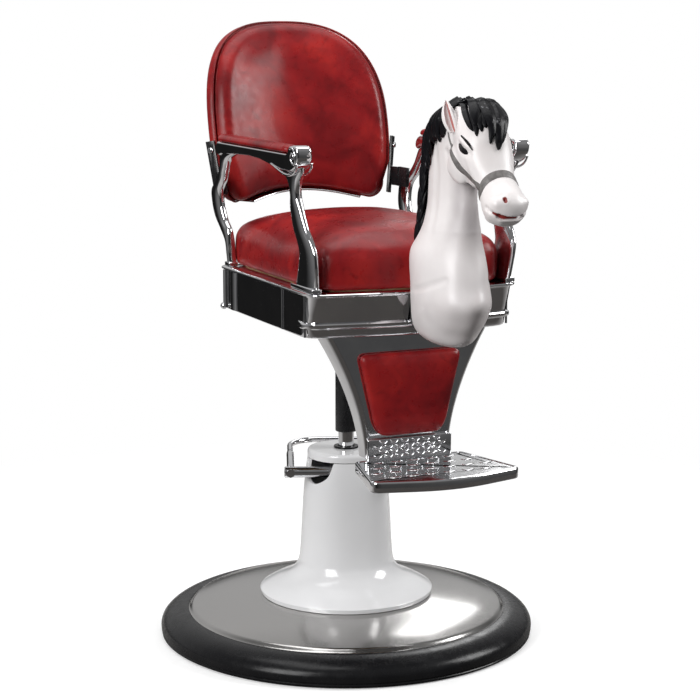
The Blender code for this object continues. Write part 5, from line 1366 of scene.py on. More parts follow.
@dataclass
class SeatCushion:
    """Boxed leather cushion with a crowned top and a sewn seam round it."""

    shop: Workshop
    half_width: float = 0.166
    rear: float = 0.128
    front: float = 0.268
    bow: float = 0.026
    corner: float = 0.034
    rear_corner: float = 0.022
    low: float = 0.6403
    seam: float = 0.708
    crown: float = 0.026
    arm_inner: float = 0.162
    arm_splay: float = 0.022
    arm_rise: float = 0.216

    def loop(self, inset: float) -> list[Vector]:
        """Give the cushion's outline in plan, drawn in.

        Args:
            inset: distance inwards.

        Returns:
            The outline.
        """
        half = self.half_width - inset
        front = -self.front + inset
        bow = self.bow * half / self.half_width
        rear = self.rear - inset
        corners = [(half, rear), (-half, rear), (-half, front), (0.0, front - bow), (half, front)]
        cuts = [self.rear_corner, self.rear_corner, self.corner, self.half_width / 2, self.corner]
        return even_loop(rounded_loop(corners, cuts, 8), 96)

    def build(self) -> None:
        """Build the cushion, blow it up and sew its seam."""
        levels = [(0.060, self.low), (0.0085, self.low), (0.0062, self.low + 0.002)]
        wall = ((0.0044, 0.12), (0.0030, 0.5), (0.0034, 0.76), (0.0070, 0.92))
        levels += [(inset, lerp(self.low, self.seam, share)) for inset, share in wall]
        top = ((0.0130, 0.10), (0.0230, 0.36), (0.0400, 0.62), (0.064, 0.82), (0.094, 0.95), (0.130, 1.0))
        levels += [(inset, self.seam + self.crown * share) for inset, share in top]
        rings = [level_loop(self.loop(inset), level) for inset, level in levels]
        stuffing = Stuffing(0.005, 4.0, 0.012)
        held = self.low + 0.006
        stuffing.pad(self.shop, "cushion", "seat_cushion", rings, lambda place: place.z < held, 0.85,
                     self.sew)

    def sew(self, mesh: Mesh) -> None:
        """Press the seam and the pleats at the front corners.

        Args:
            mesh: the cushion's mesh.
        """
        self.hold_between_arms(mesh)
        press(mesh, level_loop(even_loop(self.loop(0.0), 360), self.seam + 0.001), 0.006, 0.0012)
        for side in (-1.0, 1.0):
            corner = Vector((side * (self.half_width - 0.006), -self.front + 0.006))
            pleat = [(corner.x, corner.y, lerp(self.low, self.seam, step / 12)) for step in range(13)]
            press(mesh, pleat, 0.008, 0.0022)

    def hold_between_arms(self, mesh: Mesh) -> None:
        """Keep the cushion's sides clear of the arms and its foot on the frame.

        Args:
            mesh: the cushion's mesh.
        """
        for vertex in mesh.vertices:
            limit = self.arm_inner + self.arm_splay * (vertex.co.z - self.low) / self.arm_rise - 0.0008
            vertex.co.x = min(max(vertex.co.x, -limit), limit)
            vertex.co.z = max(vertex.co.z, self.low)
            vertex.co.y = min(vertex.co.y, self.rear + 0.004)


@dataclass
class Arms:
    """Two chrome arm castings with scrolled tips and red pads."""

    shop: Workshop
    centre: float = 0.168
    splay: float = 0.022
    base: float = 0.6403
    rise: float = 0.216
    rear: float = 0.108
    front: float = -0.272
    web: float = 0.012
    web_crown: float = 0.0020
    rail: float = 0.026
    rail_edge: float = 0.0042
    pad_rear: float = 0.086
    pad_front: float = -0.222
    pad_half: float = 0.015
    pad_thick: float = 0.013
    sole: float = 0.010

    def point(self, along: float, up: float) -> tuple[float, float]:
        """Place a point of the arm's side outline: from the rear forwards, and up from the frame."""
        return lerp(self.rear, self.front, along), self.base + self.rise * up

    def out(self, level: float) -> float:
        """Give how far out the arm's middle plane stands at a height."""
        return self.centre + self.splay * (level - self.base) / self.rise

    def post_edges(self) -> list[tuple[list[Vector], list[Vector]]]:
        """Give the outer and inner side edges of the front and the rear post, from the foot up.

        Returns:
            A pair of edges for each post.
        """
        sole = self.sole
        front_outer = [(0.997, sole), (1.008, 0.120), (1.016, 0.276), (0.988, 0.369), (0.946, 0.462),
                       (0.910, 0.605), (0.893, 0.693), (0.914, 0.786), (0.962, 0.880), (0.950, 0.975)]
        front_inner = [(0.771, sole), (0.818, 0.150), (0.850, 0.276), (0.836, 0.369), (0.812, 0.462),
                       (0.808, 0.605), (0.826, 0.693), (0.812, 0.775), (0.765, 0.840), (0.680, 0.905)]
        rear_outer = [(-0.012, sole), (-0.012, 0.100), (-0.018, 0.200), (-0.070, 0.290), (-0.125, 0.390),
                      (-0.142, 0.500), (-0.130, 0.600), (-0.045, 0.690), (0.002, 0.770), (0.030, 0.880),
                      (0.070, 0.975)]
        rear_inner = [(0.026, sole), (0.026, 0.100), (0.034, 0.200), (0.028, 0.290), (-0.010, 0.365),
                      (-0.034, 0.470), (-0.026, 0.590), (0.036, 0.690), (0.068, 0.770), (0.130, 0.870),
                      (0.300, 0.935)]
        runs = ((front_outer, front_inner), (rear_outer, rear_inner))
        return [tuple(smooth_path([self.point(*place) for place in run], 5) for run in pair) for pair in runs]

    def post_section(self, side: Side, outer: Vector, inner: Vector) -> list[Vector]:
        """Give a post's section between its two edges: a squarish oval.

        Args:
            side: which arm.
            outer: point of the outer edge.
            inner: point of the inner edge.

        Returns:
            The section.
        """
        width = (inner - outer).length
        profile = []
        for step in range(36):
            turn = 2 * math.pi * step / 36
            reach = math.copysign(abs(math.cos(turn)) ** 0.80, math.cos(turn))
            thick = math.copysign(abs(math.sin(turn)) ** 0.88, math.sin(turn))
            profile.append((width / 2 * (1 - reach), (self.web / 2 + self.web_crown) * thick))
        section = []
        for depth, across in profile:
            place = outer.lerp(inner, depth / width)
            section.append(Vector((side.value * self.out(place.y) + across, place.x, place.y)))
        return section

    def rail_outline(self) -> list[Vector]:
        """Give the side outline of the rail under the pad.

        Returns:
            The outline, counter-clockwise.
        """
        tip = [(1.0, 0.975), (0.996, 1.050), (0.962, 1.066), (0.908, 1.056), (0.884, 1.0)]
        rear = [(0.062, 1.0), (0.034, 0.962), (0.034, 0.905), (0.060, 0.885)]
        under = [(0.110, 0.906), (0.260, 0.920), (0.430, 0.929), (0.560, 0.920), (0.680, 0.892),
                 (0.800, 0.869)]
        throat_shade = [(0.912, 0.869), (0.970, 0.905)]
        corners = [self.point(*place) for place in tip + rear + under + throat_shade]
        return self.turned_left(rounded_loop(corners, [0.006] * len(corners), 4))

    @staticmethod
    def turned_left(loop: list[Vector]) -> list[Vector]:
        """Order a flat loop counter-clockwise."""
        area = sum(a.x * b.y - b.x * a.y for a, b in zip(loop, loop[1:] + loop[:1]))
        return loop if area > 0 else loop[::-1]

    def casting(self, side: Side, loop: list[Vector]) -> Shape:
        """Give the rail's outline thickness and rounded edges.

        Args:
            side: which arm.
            loop: outline in the arm's plane.

        Returns:
            The shape.
        """
        half = self.rail / 2
        edge = self.rail_edge
        levels = [(edge * (1 - math.sin(turn)), edge * (1 - math.cos(turn)) - half)
                  for turn in (math.radians(90.0 * step / 4) for step in range(5))]
        levels += [(inset, -across) for inset, across in reversed(levels)]
        rings = []
        for inset, across in levels:
            drawn = inset_loop(loop, inset)
            rings.append([Vector((side.value * self.out(p.y) + across, p.x, p.y)) for p in drawn])
        return lofted(rings)

    def build(self) -> None:
        """Build both arms."""
        for side in Side:
            node = f"arm_{side.label}"
            posts = bmesh.new()
            for outer, inner in self.post_edges():
                loft(posts, [self.post_section(side, start, end) for start, end in zip(outer, inner)])
            settle(posts)
            self.feet(posts, side)
            self.shop.add(f"arm_posts_{side.label}", posts, Look.CHROME, Body.CHAIR, [node], 28.0)
            rail = self.casting(side, self.rail_outline())
            self.shop.add(f"arm_rail_{side.label}", rail, Look.CHROME, Body.CHAIR, [node], 28.0)
            self.scroll(side)
            self.pad(side)

    def feet(self, shape: Shape, side: Side) -> None:
        """Add the flat feet under the posts.

        Args:
            shape: the posts.
            side: which arm.
        """
        for toe, heel in ((1.000, 0.765), (0.040, -0.020)):
            start = self.point(toe, 0.0)[0]
            end = self.point(heel, 0.0)[0]
            centre = (side.value * (self.centre + 0.00225), (start + end) / 2, self.base + 0.0035)
            add_block(shape, (0.0165, end - start, 0.007), centre, 0.0016)
        bmesh.ops.recalc_face_normals(shape, faces=shape.faces)

    def on_face(self, side: Side, face: float, place: float, level: float) -> Vector:
        """Give a place on one of the rail's two faces.

        Args:
            side: which arm.
            face: -1 or 1 for the face.
            place: where it lies, front to rear.
            level: height.

        Returns:
            The place.
        """
        return Vector((side.value * self.out(level) + face * (self.rail / 2 - 0.0003), place, level))

    def scroll(self, side: Side) -> None:
        """Build the carved scrolls on the tip and the collar under it.

        Args:
            side: which arm.
        """
        shape = bmesh.new()
        y, z = self.point(0.944, 0.975)
        for face in (-1.0, 1.0):
            outward = Vector((face, 0.0, 0.0))
            path = []
            for step in range(46):
                turn = math.radians(60.0 + 520.0 * step / 45)
                reach = lerp(0.0155, 0.0030, step / 45)
                place = y + reach * math.cos(turn) * 0.92
                path.append(self.on_face(side, face, place, z + reach * math.sin(turn)))
            swept(shape, path, lambda share: (0.0021 - 0.0006 * share, 0.0019 - 0.0006 * share), 10, outward)
            collar = [(0.700, 0.905), (0.770, 0.872), (0.840, 0.846), (0.905, 0.846), (0.960, 0.880),
                      (0.985, 0.935)]
            path = smooth_path([self.on_face(side, face, *self.point(*place)) for place in collar], 6)
            swept(shape, path, lambda share: (0.0022 * math.sin(math.pi * lerp(0.12, 0.88, share)), 0.0020),
                  10, outward)
        self.shop.add(f"arm_scroll_{side.label}", settle(shape), Look.CHROME, Body.CHAIR, (), 40.0)

    def pad(self, side: Side) -> None:
        """Build one arm's pad.

        Args:
            side: which arm.
        """
        low = self.base + self.rise + GAP
        middle = side.value * self.out(self.base + self.rise)
        levels = [(0.0050, 0.0), (0.0016, 0.0), (0.0008, 0.10), (0.0006, 0.40), (0.0018, 0.66),
                  (0.0052, 0.86), (0.0095, 0.94)]
        rings = []
        for inset, share in levels:
            half = self.pad_half - inset
            rear, front = self.pad_rear - inset, self.pad_front + inset
            corners = [(half, rear), (-half, rear), (-half, front), (half, front)]
            loop = even_loop(rounded_loop(corners, [half * 0.95] * 4, 8), 120)
            rings.append([Vector((middle + p.x, p.y, low + self.pad_thick * share)) for p in loop])
        stuffing = Stuffing(0.003, 3.0, 0.0016)
        node = f"arm_pad_{side.label}"
        stuffing.pad(self.shop, f"arm_cushion_{side.label}", node, rings,
                     lambda place: place.z < low + 0.003, 0.9)


@dataclass
class BackRest:
    """Wrapped leather back: shell, front cushion, stitched side seams, bright strip and straps."""

    shop: Workshop
    bottom: float = 0.742
    height: float = 0.3107
    half_width: float = 0.1934
    arch: float = 0.1835
    squareness: float = 2.6
    taper: float = 0.0198
    corner: float = 0.030
    lower_arch: float = 0.018
    wrap: float = 0.2665
    rear: float = 0.2407
    lean: float = math.radians(13.2)
    shell: float = 0.017
    cushion: float = 0.030
    crown: float = 0.010

    def point(self, across: float, up: float, depth: float) -> Vector:
        """Place a point of the back.

        Args:
            across: distance across, round the curve.
            up: height over the lower edge.
            depth: distance forward of the rear face.

        Returns:
            The place.
        """
        angle = across / self.wrap
        radius = self.wrap - depth
        y = self.rear - self.wrap + radius * math.cos(angle)
        return Vector((radius * math.sin(angle), y + up * math.tan(self.lean), self.bottom + up))

    def loop(self, inset: float, count: int = 120) -> list[Vector]:
        """Give the flat outline of the back, drawn in.

        Args:
            inset: distance inwards.
            count: number of points.

        Returns:
            The outline.
        """
        half = self.half_width - inset
        spring = self.height - self.arch
        power = 2 / self.squareness
        loop = []
        for step in range(97):
            angle = math.pi * step / 96
            x = math.copysign(abs(math.cos(angle)) ** power, math.cos(angle))
            loop.append(Vector((half * x, spring + (self.arch - inset) * math.sin(angle) ** power)))
        foot = half - self.taper
        corner = min(self.corner, foot / 2)
        lower = []
        for share in (0.125, 0.25, 0.375, 0.5):
            lower.append(Vector((half - self.taper * share * share, lerp(spring, inset, share))))
        for step in range(13):
            angle = math.radians(90.0 * step / 12)
            lower.append(Vector((foot - corner * (1 - math.cos(angle)),
                                 inset + corner * (1 - math.sin(angle)))))
        run = foot - corner
        for step in range(1, 13):
            x = run * (1 - step / 12)
            lower.append(Vector((x, inset + self.lower_arch * math.cos(math.pi * x / (2 * run)))))
        loop += [Vector((-point.x, point.y)) for point in lower[:-1]]
        loop += lower[::-1]
        return even_loop(loop, count)

    def ring(self, inset: float, scale: float, depth: float) -> list[Vector]:
        """Give one ring of the back.

        Args:
            inset: distance that the outline is drawn in.
            scale: shrink towards the middle of the face.
            depth: distance forward of the rear face.

        Returns:
            The ring.
        """
        middle = Vector((0.0, self.height / 2))
        ring = []
        for point in self.loop(inset):
            place = middle + (point - middle) * scale
            ring.append(self.point(place.x, place.y, depth))
        return ring

    def build(self) -> None:
        """Build the back."""
        shrink = (0.06, 0.20, 0.36, 0.52, 0.68, 0.84)
        rings = [self.ring(0.010, scale, -0.0002) for scale in shrink]
        edge = [(0.0085, 0.0002), (0.0045, 0.0014), (0.0016, 0.0040), (0.0, 0.0080), (0.0, 0.0140),
                (0.0012, self.shell), (0.0030, self.shell)]
        rings += [self.ring(inset, 1.0, depth) for inset, depth in edge]
        rings += [self.ring(0.004, scale, self.shell) for scale in reversed(shrink)]
        self.shop.add("back_casing", lofted(rings), Look.LEATHER, Body.CHAIR, ["back_shell"], 60.0)
        start = self.shell + GAP
        seam = start + self.cushion
        rings = [self.ring(0.006, scale, start + 0.002) for scale in shrink]
        edge = [(0.0040, 0.0), (0.0016, 0.0004), (0.0008, 0.05), (0.0010, 0.35), (0.0018, 0.60),
                (0.0052, 0.80), (0.0120, 0.93)]
        rings += [self.ring(inset, 1.0, lerp(start, seam, share)) for inset, share in edge]
        rise = [(0.90, 0.10), (0.80, 0.42), (0.66, 0.68), (0.50, 0.85), (0.34, 0.94), (0.18, 0.99),
                (0.06, 1.0)]
        rings += [self.ring(0.012, scale, seam + self.crown * 0.8 * share) for scale, share in rise]
        stuffing = Stuffing(0.0045, 3.0, 0.004)
        held = start + 0.006
        stuffing.pad(self.shop, "back_pad", "back_cushion", rings,
                     lambda place: self.depth_of(place) < held, 0.8)
        self.stitches(start)
        self.trim(seam)
        for side in Side:
            self.shop.eased(f"back_bracket_{side.label}", Look.PAINT, 0.0008)

    def depth_of(self, place: Vector) -> float:
        """Give how far forward of the rear face a place lies."""
        up = place.z - self.bottom
        y = place.y - up * math.tan(self.lean) - (self.rear - self.wrap)
        return self.wrap - math.hypot(place.x, y)

    def stitches(self, start: float) -> None:
        """Sew the row of stitches and the welt round the back's side.

        Args:
            start: depth at which the cushion starts.
        """
        shape = bmesh.new()
        path = [self.point(p.x, p.y, start - 0.0002) for p in self.loop(-0.0006, 300)]
        path.append(path[0])
        middle = self.point(0.0, self.height / 2, start)
        swept(shape, path, (0.0015, 0.0015), 8, lambda point: point - middle)
        self.shop.add("back_welt", settle(shape), Look.LEATHER, Body.CHAIR, (), 80.0)
        shape = bmesh.new()
        line = self.loop(0.0004, 620)
        for index in range(0, len(line), 2):
            if line[index].y < 0.03:
                continue
            first = self.point(line[index].x, line[index].y, start + 0.0052)
            last = self.point(line[index + 1].x, line[index + 1].y, start + 0.0064)
            arch = first.lerp(last, 0.5) + (first - middle).normalized() * 0.0004
            swept(shape, [first, arch, last], (0.0005, 0.0005), 5, lambda point: point - middle)
        self.shop.add("back_stitches", settle(shape), Look.THREAD, Body.CHAIR, (), 80.0)

    def trim(self, seam: float) -> None:
        """Build the bright strip along the lower edge.

        Args:
            seam: depth of the cushion's front edge.
        """
        run = self.half_width - self.taper - self.corner
        rings = []
        for step in range(49):
            across = lerp(-0.128, 0.128, step / 48)
            edge = self.lower_arch * math.cos(math.pi * across / (2 * run)) - 0.0009
            corners = [(edge, 0.002), (edge, seam), (edge - 0.003, seam), (edge - 0.003, 0.002)]
            section = rounded_loop(corners, [0.0011] * 4, 3)
            rings.append([self.point(across, place.x, place.y) for place in section])
        self.shop.add("back_strip", lofted(rings), Look.CHROME, Body.CHAIR, ["back_trim"], 40.0)


@dataclass
class LegRest:
    """Chrome leg panel, red calf pad and the footrest with its raised scales."""

    shop: Workshop
    front: float = 0.247
    sheet: float = 0.003
    bottom: float = 0.364
    top: float = 0.5657
    top_half: float = 0.143
    bottom_half: float = 0.075
    flange: float = 0.028
    flare: float = 0.008
    pad_top: float = 0.538
    pad_bottom: float = 0.3975
    pad_top_half: float = 0.094
    pad_bottom_half: float = 0.054
    pad_thick: float = 0.017
    pad_crown: float = 0.005
    tread_top: float = 0.362
    tread_thick: float = 0.018
    tread_rear_half: float = 0.096
    tread_front_half: float = 0.131
    tread_length: float = 0.142
    tread_bow: float = 0.036
    sink: float = 0.0009
    heel_height: float = 0.034
    heel_thick: float = 0.007

    @property
    def face(self) -> float:
        """Plane in front of the panel that the pad and the step start from."""
        return -self.front - GAP

    def half_at(self, level: float) -> float:
        """Give the panel's half width at a height."""
        share = max((level - self.bottom) / (0.566 - self.bottom), 0.0)
        return lerp(self.bottom_half, self.top_half, share ** 1.75)

    def build(self) -> None:
        """Build the leg rest."""
        self.panel()
        self.pad()
        self.footrest()
        self.scales()

    def panel(self) -> None:
        """Build the tapered panel with its turned-back flanges."""
        rings = []
        for step in range(41):
            level = lerp(self.bottom, self.top, step / 40)
            half = self.half_at(level)
            flare = self.flare * step / 40
            back = -self.front + self.flange
            outer = [(half + flare + 0.0002, back), (half, -self.front + 0.004), (half - 0.007, -self.front)]
            inner = [(half - 0.0085, -self.front + self.sheet), (half - self.sheet, -self.front + 0.0065),
                     (half + flare - self.sheet, back)]
            loop = outer + [(-x, y) for x, y in reversed(outer)]
            loop += [(-x, y) for x, y in reversed(inner)] + inner
            cuts = [0.0012] + [0.005] * 4 + [0.0012] * 2 + [0.003] * 4 + [0.0012]
            rings.append(level_loop(rounded_loop(loop, cuts, 4), level))
        self.shop.add("leg_plate", lofted(rings), Look.CHROME, Body.CHAIR, ["leg_panel"], 40.0)
        tab = bmesh.new()
        add_block(tab, (0.262, 0.029, 0.004), (0.0, -self.front + 0.0170, self.top - 0.002), 0.0008, 2)
        self.shop.add("leg_tab", settle(tab), Look.CHROME, Body.CHAIR)

    def pad_ring(self, inset: float, place: float) -> list[Vector]:
        """Give one ring of the calf pad.

        Args:
            inset: distance that the outline is drawn in.
            place: where the ring stands, front to rear.

        Returns:
            The ring.
        """
        slope = (self.pad_top_half - self.pad_bottom_half) / (self.pad_top - self.pad_bottom)
        low = self.pad_bottom + inset
        high = self.pad_top - inset
        top = self.pad_top_half - inset * (1 + slope)
        bottom = self.pad_bottom_half - inset * (1 - slope)
        cut_half = lerp(bottom, top, 0.13) + 0.006
        right = [(-top, high), (-cut_half, lerp(low, high, 0.13)), (-bottom, low)]
        corners = right + [(-x, z) for x, z in reversed(right)]
        loop = even_loop(rounded_loop(corners, [0.014] * 6, 8), 100)
        return [Vector((p.x, place, p.y)) for p in loop]

    def pad(self) -> None:
        """Build the calf pad."""
        start = self.face
        sections = [(0.030, 0.0), (0.0036, 0.0), (0.0020, 0.08), (0.0016, 0.30), (0.0024, 0.58),
                    (0.0050, 0.82), (0.0100, 0.96)]
        rings = [self.pad_ring(inset, start - self.pad_thick * share) for inset, share in sections]
        for inset, share in ((0.020, 0.45), (0.036, 0.75)):
            rings.append(self.pad_ring(inset, start - self.pad_thick - self.pad_crown * share))
        stuffing = Stuffing(0.0035, 3.5, 0.003)
        held = start - 0.003
        stuffing.pad(self.shop, "calf_cushion", "calf_pad", rings, lambda place: place.y > held, 0.85,
                     self.rest)

    def rest(self, mesh: Mesh) -> None:
        """Keep the calf pad's back on the panel.

        Args:
            mesh: the pad's mesh.
        """
        for vertex in mesh.vertices:
            vertex.co.y = min(vertex.co.y, self.face)

    def tread_loop(self, inset: float) -> list[Vector]:
        """Give the footrest's outline in plan, drawn in.

        Args:
            inset: distance inwards.

        Returns:
            The outline.
        """
        rear = self.face
        front = rear - self.tread_length
        corners = [(self.tread_rear_half, rear), (-self.tread_rear_half, rear),
                   (-self.tread_front_half, front), (0.0, front - self.tread_bow),
                   (self.tread_front_half, front)]
        loop = rounded_loop(corners, [0.010, 0.010, 0.016, self.tread_front_half / 2, 0.016], 10)
        return inset_loop(loop, inset)

    def footrest(self) -> None:
        """Build the step with its rounded rim and the heel plate."""
        top = self.tread_top
        low = top - self.tread_thick
        rim = [(0.0030, 0.0), (0.0014, 0.0005), (0.0004, 0.0016), (0.0, 0.0034)]
        levels = [(0.020, low)] + [(inset, low + rise) for inset, rise in rim]
        levels += [(inset, top - fall) for inset, fall in reversed(rim)]
        levels += [(0.0052, top), (0.0062, top - self.sink), (0.020, top - self.sink)]
        shape = bmesh.new()
        loft(shape, [level_loop(self.tread_loop(inset), level) for inset, level in levels])
        size = (2 * self.bottom_half, self.heel_thick, self.heel_height + 0.006)
        add_block(shape, size, (0.0, self.face - self.heel_thick / 2, top + self.heel_height / 2 - 0.003),
                  0.0022)
        self.shop.add("step", settle(shape), Look.TREAD, Body.CHAIR, ["footrest"], 30.0)

    def scales(self) -> None:
        """Raise the rows of crescents on the step and the heel plate."""
        shape = bmesh.new()
        rear = self.face - self.heel_thick
        ahead = Vector((0.0, -1.0, 0.0))
        for row in range(5):
            place = rear - 0.014 - 0.0330 * row
            for column in range(-5, 6):
                across = (column + 0.5 * (row % 2)) * 0.0320
                if self.on_tread(across, place):
                    self.crescent(shape, Vector((across, place, self.tread_top - self.sink)), ahead, UP, 1.25)
        for row in range(4):
            level = self.tread_top + 0.0060 + 0.0078 * row
            for column in range(-4, 5):
                across = (column + 0.5 * (row % 2)) * 0.0192
                if abs(across) < self.bottom_half - 0.009:
                    self.crescent(shape, Vector((across, rear, level)), -UP, ahead, 0.82)
        self.shop.add("step_scales", settle(shape), Look.TREAD, Body.CHAIR, (), 60.0)

    def on_tread(self, across: float, place: float) -> bool:
        """Tell whether a crescent at this place lies within the step's rim."""
        share = (self.face - place) / self.tread_length
        half = lerp(self.tread_rear_half, self.tread_front_half, min(share, 1.0)) - 0.018
        bow = self.tread_bow * 0.62 * (1 - (across / self.tread_front_half) ** 2)
        front = self.face - self.tread_length - bow + 0.017
        return abs(across) < half and place > front

    @staticmethod
    def crescent(shape: Shape, centre: Vector, bulge: Vector, up: Vector, size: float = 1.0) -> None:
        """Raise one crescent.

        Args:
            shape: shape that takes it.
            centre: middle of its arc.
            bulge: direction of its belly.
            up: direction that it stands out in.
            size: share of the full size.
        """
        sideways = up.cross(bulge)
        path = []
        for step in range(9):
            turn = math.radians(lerp(-72.0, 72.0, step / 8))
            belly = bulge * (math.cos(turn) - 0.6) * 0.0074
            path.append(centre + (sideways * math.sin(turn) * 0.0092 + belly) * size)
        swell = [math.sin(math.pi * step / 8) for step in range(9)]
        sections = [((0.0005 + 0.0021 * share) * size, (0.0003 + 0.0007 * share) * size) for share in swell]
        swept(shape, path, lambda share: sections[round(share * 8)], 8, up)


@dataclass
class Horse:
    """Moulded horse: chest, neck and head with ears, eyes, bridle, mane and forelock."""

    shop: Workshop
    rear: float = 0.311
    bottom: float = 0.566
    rise: float = 0.346
    poll_forward: float = 0.470
    poll: float = 0.912
    length: float = 0.162
    dip: float = math.radians(52.0)
    chest: tuple[float, float, float] = (0.3895, 0.054, 0.090)
    neck: tuple[float, float, float] = (0.397, 0.0295, 0.062)
    cheek: tuple[float, float] = (0.040, 0.068)
    muzzle: tuple[float, float] = (0.033, 0.031)
    voxel: float = 0.0021
    calm_below: float = 0.745
    calm: int = 70

    def head(self, along: float, up: float, across: float) -> Vector:
        """Place a point of the head: along it from the poll, up from its middle line, and across."""
        forward = self.poll_forward + along * math.cos(self.dip) + up * math.sin(self.dip)
        return Vector((across, -forward, self.poll - along * math.sin(self.dip) + up * math.cos(self.dip)))

    def on_head(self, stops: Sequence[Colour], side: float = 1.0) -> list[Vector]:
        """Place a row of points of the head on one of its sides."""
        return [self.head(along, up, side * across) for along, up, across in stops]

    def neck_rings(self) -> list[list[Vector]]:
        """Give the level sections of the chest and neck.

        Returns:
            The rings from the keel up to the poll.
        """
        chest = self.chest
        neck = self.neck
        plan = [
            (0.000, chest, 0.25, 0.30, 0.00), (0.012, chest, 0.45, 0.50, 0.00), (0.034, chest, 0.67, 0.69,
                                                                                 -0.06),
            (0.064, chest, 0.80, 0.80, -0.12), (0.104, chest, 0.90, 0.88, -0.06), (0.150, chest, 0.965,
                                                                                   0.93, 0.00),
            (0.202, chest, 1.00, 1.00, 0.055), (0.272, chest, 0.98, 0.955, 0.00), (0.350, chest, 0.96,
                                                                                   0.955, -0.065),
            (0.419, chest, 0.925, 0.91, -0.11), (0.465, chest, 0.815, 0.82, -0.05), (0.526, neck, 1.29,
                                                                                     1.05, -0.06),
            (0.581, neck, 1.12, 1.02, -0.02), (0.627, neck, 1.02, 1.00, 0.00), (0.676, neck, 0.97, 0.99,
                                                                                0.00),
            (0.763, neck, 0.97, 1.00, 0.05), (0.850, neck, 0.99, 1.04, 0.24), (0.936, neck, 1.01, 0.97, 0.53),
            (1.009, neck, 0.97, 0.81, 0.77), (1.066, neck, 0.73, 0.48, 0.93),
        ]
        stations = []
        for share, (middle, width, depth), wide, deep, shift in plan:
            stations.append((self.bottom + self.rise * share, width * wide, middle + depth * shift,
                             depth * deep))
        rings = []
        for level, half, centre, reach in smooth_path(stations, 4):
            turns = [2 * math.pi * step / 48 for step in range(48)]
            ring = [Vector((half * math.sin(turn), -(centre + reach * math.cos(turn)))) for turn in turns]
            rings.append(level_loop(ring, level))
        return rings

    def head_rings(self) -> list[list[Vector]]:
        """Give the sections across the head.

        Returns:
            The rings from the back of the skull to the lips.
        """
        cheek = self.cheek
        muzzle = self.muzzle
        plan = [
            (-0.125, cheek, 0.58, 0.38, 0.42), (0.000, cheek, 0.77, 0.50, 0.70), (0.155, cheek, 0.92, 0.59,
                                                                                  0.88),
            (0.296, cheek, 1.00, 0.54, 0.98), (0.407, cheek, 0.97, 0.44, 0.87), (0.525, cheek, 0.85, 0.37,
                                                                                 0.64),
            (0.648, muzzle, 0.88, 0.71, 0.98), (0.772, muzzle, 0.93, 0.81, 0.97), (0.895, muzzle, 1.00,
                                                                                   0.96, 1.00),
            (1.000, muzzle, 0.91, 0.87, 0.84), (1.080, muzzle, 0.46, 0.42, 0.40),
        ]
        stations = [(share * self.length, half * wide, depth * above, depth * below)
                    for share, (half, depth), wide, above, below in plan]
        rings = []
        for along, half, above, below in smooth_path(stations, 4):
            ring = []
            for step in range(44):
                turn = 2 * math.pi * step / 44
                tall = (above if math.cos(turn) > 0 else below) * math.cos(turn)
                ring.append(self.head(along, tall, half * math.sin(turn)))
            rings.append(ring)
        return rings

    @staticmethod
    def bulge(shape: Shape, centre: Vector, radii: tuple[float, float, float]) -> None:
        """Add a swelling.

        Args:
            shape: shape that takes it.
            centre: its middle.
            radii: its half sizes.
        """
        made = bmesh.ops.create_icosphere(shape, subdivisions=3, radius=1.0)
        bmesh.ops.scale(shape, vec=radii, verts=made["verts"])
        bmesh.ops.translate(shape, vec=centre, verts=made["verts"])

    def build(self) -> None:
        """Build the horse."""
        body = self.body()
        skin = BVHTree.FromObject(body, bpy.context.evaluated_depsgraph_get())
        for side in Side:
            self.ear(side)
        self.eyes(skin)
        self.bridle(skin)
        self.mane()
        self.forelock(skin)

    def body(self) -> Piece:
        """Melt the chest, neck and head into one skin and carve it.

        Returns:
            The body.
        """
        shape = bmesh.new()
        loft(shape, self.neck_rings())
        loft(shape, self.head_rings())
        half, depth = self.cheek
        wide, tall = self.muzzle
        for side in (-1.0, 1.0):
            cheek = self.head(self.length * 0.30, -depth * 0.50, side * half * 0.70)
            nose = self.head(self.length * 0.93, tall * 0.40, side * wide * 0.54)
            self.bulge(shape, cheek, (0.012, 0.031, 0.031))
            self.bulge(shape, nose, (0.013, 0.014, 0.012))
        self.bulge(shape, self.head(self.length * 0.91, -tall * 0.84, 0.0), (0.020, 0.018, 0.012))
        bmesh.ops.recalc_face_normals(shape, faces=shape.faces)
        piece = self.shop.add("horse_skin", shape, Look.GELCOAT, Body.CHAIR, ["horse_body"], 80.0)
        melt(piece, self.voxel, 16)
        self.redden(piece.data)
        self.carve_body(piece.data)
        shape = bmesh.new()
        shape.from_mesh(piece.data)
        breast = [vertex for vertex in shape.verts if vertex.co.z < self.calm_below]
        axes = {"use_axis_x": True, "use_axis_y": True, "use_axis_z": True}
        for _ in range(self.calm):
            bmesh.ops.smooth_vert(shape, verts=breast, factor=0.5, **axes)
        everything = shape.verts[:] + shape.edges[:] + shape.faces[:]
        cut = bmesh.ops.bisect_plane(shape, geom=everything, plane_co=(0.0, -self.rear, 0.0),
                                     plane_no=(0.0, 1.0, 0.0), clear_outer=True)
        rim = [item for item in cut["geom_cut"] if isinstance(item, bmesh.types.BMEdge)]
        bmesh.ops.edgeloop_fill(shape, edges=rim)
        bmesh.ops.recalc_face_normals(shape, faces=shape.faces)
        shape.to_mesh(piece.data)
        shape.free()
        self.shoulders(piece.data)
        self.airbrush(piece.data)
        self.shop.finish(piece, Look.GELCOAT, Body.CHAIR, (), 60.0)
        return piece

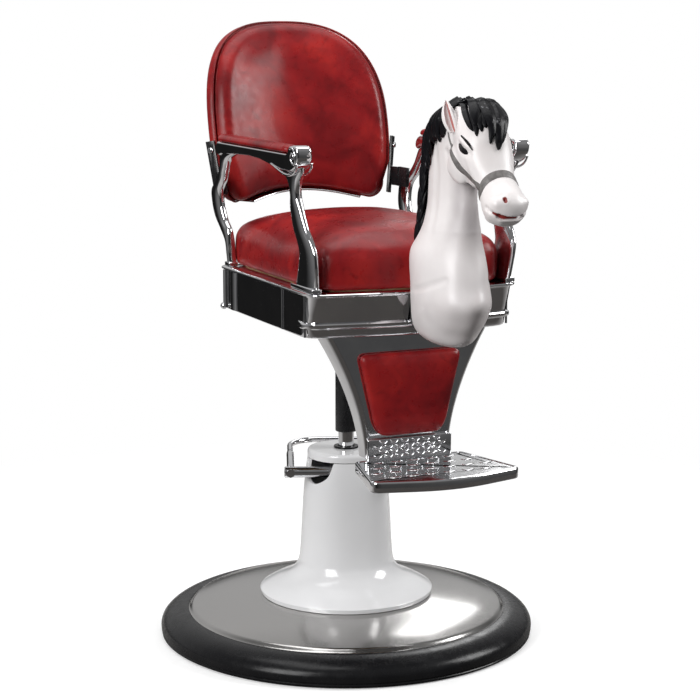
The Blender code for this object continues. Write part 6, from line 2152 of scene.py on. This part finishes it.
    def mouth(self) -> list[Vector]:
        """Give the line of the lips, from corner to corner round the muzzle.

        Returns:
            The line.
        """
        half = [(0.1500, 0.0030, 0.0312), (0.1585, 0.0058, 0.0285), (0.1650, 0.0076, 0.0241),
                (0.1694, 0.0082, 0.0181), (0.1733, 0.0088, 0.0117), (0.1747, 0.0090, 0.0040)]
        stops = self.on_head(half, -1.0) + self.on_head(half[::-1])
        return smooth_path(stops, 8)

    def carve_body(self, mesh: Mesh) -> None:
        """Press the mouth, nostrils, eye hollows and muscle grooves into the skin.

        Args:
            mesh: the body's mesh.
        """
        press(mesh, self.mouth(), 0.0046, 0.0046)
        press(mesh, self.mouth()[22:67], 0.0054, 0.0062)
        for spot in self.on_head(self.nostrils()):
            press(mesh, [spot], 0.0100, -0.0012)
            press(mesh, [spot], 0.0052, 0.0042)
        eye = [(0.036, -0.003, 0.038), (0.050, 0.003, 0.039), (0.062, 0.0105, 0.037)]
        lid = [(0.031, 0.004, 0.037), (0.046, 0.0125, 0.039), (0.060, 0.0185, 0.036)]
        jaw = [(0.012, -0.058, 0.026), (0.038, -0.070, 0.026), (0.066, -0.058, 0.022), (0.092, -0.040, 0.020)]
        bone = [(0.010, -0.046, 0.034), (0.036, -0.058, 0.034), (0.064, -0.047, 0.029),
                (0.092, -0.030, 0.025)]
        ridge = [(0.062, 0.006, 0.034), (0.085, -0.002, 0.032), (0.108, -0.006, 0.029)]
        face = [(eye, 0.0090, 0.0022), (lid, 0.0060, -0.0018), (jaw, 0.0085, 0.0036),
                (bone, 0.0100, -0.0020), (ridge, 0.0080, -0.0016)]
        groove = [(0.0285, -0.392, 0.872), (0.0290, -0.399, 0.840), (0.0290, -0.397, 0.805),
                  (0.0310, -0.398, 0.770), (0.0380, -0.400, 0.735)]
        front = [(0.0180, -0.440, 0.815), (0.0200, -0.442, 0.770), (0.0240, -0.447, 0.720)]
        breast = [(0.0060, -0.4655, 0.6956), (0.0136, -0.4694, 0.6710), (0.0200, -0.4723, 0.6492),
                  (0.0215, -0.4720, 0.6297), (0.0190, -0.4606, 0.6081), (0.0154, -0.4455, 0.5874)]
        trunk = [(groove, 10, 0.0130, 0.0016), (front, 12, 0.0200, 0.0009), (breast, 10, 0.0200, 0.0016)]
        for side in (-1.0, 1.0):
            for stops, width, depth in face:
                press(mesh, smooth_path(self.on_head(stops, side), 8), width, depth)
            for stops, steps, width, depth in trunk:
                press(mesh, smooth_path([(side * x, y, z) for x, y, z in stops], steps), width, depth)

    @staticmethod
    def shoulders(mesh: Mesh) -> None:
        """Press the line of each shoulder into the calmed chest.

        Args:
            mesh: the body's mesh.
        """
        stops = [(0.0545, -0.372, 0.6540), (0.0530, -0.3871, 0.6565), (0.0505, -0.4125, 0.6628),
                 (0.0446, -0.4317, 0.6695), (0.0373, -0.4456, 0.6753)]
        for side in (-1.0, 1.0):
            press(mesh, smooth_path([(side * x, y, z) for x, y, z in stops], 10), 0.0085, 0.0012)

    def redden(self, mesh: Mesh) -> None:
        """Keep on the skin's points where the lips and nostrils are painted red.

        Args:
            mesh: the body's mesh before it is carved.
        """
        lips = [spot for spot in self.mouth() if -0.0275 < spot.x < 0.0095]
        nostrils = self.on_head(self.nostrils())
        rouge = mesh.attributes.new("rouge", "FLOAT", "POINT")
        for spots, near, far in ((lips, 0.0012, 0.0036), (nostrils, 0.0024, 0.0050)):
            red = near_points(spots)
            for index, vertex in enumerate(mesh.vertices):
                tone = 1.0 - smooth_step(red.find(vertex.co)[2], near, far)
                rouge.data[index].value = max(rouge.data[index].value, tone)

    @staticmethod
    def nostrils() -> list[tuple[float, float, float]]:
        """Give the middles of both nostrils; the far one sits further round the muzzle."""
        return [(0.1545, 0.0252, -0.0122), (0.1520, 0.0258, -0.0126), (0.1500, 0.0160, 0.0270)]

    def airbrush(self, mesh: Mesh) -> None:
        """Keep on the skin's points their painted shade: in hollows, underneath, down the throat and low on
        the chest.

        Args:
            mesh: the body's mesh.
        """
        shape = bmesh.new()
        shape.from_mesh(mesh)
        depth = [0.0] * len(shape.verts)
        shape.verts.ensure_lookup_table()
        for vertex in shape.verts:
            ring = [edge.other_vert(vertex).co for edge in vertex.link_edges]
            middle = sum(ring, Vector()) / len(ring)
            depth[vertex.index] = (middle - vertex.co).dot(vertex.normal)
        for _ in range(5):
            fresh = list(depth)
            for vertex in shape.verts:
                ring = [depth[edge.other_vert(vertex).index] for edge in vertex.link_edges]
                fresh[vertex.index] = (depth[vertex.index] + sum(ring)) / (1 + len(ring))
            depth = fresh
        under = [max(-vertex.normal.z, 0.0) for vertex in shape.verts]
        places = [vertex.co.copy() for vertex in shape.verts]
        shape.free()
        painted_shade = mesh.attributes.new("painted_shade", "FLOAT", "POINT")
        for index, place in enumerate(places):
            # painted shade where shade falls: hollows, faces that point down, the throat and the lower chest
            tone = smooth_step(depth[index], 0.00002, 0.00012) * 0.45 + under[index] * 0.12
            throat_shade = 1.0 - smooth_step(abs(place.y + 0.452), 0.004, 0.026)
            throat_shade *= smooth_step(place.z, 0.700, 0.770)
            tone += 0.85 * throat_shade * (1.0 - smooth_step(place.z, 0.825, 0.850))
            tone += 0.42 * (1.0 - smooth_step(place.z, 0.600, 0.790))
            painted_shade.data[index].value = min(tone * (0.8 + 0.4 * noise.noise(place * 40.0)), 1.0)

    def ear(self, side: Side) -> None:
        """Build one ear with its red lining.

        Args:
            side: which ear.
        """
        base = Vector((side.value * 0.0335, -0.4640, 0.8990))
        tip = Vector((side.value * 0.0385, -0.4465, 0.9440))
        along = (tip - base).normalized()
        opening = Vector((side.value * 0.80, -0.58, 0.16))
        opening = (opening - along * opening.dot(along)).normalized()
        across = along.cross(opening)
        front = -side.value
        shells = ((1.0, 0.56, (-118.0, 118.0), Look.GELCOAT, "horse_ear"),
                  (0.60, 0.50, (-20.0, 45.0), Look.ROUGE, "ear_lining"))
        for outer, inner, limits, look, title in shells:
            rings = []
            for step in range(17):
                share = step / 16
                size = 0.0128 * max(math.sin(math.pi * lerp(0.20, 1.0, share)), 0.02) ** 0.75
                centre = base.lerp(tip, share) + opening * 0.003 * math.sin(math.pi * share)
                turns = [math.radians(lerp(*limits, number / 14)) * front for number in range(15)]
                arc = [(across * math.sin(turn) * 0.86 - opening * math.cos(turn)) * size for turn in turns]
                ring = [centre + spoke * outer for spoke in arc]
                ring += [centre + spoke * inner + opening * size * 0.10 for spoke in reversed(arc)]
                rings.append(ring)
            self.shop.add(f"{title}_{side.label}", lofted(rings), look, Body.CHAIR, (), 60.0)

    def eyes(self, skin: BVHTree) -> None:
        """Build the black almond eyes and the brow strokes over them.

        Args:
            skin: the body's surface.
        """
        shape = bmesh.new()
        eye = [(0.0335, -0.0050, 0.0368), (0.0480, 0.0016, 0.0380), (0.0612, 0.0092, 0.0364)]
        brow = [(0.0282, 0.0080, 0.0367), (0.0433, 0.0155, 0.0362), (0.0551, 0.0184, 0.0344),
                (0.0613, 0.0183, 0.0327)]
        for side in Side:
            path = [self.on_skin(skin, point, 0.0004) for point in self.on_head(eye, side.value)]
            swept(shape, smooth_path(path, 10), self.almond, 14, Vector((side.value, -0.2, 0.1)))
            path = [self.on_skin(skin, point, 0.0003) for point in self.on_head(brow, side.value)]
            swept(shape, smooth_path(path, 8), self.stroke, 8, Vector((side.value, -0.2, 0.3)))
        self.shop.add("horse_eyes", settle(shape), Look.EYE, Body.CHAIR, (), 60.0)

    @staticmethod
    def almond(share: float) -> tuple[float, float]:
        """Give the half width and half height of an eye at a share of its length."""
        swell = math.sin(math.pi * share)
        return 0.0047 * swell ** 0.6 + 0.0002, 0.0022 * swell + 0.0002

    @staticmethod
    def stroke(share: float) -> tuple[float, float]:
        """Give the half width and half height of a brow stroke at a share of its length."""
        return 0.0023 * math.sin(math.pi * lerp(0.15, 0.95, share)), 0.0009

    @staticmethod
    def on_skin(skin: BVHTree, point: Vector, lift: float) -> Vector:
        """Give the nearest place on the skin, lifted off it.

        Args:
            skin: the body's surface.
            point: a point near it.
            lift: distance off the skin.

        Returns:
            The place.
        """
        place, normal, _, _ = skin.find_nearest(point)
        return place + normal * lift

    def on_top(self, skin: BVHTree, along: float, across: float, lift: float) -> Vector:
        """Give the place on top of the head at a distance along and across it, lifted off the skin.

        Args:
            skin: the body's surface.
            along: distance along the head.
            across: distance across.
            lift: distance off the skin.

        Returns:
            The place.
        """
        start = self.head(along, 0.150, across)
        place, normal, _, _ = skin.ray_cast(start, self.head(along, 0.0, across) - start)
        return place + normal * lift if place else self.head(along, lift, across)

    def strap(self, shape: Shape, skin: BVHTree, path: Points, width: Callable[[float], float]) -> None:
        """Lay a flat strap on the skin.

        Args:
            shape: shape that takes it.
            skin: the body's surface.
            path: points near the skin.
            width: half width at a share of the way.
        """
        rings = []
        laid = [self.on_skin(skin, point, 0.0) for point in path]
        for index, point in enumerate(laid):
            across = heading(laid, index).cross(skin.find_nearest(point)[1]).normalized()
            half = width(index / (len(laid) - 1))
            ring = []
            for shift in (-1.0, -0.6, 0.0, 0.6, 1.0):
                place, up, _, _ = skin.find_nearest(point + across * half * shift)
                ring.append(place + up * (0.0013 if abs(shift) < 0.9 else 0.0006))
            for shift in (1.0, 0.6, 0.0, -0.6, -1.0):
                place, up, _, _ = skin.find_nearest(point + across * half * shift)
                ring.append(place - up * 0.0012)
            rings.append(ring)
        loft(shape, rings)

    def bridle(self, skin: BVHTree) -> None:
        """Build the noseband and the cheek straps.

        Args:
            skin: the body's surface.
        """
        shape = bmesh.new()
        band = []
        for step in range(49):
            turn = 2 * math.pi * step / 48
            up = 0.0235 * math.cos(turn) - 0.002
            along = 0.1190 - 0.0135 * max(math.cos(turn), 0.0)
            band.append(self.head(along, up * (1.0 if up > 0 else 1.35), 0.032 * math.sin(turn)))
        self.strap(shape, skin, band, lambda share: 0.0062)
        stops = [(-0.0161, -0.0261, 0.0292), (-0.0020, -0.0365, 0.0300), (0.0125, -0.0390, 0.0330),
                 (0.0282, -0.0328, 0.0366), (0.0511, -0.0254, 0.0392), (0.0666, -0.0211, 0.0365),
                 (0.0807, -0.0162, 0.0329), (0.0952, -0.0105, 0.0298), (0.1130, -0.0020, 0.0294)]
        for side in Side:
            path = smooth_path(self.on_head(stops, side.value), 6)
            self.strap(shape, skin, path, lambda share: lerp(0.0016, 0.0054, smooth_step(share, 0.15, 0.60)))
        self.shop.add("horse_bridle", settle(shape), Look.STRAP, Body.CHAIR, (), 50.0)

    def crest(self, share: float, out: float, across: float) -> Vector:
        """Place a point along the crest, from the poll down to the withers.

        Args:
            share: share of the way down.
            out: distance out from the neck's rear.
            across: distance across.

        Returns:
            The place.
        """
        top = 0.938
        level = top - (top - self.bottom) * 0.62 * share
        bend = 0.085 * max(1.0 - share / 0.42, 0.0) ** 1.6
        forward = self.neck[0] - self.neck[2] - 0.030 * share * share + bend - out
        return Vector((across, -forward, level))

    @staticmethod
    def lock(shape: Shape, points: Sequence[Vector], wide: float, thick: float, up: Vector) -> None:
        """Add a ridged lock of hair that tapers to its tip.

        Args:
            shape: shape that takes it.
            points: its path from the root.
            wide: half width.
            thick: half thickness.
            up: direction off the skin.
        """
        path = smooth_path(points, 5)
        swept(shape, path, lambda share: (wide * Horse.taper(share), thick * Horse.taper(share)), 16, up,
              0.13)

    @staticmethod
    def taper(share: float) -> float:
        """Give a lock's thickness along it, thin at the root and pointed at the tip."""
        return max(math.sin(math.pi * (0.16 + 0.83 * share ** 1.15)), 0.03) ** 0.7

    def mane(self) -> None:
        """Build the mane from overlapping locks on both sides of the crest."""
        shape = bmesh.new()
        ridge = [self.crest(share, 0.001, 0.0) for share in (0.0, 0.15, 0.3, 0.45, 0.6, 0.75, 0.9, 1.0)]
        swell = self.taper
        swept(shape, smooth_path(ridge, 6),
              lambda share: (0.0085 * swell(0.1 + 0.8 * share), 0.0105 * swell(0.1 + 0.8 * share)), 16,
              Vector((0.0, 1.0, 0.4)), 0.12)
        for index in range(19):
            start = 0.005 + 0.0525 * index
            for side in (-1.0, 1.0):
                wave = math.sin(index * 2.4 + side)
                sway = 0.0070 + 0.0035 * wave
                fall = lerp(0.235, 0.17, start) + 0.022 * math.sin(index * 1.7 + 2.0 * side)
                top = self.crest(start, 0.001, side * 0.004)
                middle = self.crest(start + fall * 0.45, sway * 0.5 - 0.003, side * (0.0120 + sway * 0.25))
                lower = self.crest(start + fall * 0.8, sway * 0.8 - 0.007, side * (0.0145 + sway * 0.3))
                tip = self.crest(min(start + fall * 1.1, 1.07), sway - 0.0080, side * (0.0155 + sway * 0.3))
                wide = 0.0072 + 0.0012 * wave
                self.lock(shape, [top, middle, lower, tip], wide, 0.0046, Vector((side, 0.12, 0.2)))
        crown = [
            [(0.008, 0.438, 0.945), (0.030, 0.436, 0.927), (0.0335, 0.428, 0.905), (0.0310, 0.4225, 0.887)],
            [(0.008, 0.428, 0.946), (0.031, 0.422, 0.926), (0.0355, 0.414, 0.902), (0.0310, 0.4135, 0.880)],
            [(0.007, 0.416, 0.943), (0.031, 0.410, 0.921), (0.0345, 0.402, 0.898), (0.0300, 0.4000, 0.881)],
            [(0.007, 0.405, 0.938), (0.032, 0.398, 0.916), (0.0345, 0.390, 0.894), (0.0285, 0.3900, 0.876)],
            [(0.006, 0.393, 0.929), (0.030, 0.385, 0.907), (0.0330, 0.377, 0.884), (0.0280, 0.3800, 0.858)],
            [(0.006, 0.382, 0.919), (0.029, 0.373, 0.896), (0.0315, 0.367, 0.872), (0.0270, 0.3735, 0.8425)],
            [(0.005, 0.371, 0.907), (0.026, 0.363, 0.884), (0.0295, 0.360, 0.858), (0.0260, 0.3660, 0.836)],
        ]
        for side in (-1.0, 1.0):
            for stops in crown:
                path = [Vector((side * x, -forward, level)) for x, forward, level in stops]
                self.lock(shape, path, 0.0088, 0.0052, Vector((side, 0.12, 0.2)))
        self.shop.add("horse_mane_locks", settle(shape), Look.HAIR, Body.CHAIR, ["horse_mane"], 60.0)

    def forelock(self, skin: BVHTree) -> None:
        """Build the forelock that falls between the ears over the forehead.

        Args:
            skin: the body's surface.
        """
        shape = bmesh.new()
        under = [
            [(-0.040, -0.010), (-0.015, -0.020), (0.005, -0.0250), (0.025, -0.0275), (0.036, -0.0265)],
            [(-0.040, -0.008), (-0.010, -0.014), (0.010, -0.0185), (0.030, -0.0225), (0.0445, -0.0250)],
            [(-0.042, -0.004), (-0.010, -0.008), (0.010, -0.012), (0.028, -0.0165), (0.0405, -0.0180)],
            [(-0.042, -0.001), (-0.012, -0.002), (0.010, -0.006), (0.026, -0.010), (0.0365, -0.0120)],
            [(-0.042, 0.002), (-0.010, 0.003), (0.015, 0.001), (0.040, -0.004), (0.0600, -0.0095)],
            [(-0.042, 0.005), (-0.010, 0.009), (0.015, 0.008), (0.045, 0.003), (0.0700, 0.0010)],
            [(-0.042, 0.008), (-0.010, 0.015), (0.015, 0.016), (0.045, 0.010), (0.0690, 0.0030)],
            [(-0.040, 0.011), (-0.012, 0.021), (0.012, 0.0225), (0.040, 0.016), (0.0600, 0.0090)],
            [(-0.038, 0.013), (-0.014, 0.0245), (0.008, 0.0260), (0.030, 0.0210), (0.0480, 0.0150)],
        ]
        over = [
            [(-0.042, -0.006), (-0.015, -0.010), (0.004, -0.013), (0.018, -0.018), (0.030, -0.0225)],
            [(-0.044, 0.000), (-0.015, 0.000), (0.010, -0.001), (0.030, -0.003), (0.050, -0.004)],
            [(-0.044, 0.006), (-0.015, 0.011), (0.010, 0.012), (0.035, 0.007), (0.060, 0.004)],
            [(-0.042, 0.010), (-0.015, 0.019), (0.008, 0.0205), (0.030, 0.0150), (0.052, 0.010)],
        ]
        up = self.head(0.0, 1.0, 0.0) - self.head(0.0, 0.0, 0.0)
        for locks, lift, wide in ((under, 0.0018, 0.0064), (over, 0.0052, 0.0098)):
            for stops in locks:
                trail = smooth_path([Vector((along, across, 0.0)) for along, across in stops], 3)
                path = [self.on_top(skin, point.x, point.y, lift) for point in trail]
                self.lock(shape, path, wide, 0.0038, up)
        self.shop.add("horse_forelock_locks", settle(shape), Look.HAIR, Body.CHAIR, ["horse_forelock"], 60.0)


@dataclass
class Studio:
    """Camera, soft lights and the pale floor."""

    lens: float = 100.38
    shift: float = 0.00549
    eye: tuple[float, float, float] = (-1.3486, -3.0289, 1.075)
    azimuth: float = math.radians(24.0)
    pitch: float = 0.1726

    def build(self) -> None:
        """Set up the studio."""
        self.camera()
        self.floor()
        self.world()
        self.softbox("key", (3.0, -1.2, 2.3), (0.0, 0.0, 0.6), (1.5, 1.5), 82.0)
        self.softbox("fill", (-3.0, -1.6, 1.9), (0.0, 0.0, 0.6), (1.6, 2.2), 103.0)
        self.softbox("top", (0.0, 0.2, 3.0), (0.0, 0.0, 0.5), (2.4, 2.0), 40.0)
        self.softbox("rim", (1.7, 2.3, 1.8), (0.0, 0.0, 0.6), (0.4, 1.2), 7.0)
        settings = bpy.context.scene.view_settings
        settings.view_transform = "Standard"
        settings.look = "None"

    def camera(self) -> None:
        """Place the camera at the photograph's angle."""
        data = bpy.data.cameras.new("camera")
        data.sensor_width = 36.0
        data.lens = self.lens
        data.shift_x = self.shift
        data.clip_end = 60.0
        camera = bpy.data.objects.new("camera", data)
        camera.location = self.eye
        level = math.cos(self.pitch)
        ahead = Vector((math.sin(self.azimuth) * level, math.cos(self.azimuth) * level,
                        -math.sin(self.pitch)))
        camera.rotation_euler = ahead.to_track_quat("-Z", "Y").to_euler()
        bpy.context.scene.collection.objects.link(camera)
        bpy.context.scene.camera = camera

    @staticmethod
    def floor() -> None:
        """Lay the pale floor, which reflections and bounced light see with painted shade in front and painted
        light behind.
        """
        shape = bmesh.new()
        bmesh.ops.create_circle(shape, cap_ends=True, segments=96, radius=1.7)
        floor = place_mesh("floor", shape)
        recipe = Recipe("pale_floor")
        far = recipe.span(recipe.radius(), 0.0, 1.0, 0.45, 1.5)
        recipe.feed(recipe.span(far, 0.30, 1.0, 0.0, 1.0), "Emission Strength")
        recipe.feed(recipe.ramp(far, [(0.0, (0.80, 0.80, 0.80)), (1.0, (0.0, 0.0, 0.0))]), "Base Color")
        recipe.constant(roughness=0.8, emission_color=(1.0, 1.0, 1.0), specular_ior_level=0.0)
        # painted shade and painted light: the floor that the metal mirrors is dark in front and light behind
        depth = recipe.node("SeparateXYZ", "Y", {"Vector": recipe.place()})
        painted_light_behind = recipe.span(depth, 0.0, 1.0, -0.55, 0.45)
        grey = recipe.ramp(painted_light_behind, [(0.0, (0.060, 0.056, 0.053)), (1.0, (0.50, 0.49, 0.48))])
        mirrored = recipe.node("BsdfDiffuse", "BSDF", {"Color": grey})
        show_camera(recipe.tree, mirrored, recipe.shader.outputs["BSDF"],
                    recipe.tree.nodes["Material Output"])
        floor.data.materials.append(recipe.look)

    @staticmethod
    def softbox(title: str, place: Colour, target: Colour, size: tuple[float, float], power: float) -> None:
        """Hang a soft rectangular light.

        Args:
            title: name of the light.
            place: where it hangs.
            target: what it points at.
            size: its width and height.
            power: its power in watts.
        """
        data = bpy.data.lights.new(title, "AREA")
        data.shape = "RECTANGLE"
        data.size, data.size_y = size
        data.energy = power
        light = bpy.data.objects.new(title, data)
        light.location = place
        light.rotation_euler = (Vector(target) - Vector(place)).to_track_quat("-Z", "Y").to_euler()
        bpy.context.scene.collection.objects.link(light)

    @staticmethod
    def glow(tree: Tree, axis: Colour, limits: tuple[float, float, float, float]) -> Socket:
        """Brighten the room towards a direction.

        Args:
            tree: the world's nodes.
            axis: the direction.
            limits: range of the direction's share, and the strengths at its ends.

        Returns:
            The strength.
        """
        coords = add_node(tree, "TexCoord", "Generated", {})
        share = add_node(tree, "VectorMath", "Value", {0: coords, 1: axis}, operation="DOT_PRODUCT")
        ends = dict(zip(("From Min", "From Max", "To Min", "To Max"), limits))
        return add_node(tree, "MapRange", "Result", {"Value": share, **ends})

    @staticmethod
    def world() -> None:
        """Make a white backdrop, with a darker room for the metal to mirror."""
        world = bpy.data.worlds.new("studio")
        bpy.context.scene.world = world
        world.use_nodes = True
        tree = world.node_tree
        room = tree.nodes["Background"]
        room.inputs["Color"].default_value = (1.0, 1.0, 1.0, 1.0)
        rear = Studio.glow(tree, (0.0, 1.0, 0.0), (0.35, 0.80, 0.0, 0.48))
        above = Studio.glow(tree, (0.0, 0.0, 1.0), (0.03, 0.16, 0.0, 1.0))
        light = add_node(tree, "Math", "Value", {0: rear, 1: above}, operation="MULTIPLY")
        glows = [((0.15, -0.10, 0.98), (0.0, 0.75, 0.012, 0.22)),
                 ((-0.96, 0.29, 0.0), (0.65, 0.95, 0.0, 0.16)), ((0.55, -0.83, 0.0), (0.2, 1.0, 0.0, 0.06))]
        for axis, limits in glows:
            light = add_node(tree, "Math", "Value", {0: light, 1: Studio.glow(tree, axis, limits)},
                             operation="ADD")
        tree.links.new(light, room.inputs["Strength"])
        backdrop = add_node(tree, "Background", "Background", {"Color": (1.0, 1.0, 1.0, 1.0)})
        show_camera(tree, room.outputs["Background"], backdrop, tree.nodes["World Output"])


def main() -> None:
    """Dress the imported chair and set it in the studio."""
    logging.basicConfig(level=logging.INFO, format="%(name)s %(message)s")
    for leftover in list(bpy.data.objects):
        bpy.data.objects.remove(leftover)
    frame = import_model()
    shop = Workshop(frame["nodes"], finishes())
    for part in (FloorBase, PedalGear, LiftColumn, SeatFrame, SeatCushion, Arms, BackRest, LegRest, Horse):
        LOG.info("building %s", part.__name__)
        part(shop).build()
    Studio().build()
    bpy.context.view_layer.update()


if __name__ == "__main__":
    main()
